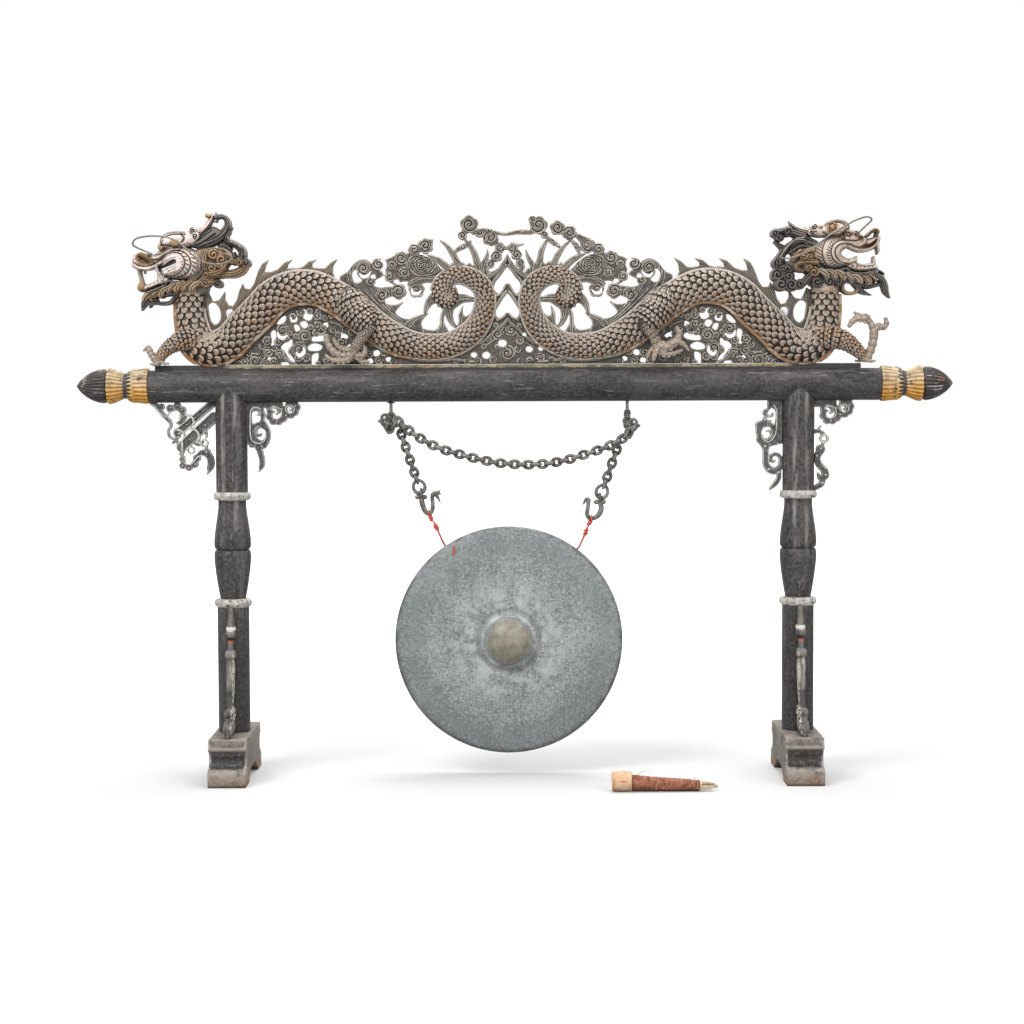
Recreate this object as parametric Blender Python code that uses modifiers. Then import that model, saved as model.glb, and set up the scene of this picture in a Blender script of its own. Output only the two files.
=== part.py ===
"""A temple gong on a carved dragon stand, with its chains, hooks, cords and mallet.

Metres, +Z up, +X along the beam, and the struck face of the gong towards -Y.
The origin is on the floor, below the middle of the whole object's box.
"""

import math

import bmesh
import bpy
from mathutils import Euler, Matrix, Vector
from mathutils.geometry import delaunay_2d_cdt

# Driving dimensions of the stand
GAP = 0.0003
POST_PLANE = 0.044
BEAM_RADIUS = 0.044
BEAM_LENGTH = 1.910
BEAM_HEIGHT = 1.030
BEAM_SIDES = 32
POST_SPACING = 1.484
POST_RADIUS = 0.0415
POST_SIDES = 12
FOOT_WIDTH = 0.098
FOOT_HEIGHT = 0.122
FOOT_DEPTH = 0.360
FOOT_TENON = 0.012
BRACE_THICKNESS = 0.024
BRACE_TOP = 0.449
BRACKET_THICKNESS = 0.018

# Turned post: heights above the floor of the rings and swellings, and their radii
LOWER_RING_HEIGHT = 0.461
UPPER_RING_HEIGHT = 0.741
RING_RADIUS = 0.049
RING_THICKNESS = 0.022
VASE_RADIUS = 0.048
UPPER_NECK_RADIUS = 0.0364
LOWER_NECK_RADIUS = 0.0336
GROOVE_HEIGHT = 0.601
GROOVE_RADIUS = 0.042
GROOVE_ROUNDING = 0.011

# Finials at the ends of the beam
COLLAR_LENGTH = 0.108
COLLAR_RADIUS = 0.047
COLLAR_WAIST = 0.033
COLLAR_FLUTES = 9
FLUTE_DEPTH = 0.0025
BUD_LENGTH = 0.082
BUD_RADIUS = 0.0455
BUD_RIBS = 11
RIB_DEPTH = 0.003

# Carved crest, drawn on squares of this side from its own axis and the top of the beam
SQUARE = 0.002625
CREST_OFFSET = -0.018
DRAWN_FROM = 5.8
EYE_LEVEL = 23
CREST_FLAT_HALF = 0.018
STRIP_HALF_LENGTH = 0.945
STRIP_THICKNESS = 0.030
STRIP_HEIGHT = 0.013
FRET_THICKNESS = 0.020
FIN_THICKNESS = 0.012
BODY_FLATNESS = 0.80
HEAD_FLATNESS = 0.92
SPINE_STATIONS = 32
SEAT_REACH = 0.060
SEAT_DEPTH = 0.004
WHISKER_RADIUS = 0.0022

# Hanging gear: places are in the plane of the posts, from the stand's middle and the floor
EYE_WIRE = 0.0035
EYE_RADIUS = 0.0090
SHANK_RADIUS = 0.0042
SHANK_SEAT = 0.030
KNOP_RADIUS = 0.0095
LEFT_SWING = (-0.3240, BEAM_HEIGHT - 0.0905)
RIGHT_SWING = (0.2940, BEAM_HEIGHT - 0.1050)
LEFT_SWAY = (-0.2987, BEAM_HEIGHT - 0.1246)
RIGHT_SWAY = (0.2682, BEAM_HEIGHT - 0.1666)
CHAIN_WIRE = 0.0038
LINK_LENGTH = 0.0310
LINK_WIDTH = 0.0262
CARRIER_LENGTH = 0.0360
LINK_BITE = 0.0007
FESTOON_PLANE = POST_PLANE - 0.0290
FESTOON_LINKS = 35
FESTOON_PLAY = 0.0009
RING_LENGTH = 0.0420
RING_WIDTH = 0.0380
RING_WIRE = 0.0038
LEFT_RING_FOOT = (-0.2467, BEAM_HEIGHT - 0.2821)
RIGHT_RING_FOOT = (0.2222, BEAM_HEIGHT - 0.2966)
LEFT_DROP_LINKS = 8
RIGHT_DROP_LINKS = 6
HOOK_EYE_RADIUS = 0.0100
HOOK_EYE_WIRE = 0.0038
HOOK_PLAY = 0.0018
HOOK_WIRE = 0.0056
LEFT_BOW = (-0.2278, BEAM_HEIGHT - 0.3372)
RIGHT_BOW = (0.2000, BEAM_HEIGHT - 0.3517)
CORD_RADIUS = 0.0022
CORD_KNOT_RADIUS = 0.0058
CORD_STOP_RADIUS = 0.0062
LEFT_LOOP_PLAY = 0.0007
RIGHT_LOOP_PLAY = 0.0007
LOOP_SLACK = 0.0015
LEFT_KNOT = (-0.2076, BEAM_HEIGHT - 0.3724)
RIGHT_KNOT = (0.1850, BEAM_HEIGHT - 0.3871)

# Gong, turned about an axis along Y
GONG_RADIUS = 0.300
GONG_CENTRE = (-0.0180, BEAM_HEIGHT - 0.6713)
GONG_WALL = 0.004
GONG_STEPS = 32
RIM_DEPTH = 0.072
RIM_BACK_RADIUS = 0.288
FACE_FALL = 0.008
FLAT_RADIUS = 0.218
BOSS_RADIUS = 0.077
DOME_RADIUS = 0.066
DOME_HEIGHT = 0.050
CORD_HOLE_RADIUS = 0.0028
RIM_HOLE_DEPTH = 0.036
LEFT_RIM_ANGLE = -33.8
RIGHT_RIM_ANGLE = 37.2
FACE_HOLES = ((0.2850, -30.0), (0.2700, -32.5))

# Mallet, on the floor in front of the stand
MALLET_LINE = -0.198
MALLET_START = 0.2420
MALLET_HEAD_RADIUS = 0.0255
MALLET_HEAD_LENGTH = 0.050
SLEEVE_LENGTH = 0.172
SLEEVE_RADIUS = 0.0215
SLEEVE_END_RADIUS = 0.0150
TUFT_LENGTH = 0.048
TUFT_RINGS = 3
STRAND_RADIUS = 0.0011

STAND_NAME = "temple_gong"


def clear_scene():
    for obj in list(bpy.data.objects):
        bpy.data.objects.remove(obj, do_unlink=True)


def new_collection(name):
    made = bpy.data.collections.new(name)
    bpy.context.scene.collection.children.link(made)
    return made


clear_scene()
PARTS = new_collection(STAND_NAME)
CUTTERS = new_collection("cutters")
CUTTERS.hide_render = True


def material(name, colour, roughness, metallic=0.0):
    made = bpy.data.materials.get(name) or bpy.data.materials.new(name)
    made.use_nodes = True
    shader = made.node_tree.nodes["Principled BSDF"]
    shader.inputs["Base Color"].default_value = (*colour, 1.0)
    shader.inputs["Roughness"].default_value = roughness
    shader.inputs["Metallic"].default_value = metallic
    return made


def black_wood():
    return material("charcoal_wood", (0.048, 0.045, 0.045), 0.5)


def foot_wood():
    return material("worn_grey_wood", (0.19, 0.16, 0.14), 0.7)


def fret_wood():
    return material("grey_green_fretwork", (0.11, 0.11, 0.095), 0.6)


def scale_wood():
    return material("taupe_scale_wood", (0.30, 0.22, 0.16), 0.6)


def head_wood():
    return material("pale_lacquered_wood", (0.55, 0.50, 0.46), 0.45)


def mane_wood():
    return material("ochre_mane_wood", (0.37, 0.21, 0.08), 0.6)


def gilt_wood():
    return material("gilded_wood", (0.75, 0.42, 0.10), 0.4)


def iron():
    return material("wrought_iron", (0.19, 0.18, 0.16), 0.55, 0.8)


def bronze():
    return material("patinated_bronze", (0.22, 0.26, 0.27), 0.55, 0.6)


def red_cord():
    return material("red_cord", (0.78, 0.08, 0.04), 0.8)


def straw_wood():
    return material("straw_wood", (0.75, 0.58, 0.30), 0.6)


def russet_leather():
    return material("russet_leather", (0.22, 0.06, 0.03), 0.7)


def straw_fibre():
    return material("straw_fibre", (0.75, 0.60, 0.42), 0.9)


def finish_object(obj, paint, smooth_angle=35.0):
    """Gives an object its material and shading, and files it among the parts."""
    obj.data.materials.clear()
    obj.data.materials.append(paint)
    obj.data.shade_smooth()
    obj.data.set_sharp_from_angle(angle=math.radians(smooth_angle))
    for home in list(obj.users_collection):
        home.objects.unlink(obj)
    PARTS.objects.link(obj)
    return obj


def link_object(name, data):
    obj = bpy.data.objects.new(name, data)
    bpy.context.scene.collection.objects.link(obj)
    return obj


def baked(obj, name=None, weld=1e-6):
    """The evaluated object as a plain mesh object of the same name and place."""
    bpy.context.view_layer.update()
    graph = bpy.context.evaluated_depsgraph_get()
    mesh = bpy.data.meshes.new_from_object(obj.evaluated_get(graph))
    shape = bmesh.new()
    shape.from_mesh(mesh)
    bmesh.ops.remove_doubles(shape, verts=shape.verts, dist=weld)
    shape.to_mesh(mesh)
    shape.free()
    label = name or obj.name
    place = obj.matrix_world.copy()
    bpy.data.objects.remove(obj, do_unlink=True)
    made = link_object(label, mesh)
    made.matrix_world = place
    return made


def bake_place(obj):
    """Moves an object's place into its mesh."""
    bpy.context.view_layer.update()
    obj.data.transform(obj.matrix_world)
    obj.matrix_world = Matrix.Identity(4)
    return obj


def set_origin(obj, point):
    """Puts the object's origin at a point of the world, with its shape where it was."""
    bake_place(obj)
    obj.data.transform(Matrix.Translation(-Vector(point)))
    obj.location = point
    return obj


def boolean(obj, others, operation):
    """Joins to an object, or cuts from it, a list of mesh objects, which are used up."""
    tools = bpy.data.collections.new("tools")
    bpy.context.scene.collection.children.link(tools)
    for other in others:
        for home in list(other.users_collection):
            home.objects.unlink(other)
        tools.objects.link(other)
    step = obj.modifiers.new(operation.lower(), "BOOLEAN")
    step.operation = operation
    step.solver = "EXACT"
    step.operand_type = "COLLECTION"
    step.collection = tools
    made = baked(obj)
    for other in others:
        bpy.data.objects.remove(other, do_unlink=True)
    bpy.data.collections.remove(tools)
    return made


def fused(name, pieces):
    pieces = [bake_place(piece) for piece in pieces]
    first = pieces[0]
    first.name = name
    return boolean(first, pieces[1:], "UNION") if len(pieces) > 1 else first


def cut(obj, tools):
    return boolean(obj, tools, "DIFFERENCE")


def box(name, low, high):
    bpy.ops.mesh.primitive_cube_add(size=1.0)
    obj = bpy.context.object
    obj.name = name
    low, high = Vector(low), Vector(high)
    size = high - low
    obj.data.transform(Matrix.Translation((low + high) / 2) @ Matrix.Diagonal((*size, 1.0)))
    return obj


def cylinder(name, start, end, radius, sides, end_radius=None):
    """A cylinder or cone between two points."""
    start, end = Vector(start), Vector(end)
    along = end - start
    bpy.ops.mesh.primitive_cone_add(
        vertices=sides,
        radius1=radius,
        radius2=radius if end_radius is None else end_radius,
        depth=along.length,
    )
    obj = bpy.context.object
    obj.name = name
    turn = along.to_track_quat("Z", "Y").to_matrix().to_4x4()
    obj.data.transform(Matrix.Translation((start + end) / 2) @ turn)
    return obj


def ball(name, centre, radius, stretch=(1.0, 1.0, 1.0), segments=10, rings=7):
    bpy.ops.mesh.primitive_uv_sphere_add(segments=segments, ring_count=rings, radius=radius)
    obj = bpy.context.object
    obj.name = name
    obj.data.transform(Matrix.Translation(centre) @ Matrix.Diagonal((*stretch, 1.0)))
    return obj


def turned(name, profile, steps):
    """A solid turned about Z from (radius, height) points, listed from top to bottom."""
    mesh = bpy.data.meshes.new(name)
    shape = bmesh.new()
    corners = [shape.verts.new((radius, 0.0, height)) for radius, height in profile]
    for upper, lower in zip(corners, corners[1:]):
        shape.edges.new((upper, lower))
    shape.to_mesh(mesh)
    shape.free()
    obj = link_object(name, mesh)
    screw = obj.modifiers.new("turn", "SCREW")
    screw.steps = steps
    screw.render_steps = steps
    screw.use_merge_vertices = True
    screw.merge_threshold = 1e-5
    return baked(obj)


def tube(name, stations, sides_level=1, closed=False, flatness=1.0, flat_at=0.0):
    """A solid tube through (x, y, z, radius) stations, drawn flatter along Y where asked."""
    curve = bpy.data.curves.new(name, "CURVE")
    curve.dimensions = "3D"
    curve.bevel_depth = 1.0
    curve.bevel_resolution = sides_level
    curve.use_fill_caps = not closed
    spline = curve.splines.new("POLY")
    spline.points.add(len(stations) - 1)
    for point, (x, y, z, radius) in zip(spline.points, stations):
        point.co = (x, y, z, 1.0)
        point.radius = radius
    spline.use_cyclic_u = closed
    obj = baked(link_object(name, curve))
    if flatness != 1.0:
        shift = Matrix.Translation((0.0, flat_at, 0.0))
        squeeze = Matrix.Diagonal((1.0, flatness, 1.0, 1.0))
        obj.data.transform(shift @ squeeze @ shift.inverted())
    return obj


def smooth(stations, count):
    """Points along a Catmull-Rom curve through the stations, evenly spread over them."""
    last = len(stations) - 1
    made = []
    for index in range(count):
        along = index * last / (count - 1)
        left = min(int(along), last - 1)
        t = along - left
        a = stations[max(left - 1, 0)]
        b = stations[left]
        c = stations[left + 1]
        d = stations[min(left + 2, last)]
        made.append(
            tuple(
                0.5 * (2 * q + (r - p) * t + (2 * p - 5 * q + 4 * r - s) * t * t + (3 * q - p - 3 * r + s) * t**3)
                for p, q, r, s in zip(a, b, c, d)
            )
        )
    return made


# Flat fretwork: a drawing is a set of faces to keep and a set of faces to cut away


def disc(u, w, radius, sides=8, stretch=1.0):
    turns = [2 * math.pi * (index + 0.5) / sides for index in range(sides)]
    return [(u + radius * math.cos(turn), w + radius * stretch * math.sin(turn)) for turn in turns]


def ribbon(points, widths):
    """Faces of a band through the points, with a width at each."""
    if not isinstance(widths, (list, tuple)):
        widths = [widths] * len(points)
    sides = []
    for index, (u, w) in enumerate(points):
        before = points[max(index - 1, 0)]
        after = points[min(index + 1, len(points) - 1)]
        du, dw = after[0] - before[0], after[1] - before[1]
        length = math.hypot(du, dw)
        across = (-dw / length * widths[index] / 2, du / length * widths[index] / 2)
        sides.append(((u + across[0], w + across[1]), (u - across[0], w - across[1])))
    return [[a[0], a[1], b[1], b[0]] for a, b in zip(sides, sides[1:])]


def scroll(u, w, radius, width, turns=0.8, start=0.0, sense=1, steps=8):
    """Faces of a band that curls inwards from a circle round a centre, and ends in a bead."""
    route = []
    for index in range(steps + 1):
        share = index / steps
        angle = math.radians(start) + sense * 2 * math.pi * turns * share
        reach = radius * (1 - 0.62 * share)
        route.append((u + reach * math.cos(angle), w + reach * math.sin(angle)))
    bead = disc(*route[-1], width * 0.75)
    return ribbon(route, [width * (1 - 0.25 * index / steps) for index in range(steps + 1)]) + [bead]


def signed_area(loop):
    return sum(a[0] * b[1] - b[0] * a[1] for a, b in zip(loop, loop[1:] + loop[:1])) / 2


def plate(name, keep, away, thickness, to_world, level):
    """A flat piece of the kept faces less those cut away, with its middle at the given Y."""
    loops = [loop if signed_area(loop) > 0 else loop[::-1] for loop in keep + away]
    points = []
    faces = []
    for loop in loops:
        faces.append(list(range(len(points), len(points) + len(loop))))
        points.extend(Vector(point) for point in loop)
    flat_points, _, flat_faces, _, _, sources = delaunay_2d_cdt(points, [], faces, 1, 1e-4)
    shape = bmesh.new()
    corners = [shape.verts.new((point[0], 0.0, point[1])) for point in flat_points]
    for face, covers in zip(flat_faces, sources):
        if any(index < len(keep) for index in covers) and all(index < len(keep) for index in covers):
            shape.faces.new([corners[index] for index in face])
    loose = [corner for corner in shape.verts if not corner.link_faces]
    bmesh.ops.delete(shape, geom=loose, context="VERTS")
    bmesh.ops.dissolve_limit(shape, angle_limit=0.01, verts=shape.verts, edges=shape.edges)
    for corner in shape.verts:
        x, z = to_world(corner.co.x, corner.co.z)
        corner.co = (x, level - thickness / 2, z)
    grown = bmesh.ops.extrude_face_region(shape, geom=list(shape.faces))
    moved = [item for item in grown["geom"] if isinstance(item, bmesh.types.BMVert)]
    bmesh.ops.translate(shape, verts=moved, vec=(0.0, thickness, 0.0))
    bmesh.ops.triangulate(shape, faces=[face for face in shape.faces if len(face.verts) > 4])
    bmesh.ops.recalc_face_normals(shape, faces=shape.faces)
    mesh = bpy.data.meshes.new(name)
    shape.to_mesh(mesh)
    shape.free()
    return link_object(name, mesh)


# Structure: beam, posts, feet and finials


def beam_solid(name, radius, length):
    ends = [(sign * length / 2, POST_PLANE, BEAM_HEIGHT) for sign in (-1, 1)]
    return cylinder(name, ends[0], ends[1], radius, BEAM_SIDES)


def crest_seat_height():
    return BEAM_HEIGHT + math.sqrt(BEAM_RADIUS**2 - CREST_FLAT_HALF**2)


def make_beam():
    beam = beam_solid("beam", BEAM_RADIUS, BEAM_LENGTH)
    reach = STRIP_HALF_LENGTH + GAP
    planed = box(
        "planed_flat",
        (-reach, POST_PLANE - 2 * CREST_FLAT_HALF, crest_seat_height()),
        (reach, POST_PLANE + 2 * CREST_FLAT_HALF, BEAM_HEIGHT + 2 * BEAM_RADIUS),
    )
    tools = [planed]
    for eye_x in (LEFT_SWING[0], RIGHT_SWING[0]):
        top = BEAM_HEIGHT - BEAM_RADIUS + SHANK_SEAT
        tools.append(
            cylinder(
                "shank_hole",
                (eye_x, POST_PLANE, BEAM_HEIGHT - 2 * BEAM_RADIUS),
                (eye_x, POST_PLANE, top + GAP),
                SHANK_RADIUS + GAP,
                10,
            )
        )
    finish_object(cut(beam, tools), black_wood())


def post_profile():
    """(radius, height) from the top of the post, inside the beam's cope, down to its foot tenon."""
    half = RING_THICKNESS / 2
    upper, lower = UPPER_RING_HEIGHT, LOWER_RING_HEIGHT
    groove = GROOVE_HEIGHT
    return [
        (0.0, BEAM_HEIGHT),
        (POST_RADIUS, BEAM_HEIGHT),
        (POST_RADIUS, upper + half),
        (RING_RADIUS - 0.002, upper + half * 0.8),
        (RING_RADIUS, upper),
        (UPPER_NECK_RADIUS, upper - half),
        (UPPER_NECK_RADIUS + 0.006, groove + 0.085),
        (VASE_RADIUS, groove + 0.022),
        (VASE_RADIUS - 0.002, groove + GROOVE_ROUNDING * 0.5),
        (GROOVE_RADIUS, groove),
        (VASE_RADIUS - 0.002, groove - GROOVE_ROUNDING * 0.5),
        (VASE_RADIUS, groove - 0.020),
        (VASE_RADIUS - 0.006, groove - 0.075),
        (LOWER_NECK_RADIUS, lower + half),
        (RING_RADIUS - 0.002, lower + half * 0.8),
        (RING_RADIUS, lower),
        (POST_RADIUS, lower - half),
        (POST_RADIUS, FOOT_HEIGHT + GAP),
        (POST_RADIUS * 0.5, FOOT_HEIGHT + GAP),
        (POST_RADIUS * 0.5, FOOT_HEIGHT - FOOT_TENON),
        (0.0, FOOT_HEIGHT - FOOT_TENON),
    ]


def make_post(name, x):
    post = turned(name, post_profile(), POST_SIDES)
    post.location = (x, POST_PLANE, 0.0)
    bake_place(post)
    cope = beam_solid("cope", BEAM_RADIUS + GAP, 4 * BEAM_RADIUS)
    cope.location.x = x
    bake_place(cope)
    cap = box(
        "cope_top",
        (x - 2 * POST_RADIUS, POST_PLANE - 2 * POST_RADIUS, BEAM_HEIGHT - BEAM_RADIUS * 0.3),
        (x + 2 * POST_RADIUS, POST_PLANE + 2 * POST_RADIUS, BEAM_HEIGHT + BEAM_RADIUS),
    )
    finish_object(cut(post, [cope, cap]), black_wood())


def foot_outline():
    """(y, z) of half a foot seen from the side, from the top middle round the toe to the arch."""
    half = FOOT_DEPTH / 2
    high = FOOT_HEIGHT
    side = [
        (0.0, high),
        (half - 0.022, high),
        (half - 0.020, high - 0.020),
        (half - 0.014, high - 0.024),
        (half - 0.020, high - 0.029),
    ]
    cove_depth = 0.030
    for step in range(1, 6):
        turn = math.pi * step / 6
        fall = 0.042 * (1 - math.cos(turn)) / 2
        side.append((half - 0.020 - cove_depth * 0.55 * math.sin(turn), high - 0.031 - fall))
    side += [
        (half - 0.010, high - 0.076),
        (half - 0.002, high - 0.084),
        (half, 0.020),
        (half - 0.003, 0.0),
        (half * 0.56, 0.0),
        (half * 0.50, 0.014),
        (half * 0.42, 0.019),
        (half * 0.36, 0.030),
        (0.0, 0.034),
    ]
    return side


def make_foot(name, x):
    half = foot_outline()
    outline = half + [(-y, z) for y, z in half[-2:0:-1]]
    curve = bpy.data.curves.new(name, "CURVE")
    curve.dimensions = "2D"
    curve.fill_mode = "BOTH"
    curve.extrude = FOOT_WIDTH / 2
    spline = curve.splines.new("POLY")
    spline.points.add(len(outline) - 1)
    for point, (y, z) in zip(spline.points, outline):
        point.co = (y, z, 0.0, 1.0)
    spline.use_cyclic_u = True
    obj = link_object(name, curve)
    obj.rotation_euler = (math.radians(90), 0.0, math.radians(90))
    obj.location = (x, POST_PLANE, 0.0)
    obj = bake_place(baked(obj))
    mortise = cylinder(
        "mortise",
        (x, POST_PLANE, FOOT_HEIGHT - FOOT_TENON - GAP),
        (x, POST_PLANE, FOOT_HEIGHT + FOOT_TENON),
        POST_RADIUS * 0.5 + GAP,
        POST_SIDES,
    )
    finish_object(cut(obj, [mortise]), foot_wood())


def make_brace(name, x, side):
    """A scrolled brace that stands on the foot and leans on the post, in the plane across the beam."""
    post_face = POST_RADIUS + 0.0015
    top = BRACE_TOP
    base = FOOT_HEIGHT + GAP
    toe = FOOT_DEPTH / 2 - 0.030
    mid = (top + base) / 2
    spine = [
        (post_face + 0.010, top - 0.004),
        (post_face + 0.013, top - 0.050),
        (post_face + 0.026, top - 0.095),
        (post_face + 0.030, mid - 0.010),
        (post_face + 0.040, mid - 0.070),
        (toe - 0.034, base + 0.050),
        (toe - 0.012, base + 0.012),
    ]
    widths = [0.012, 0.020, 0.018, 0.026, 0.020, 0.024, 0.020]
    rail_face, rail_top = post_face + 0.012, top - 0.040
    back_rail = [[(post_face, base), (rail_face, base), (rail_face, rail_top), (post_face, rail_top)]]
    base_rail = [[(post_face, base), (toe, base), (toe, base + 0.012), (post_face, base + 0.016)]]
    lobes = [
        disc(post_face + 0.030, top - 0.072, 0.012, 6),
        disc(post_face + 0.034, top - 0.128, 0.013, 6),
        disc(toe - 0.030, base + 0.078, 0.012, 6),
        disc(toe - 0.014, base + 0.020, 0.0185),
    ]
    curl = scroll(post_face + 0.034, base + 0.052, 0.024, 0.010, 0.9, 60, 1, 6)
    smooth_widths = [w for (w,) in smooth([(w,) for w in widths], 9)]
    keep = ribbon(smooth(spine, 9), smooth_widths) + back_rail + base_rail + lobes + curl
    keep = [clipped_above(loop, base) for loop in keep]
    brace = plate(name, keep, [], BRACE_THICKNESS, lambda u, w: (u, w), 0.0)
    turn = Matrix.Rotation(math.radians(-90 if side < 0 else 90), 4, "Z")
    brace.data.transform(Matrix.Translation((x, POST_PLANE, 0.0)) @ turn)
    finish_object(brace, foot_wood())


def clipped_above(loop, floor):
    """A face with its corners raised to the given height where they lie below it."""
    return [(u, max(w, floor)) for u, w in loop]


def fluted(obj, ribs, depth, low, high):
    """Draws in the wall between the ribs of a piece turned about Z, over a stretch of its height."""
    for corner in obj.data.vertices:
        radius = math.hypot(corner.co.x, corner.co.y)
        if radius < 1e-5 or not low <= corner.co.z <= high:
            continue
        angle = math.atan2(corner.co.y, corner.co.x)
        draw = 1 - depth * (0.5 - 0.5 * math.cos(ribs * angle)) / radius
        corner.co.x *= draw
        corner.co.y *= draw
    return obj


def make_finial(side, suffix):
    end = BEAM_LENGTH / 2 + GAP
    length = COLLAR_LENGTH
    collar_profile = [
        (0.0, length),
        (COLLAR_RADIUS * 0.93, length),
        (COLLAR_RADIUS, length * 0.90),
        (COLLAR_RADIUS * 0.86, length * 0.74),
        (COLLAR_WAIST, length * 0.585),
        (COLLAR_RADIUS * 0.82, length * 0.48),
        (COLLAR_RADIUS * 0.94, length * 0.40),
        (COLLAR_RADIUS * 0.93, length * 0.32),
        (COLLAR_RADIUS, length * 0.08),
        (COLLAR_RADIUS * 0.96, 0.0),
        (0.0, 0.0),
    ]
    collar = turned("finial_collar_" + suffix, collar_profile, 2 * COLLAR_FLUTES)
    fluted(collar, COLLAR_FLUTES, FLUTE_DEPTH, 0.0, length)
    bud_profile = [
        (0.0, BUD_LENGTH),
        (BUD_RADIUS * 0.17, BUD_LENGTH * 0.93),
        (BUD_RADIUS * 0.48, BUD_LENGTH * 0.74),
        (BUD_RADIUS * 0.80, BUD_LENGTH * 0.47),
        (BUD_RADIUS * 0.97, BUD_LENGTH * 0.20),
        (BUD_RADIUS * 0.98, BUD_LENGTH * 0.06),
        (BUD_RADIUS * 0.88, 0.0),
        (0.0, 0.0),
    ]
    bud = turned("finial_bud_" + suffix, bud_profile, 2 * BUD_RIBS)
    fluted(bud, BUD_RIBS, RIB_DEPTH, BUD_LENGTH * 0.02, BUD_LENGTH * 0.9)
    for obj, start, paint in ((collar, end, gilt_wood()), (bud, end + length + GAP, black_wood())):
        obj.rotation_euler = (0.0, math.radians(90 * side), 0.0)
        obj.location = (side * start, POST_PLANE, BEAM_HEIGHT)
        finish_object(bake_place(obj), paint)


# Brackets under the beam, drawn in squares: out from the post's axis, and down from the beam


def bracket_place(post_x, side):
    under = BEAM_HEIGHT - BEAM_RADIUS
    return lambda u, w: (post_x + side * u * SQUARE, under - w * SQUARE)


def make_bracket(name, post_x, side, keep, away=()):
    keep = [[(max(u, POST_FACE), max(w, UNDER_BEAM)) for u, w in loop] for loop in keep]
    obj = plate(name, keep, list(away), BRACKET_THICKNESS, bracket_place(post_x, side), POST_PLANE)
    finish_object(obj, fret_wood())


POST_FACE = POST_RADIUS / SQUARE + 0.15
UNDER_BEAM = GAP / SQUARE


def post_side_rail(top, bottom, width):
    return [[(POST_FACE, top), (POST_FACE + width, top), (POST_FACE + width, bottom), (POST_FACE, bottom)]]


def emblem_bracket():
    """Left outer bracket: two clasped rolls with a ribbon that loops round them."""
    rolls = ribbon([(18.5, 3.5), (43, 24)], 8) + ribbon([(17.5, 15), (41, 38)], 9)
    rail = post_side_rail(UNDER_BEAM, 22, 3)
    top_rail = [[(POST_FACE, UNDER_BEAM), (30, UNDER_BEAM), (28, 5), (POST_FACE, 8)]]
    ring = [disc(56, 16, 10, 10)]
    ring_hole = [disc(56.5, 17, 5.2, 8)]
    tail = ribbon([(79, 3), (72, 8), (68, 15), (61, 20)], [3, 5, 5.5, 4])
    tie = ribbon([(60, 24), (59, 33), (63, 40), (58, 48), (51, 50), (46, 38)], [3, 3, 4, 4, 4, 3])
    wrap = ribbon([(49, 22), (40, 20), (34, 30), (38, 41)], 3)
    link = ribbon([(26, 30), (23, 42), (22, 50)], [6, 5, 5])
    foot = ribbon(
        [(48, 46), (50, 60), (46, 68), (38, 68), (35, 58), (27, 54), (20, 58), (19, 66), (25, 73)],
        [4, 5, 6, 6, 5, 6, 7, 6, 2],
    )
    return rolls + rail + top_rail + ring + tail + tie + wrap + link + foot, ring_hole


def cloud_bar_bracket():
    """A bar along the beam that ends in a large and a small cloud scroll."""
    bar = [[(POST_FACE, UNDER_BEAM), (54, UNDER_BEAM), (54, 6.5), (POST_FACE, 6.5)]]
    big = [disc(44, 15, 9.6, 10), disc(37, 17, 4.5, 6), disc(44, 23, 4.5, 6), disc(51, 20, 4, 6)]
    big_hole = [disc(42.5, 14.5, 4.6, 8)]
    small = [disc(58, 10, 6.6, 8), disc(63, 13, 3.5, 6), disc(57, 15.5, 3.5, 6)]
    small_hole = [disc(56.5, 9, 2.6, 6)]
    tip = ribbon([(54, 2.3), (64, 2.2), (70, 4.4)], [4, 4, 2.6]) + [disc(70, 5, 2.2)]
    return bar + big + small + tip, big_hole + small_hole


def loop_bracket(flip_tail):
    """Brackets with an upright by the post and scrolled loops outside it."""
    rail = post_side_rail(UNDER_BEAM, 42, 5)
    top = [[(POST_FACE, UNDER_BEAM), (32, UNDER_BEAM), (31, 6), (POST_FACE, 7)]]
    upper = ribbon([(24, 6), (32, 9), (37, 15), (33, 21)], [4, 5, 5, 4])
    middle = scroll(31, 32, 12, 6, 0.95, 70, -1, 9)
    bridge = ribbon([(33, 19), (40, 24), (42, 32)], [4, 5, 5])
    lower = ribbon([(38, 42), (36, 52), (36, 62), (30, 71), (22, 72)], [6, 5, 5, 5, 4])
    hook = scroll(26, 59, 8.5, 4, 0.75, 250, 1, 7)
    tail = ribbon([(22, 70), (21, 79), (24 + flip_tail, 87), (29 + flip_tail, 88)], [5, 4, 4.5, 3])
    return rail + top + upper + middle + bridge + lower + hook + tail, []


def left_inner_bracket():
    """Upright with a hanging loop, and a bar along the beam that ends in cloud scrolls."""
    bar_keep, bar_away = cloud_bar_bracket()
    rail = post_side_rail(UNDER_BEAM, 45, 5)
    loop = ribbon([(21, 44), (30, 41), (37, 34), (36, 26), (29, 24), (25, 30)], [4, 4.5, 4.5, 4.5, 4, 3])
    tail = ribbon([(22, 43), (29, 48), (31, 58), (28, 70)], [5, 5, 5, 2.5])
    return bar_keep + rail + loop + tail, bar_away


def stub_bracket():
    """What is left of the right outer bracket's upright: a broken ribbon on the post."""
    ribbons = ribbon(
        [(POST_FACE + 0.4, 29), (22.5, 27.5), (26, 33), (28.5, 40), (25, 46), (19.5, 54), (21, 62), (28, 69), (31, 76),
         (26, 82), (POST_FACE + 1.5, 87)],
        [4.5, 4, 4.5, 4, 6, 5, 5.5, 6, 6, 6, 4.5],
    )
    return ribbons + [disc(24.5, 46, 4.6), disc(29, 77, 4.4)], []


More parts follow.
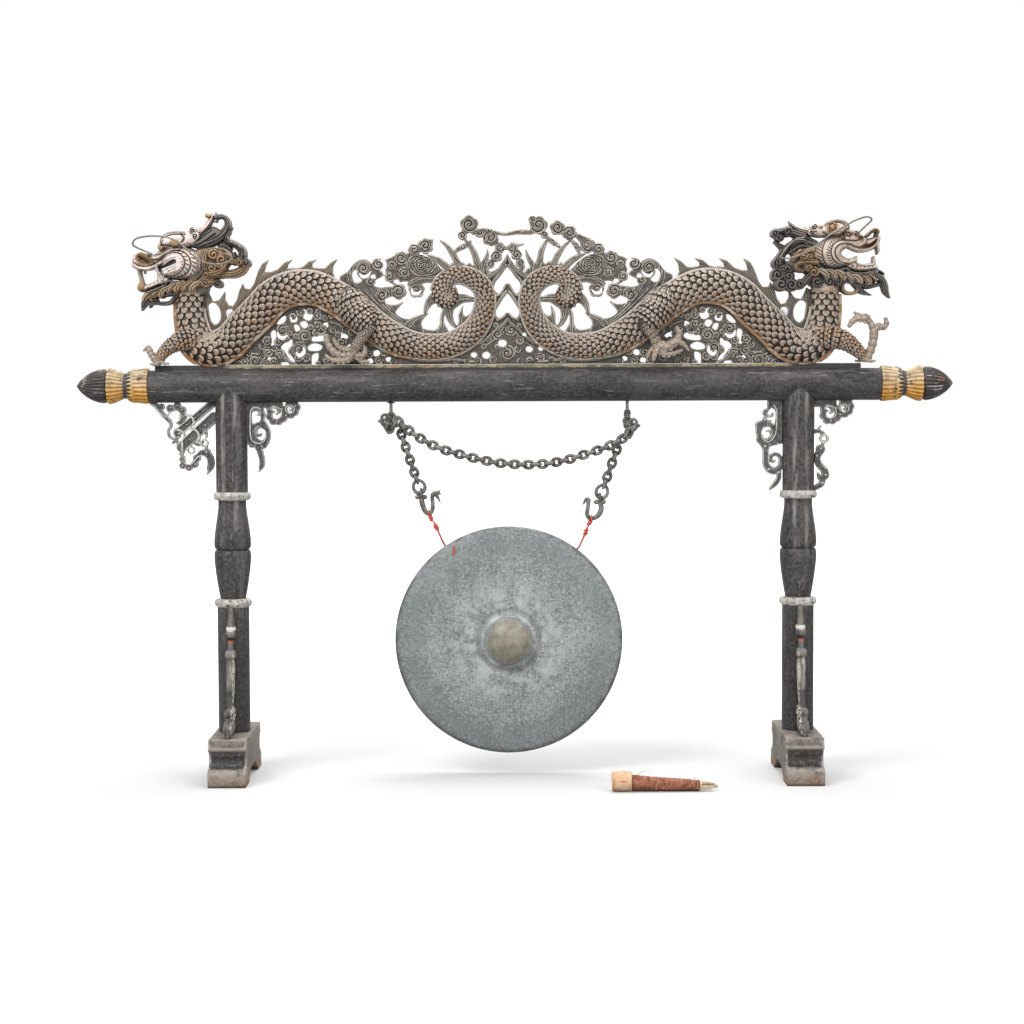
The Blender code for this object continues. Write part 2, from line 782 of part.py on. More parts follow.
def make_brackets():
    left, right = -POST_SPACING / 2, POST_SPACING / 2
    make_bracket("bracket_outer_left", left, -1, *emblem_bracket())
    make_bracket("bracket_inner_left", left, 1, *left_inner_bracket())
    make_bracket("bracket_inner_right", right, -1, *loop_bracket(0))
    make_bracket("bracket_outer_right", right, 1, *cloud_bar_bracket())
    make_bracket("bracket_stub_right", right, 1, *stub_bracket())


# Carved crest, drawn in squares: out from the crest's axis, and up from the top of the beam


def crest_place(side):
    top = BEAM_HEIGHT + BEAM_RADIUS
    return lambda u, w: (CREST_OFFSET + side * u * SQUARE, top + w * SQUARE)


CREST_REACH = 400
STRIP_REACH = 353
STRIP_TOP = (crest_seat_height() + 2 * GAP + STRIP_HEIGHT - BEAM_HEIGHT - BEAM_RADIUS) / SQUARE

# Spine of a dragon from its neck to the curl of its tail: out, up and half width
SPINE = [
    (318, 80, 13.5),
    (317.5, 62, 14.5),
    (316, 45, 15.5),
    (310, 25, 17.5),
    (296, 18.5, 17.5),
    (280, 24, 16.8),
    (267, 37, 16.5),
    (247.5, 56, 17),
    (235, 69, 17),
    (220, 77, 16.7),
    (202.5, 79.5, 16.5),
    (186, 76.5, 15.8),
    (163, 64, 16),
    (146, 50.5, 16),
    (129, 37.5, 15.2),
    (111, 27, 14.6),
    (93.5, 21.5, 12.7),
    (76, 19.5, 12.5),
    (58, 21.5, 11.9),
    (41, 30, 11.8),
    (30, 41, 11),
    (24, 54, 10.4),
    (22.2, 67, 9.8),
    (25, 78, 9.6),
    (32, 85.5, 9.4),
    (41, 89.7, 8.8),
    (51, 91, 8.3),
    (60.5, 88, 7.8),
    (67.5, 81, 7.2),
    (69.5, 72, 6.4),
    (65.5, 64.5, 5.6),
    (58.5, 63.5, 5.2),
    (54, 68.5, 5),
]

# Edge of the back fin: its spikes, then its root inside the body
FIN_EDGE = [
    (305, 74), (298, 76), (296, 67), (288, 66.5), (282, 75.5),
    (282, 68), (279, 62), (275, 61), (271, 67), (267, 81),
    (264.5, 83), (262, 78), (257, 78), (253, 84), (249, 97),
    (246, 103), (239.5, 107), (243, 100), (243.5, 94), (236, 95),
    (229, 97), (223, 104.5), (215.5, 107), (221, 101), (220, 98), (207, 99), (200, 104.5), (191, 107), (197, 102.5),
    (195, 99), (188, 98), (181, 98.5), (177, 104), (170.5, 107.5), (175, 101), (175, 94), (174, 88),
    (176, 76), (188, 80), (205, 85), (225, 82), (240, 74), (255, 58), (270, 45), (285, 30), (302, 30),
]
FIN_WINDOW = disc(294, 53, 7.5, 10, 1.35)


def spine_points(side, count=SPINE_STATIONS):
    place = crest_place(side)
    made = []
    for u, w, half in smooth(SPINE, count):
        x, z = place(u, w)
        made.append((x, POST_PLANE, z, half * SQUARE))
    return made


def spine_faces(margin=GAP / SQUARE):
    """The dragon's outline in the drawing, grown by a margin, for cutting the fretwork beside it."""
    route = smooth(SPINE, SPINE_STATIONS)
    grown = 2 * (margin + 0.15)
    faces = ribbon([(u, w) for u, w, _ in route], [2 * half + grown for _, _, half in route])
    tip_u, tip_w, tip_half = route[-1]
    return faces + [disc(tip_u, tip_w, tip_half + margin)]


def below_strip_top():
    """The room that the strip takes, so that the plates stand on it."""
    low = [(-CREST_REACH, -CREST_REACH), (CREST_REACH, -CREST_REACH)]
    return low + [(CREST_REACH, STRIP_TOP), (-CREST_REACH, STRIP_TOP)]


def thigh_room():
    return [disc(153, 66, 17.5, 10), disc(146, 52, 15.5, 10)]


def mirrored(faces):
    return [[(-u, w) for u, w in loop] for loop in faces]


def nearer(u, w, forward):
    """A place in the drawing as it is when it lies forward of the crest: nearer things are drawn larger."""
    share = 1 - forward * SQUARE / DRAWN_FROM
    return u * share, (w + EYE_LEVEL) * share - EYE_LEVEL


def limb(name, side, stations, sides_level=1, count=None):
    """A tapering limb through (out, up, forward, radius) stations in squares."""
    place = crest_place(side)
    route = smooth(stations, count or 2 * len(stations))
    made = []
    for u, w, forward, radius in route:
        x, z = place(*nearer(u, w, forward))
        made.append((x, POST_PLANE - forward * SQUARE, z, max(radius, 0.3) * SQUARE))
    return tube(name, made, sides_level)


def foreleg(side):
    return [
        limb("upper_arm", side, [(314, 26, 6, 12), (330, 24, 8, 10), (342, 15, 8, 7.5), (349, 9.5, 6, 6)], 1, 5),
        limb("paw", side, [(343, 8, 8, 6), (352, 7.5, 6, 5), (357, 13, 4, 4), (361.5, 19.5, 2, 3.4)], 1, 4),
    ]


def hind_leg(side):
    return [
        limb("thigh", side, [(153, 76, 8, 6), (153, 64, 9, 15), (145, 50, 11, 13), (139, 41, 13, 8)], 1, 6),
        limb("shin", side, [(138, 43, 13, 8), (150, 30, 12.5, 7), (164, 21, 12, 6.5), (184, 22, 10, 3.5)], 1, 5),
        limb("foot", side, [(146, 8.5, 11, 4.5), (157, 11, 11, 5.5), (170, 13, 11, 6), (182, 9, 9, 3.5)], 1, 4),
        limb("heel", side, [(160, 21, 12, 4), (152, 12, 11, 4.5)], 1, 2),
    ]


def make_dragon(side, suffix):
    body = tube("dragon_body_" + suffix, spine_points(side), 2, flatness=BODY_FLATNESS, flat_at=POST_PLANE)
    fin = plate("fin", [FIN_EDGE], [FIN_WINDOW], FIN_THICKNESS, crest_place(side), POST_PLANE)
    joined = fused("dragon_body_" + suffix, [body, fin] + foreleg(side) + hind_leg(side))
    half = STRIP_THICKNESS / 2 + GAP
    top = crest_seat_height() + STRIP_HEIGHT + 2 * GAP
    notch = box("strip_notch", (-1.0, POST_PLANE - half, BEAM_HEIGHT), (1.0, POST_PLANE + half, top))
    clearance = beam_solid("beam_clearance", BEAM_RADIUS + GAP, BEAM_LENGTH + 0.1)
    neck_x, neck_z = crest_place(side)(SPINE[0][0], SPINE[0][1])
    low = (neck_x - SEAT_REACH, POST_PLANE - SEAT_REACH, neck_z - SEAT_DEPTH)
    high = (neck_x + SEAT_REACH, POST_PLANE + SEAT_REACH, neck_z + SEAT_REACH)
    head_seat = box("head_seat", low, high)
    finish_object(cut(joined, [notch, clearance, head_seat]), scale_wood())


def make_strip():
    seat = crest_seat_height() + GAP
    half = STRIP_THICKNESS / 2
    left = CREST_OFFSET - STRIP_REACH * SQUARE
    right = CREST_OFFSET + STRIP_REACH * SQUARE
    strip = box("crest_strip", (left, POST_PLANE - half, seat), (right, POST_PLANE + half, seat + STRIP_HEIGHT))
    finish_object(strip, fret_wood())


# Cloud scrolls under the hump of a dragon: out, up and radius
LOW_CLOUDS = [
    (254, 9, 7.5), (241, 17, 6), (240, 28, 5.5), (228, 13, 6.5), (225, 37, 8), (215, 49, 5.5), (206, 55, 5.5),
    (204, 31, 8), (196, 43, 6), (183, 40, 6), (172, 41, 6.5),
    (211, 16, 9), (194, 18, 6), (170, 25, 6.5), (183, 10, 6.5),
]
LOW_CLOUD_WINDOWS = [(225, 36, 3.6), (209.5, 16, 3.8)]
LOW_CLOUD_TIES = [
    (0, 1), (1, 2), (1, 3), (2, 4), (4, 7), (4, 5), (5, 6), (7, 8),
    (8, 9), (9, 10), (7, 11), (11, 12), (12, 14), (10, 13),
    (3, 11),
]
TIE_WIDTH = 4


def belly_band():
    """A band of fretwork along the belly, under the hump."""
    route = smooth(SPINE[6:15], 17)
    inner = []
    for index, (u, w, half) in enumerate(route):
        before = route[max(index - 1, 0)]
        after = route[min(index + 1, len(route) - 1)]
        du, dw = after[0] - before[0], after[1] - before[1]
        length = math.hypot(du, dw)
        reach = half + 2.0
        inner.append((u - dw / length * reach * -1, w + du / length * reach))
    return ribbon(inner, 6)


def low_cloud_faces():
    keep = [disc(u, w, radius, 6) for u, w, radius in LOW_CLOUDS]
    for first, second in LOW_CLOUD_TIES:
        keep += ribbon([LOW_CLOUDS[first][:2], LOW_CLOUDS[second][:2]], TIE_WIDTH)
    keep += belly_band()
    keep += ribbon([(206, 54), (207, 62)], TIE_WIDTH) + ribbon([(240, 28), (249, 36)], TIE_WIDTH)
    keep += ribbon([(172, 41), (172, 50)], TIE_WIDTH) + ribbon([(225, 37), (231, 47)], TIE_WIDTH)
    rail_top, rail_end, rail_start = STRIP_TOP + 3.5, 270, 150
    keep += [[(rail_start, STRIP_TOP), (rail_end, STRIP_TOP), (rail_end, rail_top), (rail_start, rail_top)]]
    return keep, [disc(u, w, radius, 6) for u, w, radius in LOW_CLOUD_WINDOWS] + [below_strip_top()]


SHOULDER_CLOUD_EDGE = [
    (167, 88), (158, 99), (147, 105), (137, 101), (132, 107),
    (125, 108), (120, 103), (117, 107), (112, 105), (108, 112),
    (103, 114), (99, 111), (97, 119), (91, 125), (77, 127),
    (75, 124), (80, 115), (77, 110), (68, 104), (60, 99), (58, 90),
    (70, 84), (78, 87), (82, 84), (82, 74), (88, 69), (103, 66),
    (112, 61), (117, 54), (113, 44), (104, 40), (112, 28),
    (133, 38), (150, 52), (165, 66), (172, 82),
]
SHOULDER_CLOUD_WINDOWS = [
    [(153, 97), (151, 92), (146, 88), (142, 85), (143, 81), (150, 84), (156, 89), (157, 93)],
    [(126, 104), (124, 100), (126, 96), (132, 96), (129, 99)],
    [(130, 87), (121, 89), (121, 84), (130, 83)],
    [(115, 85), (107, 85), (108, 82), (114, 81)],
    [(127, 65), (121, 68), (116, 70), (115, 66), (122, 62)],
    [(112, 78), (108, 80), (105, 77), (108, 75)],
    [(97, 79), (94, 75), (89, 77), (92, 80)],
    [(138, 94), (133, 92), (134, 89), (138, 90)],
]


def heart_panel_faces():
    """The openwork at the crest's axis: two stacked spade openings over a cloud collar."""
    half = [
        (0, 110), (4, 110), (6, 101), (11, 93), (17, 87), (22, 83),
        (26, 60), (34, 45), (45, 30), (58, 16), (66, 10), (60, STRIP_TOP),
    ]
    outline = half + [(-u, w) for u, w in half[:0:-1]]
    upper = [(0, 99), (5, 94), (10, 87), (13, 82), (12, 75), (8, 71.5), (4, 74), (1.5, 79), (0, 82)]
    lower = [(0, 71), (5, 66), (10, 60), (11.5, 54), (8.5, 48.5), (4, 48.5), (0, 53)]
    windows = [side + [(-u, w) for u, w in side[-2:0:-1]] for side in (upper, lower)]
    windows += [disc(6, 25, 4), disc(21, 12, 5), disc(35, 13, 3), disc(-21, 17, 4), disc(-34, 17, 3), disc(-15, 32, 3)]
    return [outline], windows + [below_strip_top()]


def top_cloud_faces():
    """Clouds and flames that spring from the two tail curls and arch over the axis."""
    clouds = [
        (38, 141, 9), (45, 132, 4.5), (28, 134, 5), (15, 129, 8),
        (7, 119, 6), (13, 110, 6.5), (10, 103, 3.5), (-6, 119, 6),
        (-9, 111, 6), (-10, 104, 3.5), (-31, 142, 9), (-38, 132, 4.5), (-50, 137, 7.8), (-62, 132, 7.8),
    ]
    keep = [disc(u, w, radius, 6) for u, w, radius in clouds]
    keep += ribbon([(36, 135), (20, 135), (8, 132), (-8, 132), (-22, 133), (-33, 137)], [4, 4, 3, 3.4, 4, 4])
    keep += ribbon([(16, 124), (8, 119), (-6, 119), (-14, 121)], [4, 4, 3.4, 2])
    keep += ribbon([(47, 131), (38, 117), (32, 104), (29, 90)], [4, 4.5, 6, 9])
    keep += ribbon([(66, 125), (58, 113), (50, 101), (46, 91)], [2, 4.5, 6, 9])
    keep += ribbon([(-41, 129), (-34, 115), (-31, 103), (-28, 88)], [3.4, 4.5, 6, 9])
    keep += ribbon([(-63, 127), (-53, 113), (-46, 103), (-42, 91)], [3.4, 4.5, 6, 9])
    keep += ribbon([(13, 112), (18, 104), (20, 92)], [5, 4, 6]) + ribbon([(-9, 110), (-15, 101), (-20, 92)], [4, 4, 6])
    keep += ribbon([(58, 114), (43, 128)], [5, 6]) + ribbon([(-31, 138), (-40, 131)], 5)
    keep += ribbon([(-36, 131), (-52, 138)], 4)
    return keep


def make_fretwork():
    for side, suffix in ((-1, "left"), (1, "right")):
        keep, away = low_cloud_faces()
        room = spine_faces() + thigh_room()
        obj = plate("low_clouds_" + suffix, keep, away + room, FRET_THICKNESS, crest_place(side), POST_PLANE)
        finish_object(obj, fret_wood())
        obj = plate(
            "shoulder_clouds_" + suffix,
            [SHOULDER_CLOUD_EDGE],
            SHOULDER_CLOUD_WINDOWS + room,
            FRET_THICKNESS,
            crest_place(side),
            POST_PLANE,
        )
        finish_object(obj, fret_wood())
    both = spine_faces() + mirrored(spine_faces())
    keep, away = heart_panel_faces()
    keep += top_cloud_faces()
    finish_object(plate("heart_panel", keep, away + both, FRET_THICKNESS, crest_place(-1), POST_PLANE), fret_wood())


# Dragon heads: each is a skull with its jaws, and a mane behind it


def head_pieces(side):
    return [
        limb("cheek", side, [(312, 103, 0, 15), (322, 104, 0, 23), (334, 104, 0, 25), (346, 106, 0, 19)], 2, 5),
        limb("snout", side, [(340, 112, 0, 16), (352, 107, 0, 12.5), (364, 105, 0, 10), (375, 112, 0, 4)], 1, 5),
        limb("jaw", side, [(330, 92, 0, 12), (346, 85, 0, 7.5), (358, 80.5, 0, 6), (371, 82, 0, 4)], 1, 5),
        limb("brow", side, [(346, 121, 0, 7), (338, 127, 0, 11), (320, 128, 0, 11), (302, 136, 0, 6)], 1, 5),
        limb("horn", side, [(306, 132, 0, 6.5), (299, 142, 0, 4.5), (296, 151, 0, 3)], 1, 3),
        limb("tooth", side, [(369, 100, 0, 3), (367, 84, 0, 2.6)], 0, 2),
        limb("fang", side, [(350, 98, 0, 3.6), (346, 84, 0, 2.6)], 0, 2),
    ]


CHIN_HAIR = [(318, 80, 0, 8), (334, 76, 0, 8), (350, 72, 0, 7), (364, 68, 0, 6), (366, 58.5, 0, 1.2)]


def mane_pieces(side):
    return [
        limb("nape", side, [(322, 82, 0, 8), (308, 88, 0, 13), (300, 102, 0, 14), (304, 120, 0, 11)], 1, 4),
        limb("lock_top", side, [(300, 122, 0, 9), (286, 130, 0, 9), (280, 143, 0, 6), (296, 151.5, 0, 2.5)], 1, 5),
        limb("lock_back", side, [(296, 116, 0, 8), (280, 120, 0, 7), (278, 133, 0, 4), (276, 139, 0, 1.5)], 0, 4),
        limb("lock_sweep", side, [(298, 106, 0, 9), (282, 112, 0, 7), (270, 120, 0, 6), (268, 108, 0, 4)], 0, 5),
        limb("lock_ochre", side, [(300, 98, 0, 9), (284, 102, 0, 8), (261, 104, 0, 5)], 0, 4),
        limb("lock_low", side, [(302, 92, 0, 9), (284, 92, 0, 8), (266, 96, 0, 2)], 0, 3),
        limb("chin_hair", side, CHIN_HAIR, 0, 5),
    ]


NECK_SEAT = SPINE[0][1] - SEAT_DEPTH / SQUARE


def flatten_pieces(pieces, factor):
    shift = Matrix.Translation((0.0, POST_PLANE, 0.0))
    squeeze = shift @ Matrix.Diagonal((1.0, factor, 1.0, 1.0)) @ shift.inverted()
    for piece in pieces:
        piece.data.transform(squeeze)
    return pieces


def make_head(side, suffix):
    mane = fused("mane_" + suffix, flatten_pieces(mane_pieces(side), HEAD_FLATNESS))
    head = fused("head_" + suffix, flatten_pieces(head_pieces(side), HEAD_FLATNESS))
    place = crest_place(side)
    neck_x, neck_z = place(SPINE[0][0], NECK_SEAT)
    reach = 0.2
    neck_box = box(
        "neck_clearance",
        (neck_x - 0.055, POST_PLANE - reach, neck_z - reach),
        (neck_x + 0.055, POST_PLANE + reach, neck_z + GAP),
    )
    mane = cut(mane, [neck_box])
    grown = fused("head_room", flatten_pieces(head_pieces(side), HEAD_FLATNESS))
    swell(grown, GAP * 2)
    finish_object(cut(mane, [grown]), mane_wood())
    finish_object(head, head_wood())


def swell(obj, amount):
    """Moves every point of a closed shape out along its normal."""
    shape = bmesh.new()
    shape.from_mesh(obj.data)
    shape.normal_update()
    moves = [(corner, corner.normal * amount) for corner in shape.verts]
    for corner, move in moves:
        corner.co += move
    shape.to_mesh(obj.data)
    shape.free()
    return obj


# Whisker of each dragon, a bent wire: out, up and forward
LEFT_WHISKER = [
    (355, 113, 9.7), (365, 117, 17), (374, 122, 20),
    (371, 128, 21), (359, 130.5, 22), (344, 130, 26), (328, 124, 30),
    (315, 113, 32), (301, 105, 30), (286, 102, 28), (278, 106, 27), (282, 113, 26), (294, 119, 25), (303, 116, 24),
    (306, 110, 23),
]
RIGHT_WHISKER = [
    (348, 126, 6.2), (357, 137, 15), (364, 144, 18), (359, 147, 19), (349, 144, 22), (341, 140, 26), (321, 128, 30),
    (303, 114, 32), (286, 107, 30), (275, 107, 28), (280, 116, 26), (288, 124, 25), (297, 127, 24),
]


def make_whisker(side, suffix, route):
    place = crest_place(side)
    stations = []
    for u, w, forward in smooth(route, 2 * len(route) - 1):
        x, z = place(*nearer(u, w, forward))
        stations.append((x, POST_PLANE - forward * SQUARE, z, WHISKER_RADIUS))
    finish_object(tube("whisker_" + suffix, stations, 0), iron())


# Hanging gear


def oval(name, centre, along, across, length, width, wire, per_end=4, sides=4):
    """A closed link of round wire: two half circles joined by straight sides."""
    centre = Vector(centre)
    along = Vector(along).normalized()
    across = Vector(across)
    across = (across - along * across.dot(along)).normalized()
    face = along.cross(across)
    reach = width / 2 - wire
    straight = length / 2 - wire - reach
    route = []
    for sign in (1, -1):
        for index in range(per_end):
            angle = math.radians(-90 + (index + 0.5) * 180 / per_end)
            corner = reach / math.cos(math.pi / 2 / per_end)
            out = sign * (straight + corner * math.cos(angle))
            route.append((out, sign * corner * math.sin(angle)))
    shape = bmesh.new()
    rings = []
    count = len(route)
    for index, (a, b) in enumerate(route):
        before, after = Vector(route[index - 1]), Vector(route[(index + 1) % count])
        here = Vector((a, b))
        first = (here - before).normalized()
        second = (after - here).normalized()
        middle = (first + second).normalized()
        outward = Vector((middle.y, -middle.x))
        stretch = 1 / max(first.dot(middle), 0.2)
        ring = []
        for side in range(sides):
            turn = 2 * math.pi * side / sides
            flat = here + outward * (wire * math.cos(turn) * stretch)
            place = centre + along * flat.x + across * flat.y + face * (wire * math.sin(turn))
            ring.append(shape.verts.new(place))
        rings.append(ring)
    for index in range(count):
        one, two = rings[index], rings[(index + 1) % count]
        for side in range(sides):
            other = (side + 1) % sides
            shape.faces.new((one[side], two[side], two[other], one[other]))
    bmesh.ops.recalc_face_normals(shape, faces=shape.faces)
    mesh = bpy.data.meshes.new(name)
    shape.to_mesh(mesh)
    shape.free()
    return link_object(name, mesh)


def at(place, y=POST_PLANE):
    return Vector((place[0], y, place[1]))


def joined_loose(pieces):
    """One mesh object of pieces that don't touch each other."""
    shape = bmesh.new()
    for piece in pieces:
        bake_place(piece)
        shape.from_mesh(piece.data)
    mesh = bpy.data.meshes.new(pieces[0].name)
    shape.to_mesh(mesh)
    shape.free()
    for piece in pieces:
        bpy.data.objects.remove(piece, do_unlink=True)
    return link_object(mesh.name, mesh)


def chain(name, joints):
    """Fused links between a chain's joints, each a quarter turn from the last, the first in the stand's plane."""
    odd, even = [], []
    deep = Vector((0.0, 1.0, 0.0))
    grip = 2 * CHAIN_WIRE - LINK_BITE
    for index, (start, end) in enumerate(zip(joints, joints[1:])):
        along = (end - start).normalized()
        flat = index % 2 == 0
        across = along.cross(deep) if flat else deep
        length = (end - start).length + grip + 2 * CHAIN_WIRE
        piece = oval(name, (start + end) / 2, along, across, length, LINK_WIDTH, CHAIN_WIRE)
        (even if flat else odd).append(piece)
    return fused(name, [joined_loose(even), joined_loose(odd)])


def chain_joints(route, count, start_reach, end_reach):
    """Joints of a chain of so many links along a route, which starts and ends past the pieces it hangs on."""
    extra = (2 * CHAIN_WIRE - LINK_BITE) / 2
    route = [point.copy() for point in route]
    route[0] += (route[0] - route[1]).normalized() * (start_reach - extra)
    route[-1] += (route[-1] - route[-2]).normalized() * (end_reach - extra)
    lengths = [0.0]
    for one, two in zip(route, route[1:]):
        lengths.append(lengths[-1] + (two - one).length)
    joints = []
    for index in range(count + 1):
        reach = lengths[-1] * index / count
        leg = max(place for place in range(len(route) - 1) if lengths[place] <= reach + 1e-9)
        share = (reach - lengths[leg]) / (lengths[leg + 1] - lengths[leg])
        joints.append(route[leg].lerp(route[leg + 1], min(share, 1.0)))
    return joints


def make_eyebolt(suffix, swing, has_knop):
    """A shank driven up into the beam, with an eye whose lowest wire carries the chain."""
    x, height = swing
    centre = at((x, height + EYE_RADIUS))
    width = 2 * (EYE_RADIUS + EYE_WIRE)
    eye = oval("eye", centre, (0, 0, 1), (1, 0, 0), width, width, EYE_WIRE, 4, 6)
    foot = height + 2 * EYE_RADIUS - EYE_WIRE * 0.6
    top = BEAM_HEIGHT - BEAM_RADIUS + SHANK_SEAT
    pieces = [eye, cylinder("shank", at((x, foot)), at((x, top)), SHANK_RADIUS, 10)]
    if has_knop:
        pieces.append(ball("knop", at((x, foot + KNOP_RADIUS * 1.2)), KNOP_RADIUS, (1.0, 1.0, 1.1), 8, 6))
    finish_object(fused("eyebolt_" + suffix, pieces), iron())


# Each bundle: where the long chain starts, which way its carrier leans, and its gathered links
LEFT_FESTOON_END = (-0.3070, BEAM_HEIGHT - 0.0920)
RIGHT_FESTOON_END = (0.2836, BEAM_HEIGHT - 0.1400)
LEFT_BAR_LEAN = (-0.5, -0.87)
RIGHT_BAR_LEAN = (0.5, 0.87)
GATHERED_LINKS = [
    ((0.014, -0.0155, 0.002), (0.3, -0.2, 1), (1, 0, 0)),
    ((0.004, 0.0155, 0.000), (0.3, 0.2, 1), (1, 0, 0)),
    ((0.021, -0.003, -0.010), (0.8, 0, 0.6), (0, 1, 0)),
]


def make_bundle(suffix, swing, sway, bar_end, bar_lean, outward):
    """Surplus chain gathered below an eye, fused as it hangs: it carries the drop chain and the long chain."""
    reach = EYE_WIRE + CHAIN_WIRE + GAP
    deep = (0, 1, 0)
    up = (0, 0, 1)
    carrier_half = CARRIER_LENGTH / 2 - CHAIN_WIRE
    carrier = at((swing[0], swing[1] + reach - carrier_half))
    heart = carrier - Vector((0, 0, carrier_half))
    half = LINK_LENGTH / 2 - CHAIN_WIRE
    end_centre = at((sway[0], sway[1] + half))
    lean = Vector((bar_lean[0], 0.0, bar_lean[1])).normalized()
    bar_centre = at(bar_end, FESTOON_PLANE) + lean * half
    pieces = [
        oval("carrier", carrier, up, deep, CARRIER_LENGTH, LINK_WIDTH, CHAIN_WIRE),
        oval("end_link", end_centre, up, deep, LINK_LENGTH, LINK_WIDTH, CHAIN_WIRE),
        oval("bar", bar_centre, lean, deep, LINK_LENGTH, LINK_WIDTH, CHAIN_WIRE),
    ]
    ends = [end_centre + Vector((0, 0, half)), bar_centre + lean * half]
    for offset, along, across in GATHERED_LINKS:
        centre = at(swing) + Vector((outward * offset[0], offset[1], offset[2]))
        along = Vector((outward * along[0], along[1], along[2])).normalized()
        pieces.append(oval("gathered", centre, along, across, LINK_LENGTH, LINK_WIDTH, CHAIN_WIRE))
        ends.append(centre - along * half)
    for end in ends:
        pieces.append(cylinder("wire", heart, end + (end - heart).normalized() * CHAIN_WIRE / 2, CHAIN_WIRE, 4))
    finish_object(fused("chain_bundle_" + suffix, pieces), iron())


# Where the long chain hangs: along the beam, and down from its axis
FESTOON_ROUTE = [
    (-0.2620, 0.1298), (-0.2173, 0.1561), (-0.1780, 0.1719), (-0.1465, 0.1797), (-0.1123, 0.1902),
    (-0.0861, 0.1955), (-0.0520, 0.2034), (-0.0205, 0.2060), (0.0163, 0.2086), (0.0478, 0.2086),
    (0.0845, 0.2060), (0.1160, 0.2007), (0.1501, 0.1928), (0.1816, 0.1823), (0.2157, 0.1718),
    (0.2446, 0.1613),
]


def make_festoon():
    hanging = [(x, BEAM_HEIGHT - drop) for x, drop in FESTOON_ROUTE]
    route = [at(place, FESTOON_PLANE) for place in [LEFT_FESTOON_END, *hanging, RIGHT_FESTOON_END]]
    reach = 2 * CHAIN_WIRE + FESTOON_PLAY
    joints = chain_joints(route, FESTOON_LINKS, reach, reach)
    finish_object(chain("chain_festoon", joints), iron())


def ring_line(sway, foot):
    """Direction down a drop chain, and the top of the ring that ends it."""
    down = (at(foot) - at(sway)).normalized()
    return down, at(foot) - down * (RING_LENGTH - 2 * RING_WIRE)


def make_drop(suffix, sway, foot, count):
    down, ring_top = ring_line(sway, foot)
    start_reach = 2 * CHAIN_WIRE + GAP
    end_reach = RING_WIRE + CHAIN_WIRE + GAP
    joints = chain_joints([at(sway), ring_top], count, start_reach, end_reach)
    finish_object(chain("drop_chain_" + suffix, joints), iron())
    across = down.cross(Vector((0, 1, 0)))
    ring = oval("ring_" + suffix, (ring_top + at(foot)) / 2, down, across, RING_LENGTH, RING_WIDTH, RING_WIRE, 5, 6)
    finish_object(ring, iron())


# Hooks: out from the left bow towards the gong, and up from the bow, with the wire's share of its full radius
LEFT_HOOK_ROUTE = [
    (-0.0180, 0.0400, 0.85), (-0.0160, 0.0270, 1.0),
    (-0.0105, 0.0120, 1.05), (-0.0060, 0.0035, 1.05), (0.0, 0.0, 1.0),
    (0.0065, 0.0030, 1.0), (0.0105, 0.0110, 1.0),
    (0.0115, 0.0230, 1.0), (0.0110, 0.0400, 1.0), (0.0115, 0.0500, 1.1),
    (0.0180, 0.0545, 0.85), (0.0300, 0.0560, 0.4),
]
RIGHT_HOOK_ROUTE = [
    (0.0230, 0.0400, 0.85), (0.0255, 0.0300, 1.0), (0.0235, 0.0180, 1.05), (0.0150, 0.0060, 1.05), (0.0, 0.0, 1.0),
    (-0.0080, 0.0040, 1.0), (-0.0115, 0.0130, 1.0),
    (-0.0100, 0.0260, 1.0), (-0.0080, 0.0400, 1.0), (-0.0075, 0.0500, 1.1),
    (-0.0125, 0.0500, 0.85), (-0.0210, 0.0380, 0.4),
]


def make_hook(suffix, foot, bow, route):
    """A hook whose eye holds the ring, and whose bow carries a cord."""
    slack = HOOK_EYE_RADIUS - HOOK_EYE_WIRE - RING_WIRE - HOOK_PLAY
    centre = at((foot[0], foot[1] - slack))
    width = 2 * (HOOK_EYE_RADIUS + HOOK_EYE_WIRE)
    eye = oval("eye", centre, (0, 0, 1), (0, 1, 0), width, width, HOOK_EYE_WIRE, 4, 6)
    stations = [(centre.x, POST_PLANE, centre.z - HOOK_EYE_RADIUS, HOOK_WIRE * 0.8)]
    for out, up, share in route:
        stations.append((bow[0] + out, POST_PLANE, bow[1] + up, HOOK_WIRE * share))
    finish_object(fused("hook_" + suffix, [eye, tube("bent", stations, 1)]), iron())


def gong_profile():
    """(radius, depth behind the face) of the bronze: down the front, round the rim and back up inside."""
    wall = GONG_WALL
    radius = GONG_RADIUS
    front = [
        (0.0, -DOME_HEIGHT),
        (DOME_RADIUS * 0.42, -DOME_HEIGHT * 0.91),
        (DOME_RADIUS * 0.77, -DOME_HEIGHT * 0.64),
        (DOME_RADIUS, -DOME_HEIGHT * 0.28),
        (BOSS_RADIUS, -0.002),
        (BOSS_RADIUS + 0.008, 0.0),
        (FLAT_RADIUS, 0.0),
        (radius - 0.010, FACE_FALL),
        (radius - 0.002, FACE_FALL + 0.006),
        (radius, FACE_FALL + 0.014),
        (RIM_BACK_RADIUS + wall, RIM_DEPTH),
    ]
    back = [
        (RIM_BACK_RADIUS, RIM_DEPTH),
        (radius - wall, FACE_FALL + 0.015),
        (radius - 0.013, FACE_FALL + wall),
        (FLAT_RADIUS, wall),
        (BOSS_RADIUS + 0.006, wall),
        (BOSS_RADIUS - wall, 0.001),
        (DOME_RADIUS - wall, -DOME_HEIGHT * 0.28 + 0.001),
        (DOME_RADIUS * 0.72, -DOME_HEIGHT * 0.64 + wall * 0.7),
        (DOME_RADIUS * 0.39, -DOME_HEIGHT * 0.91 + wall * 0.9),
        (0.0, -DOME_HEIGHT + wall),
    ]
    return front + back


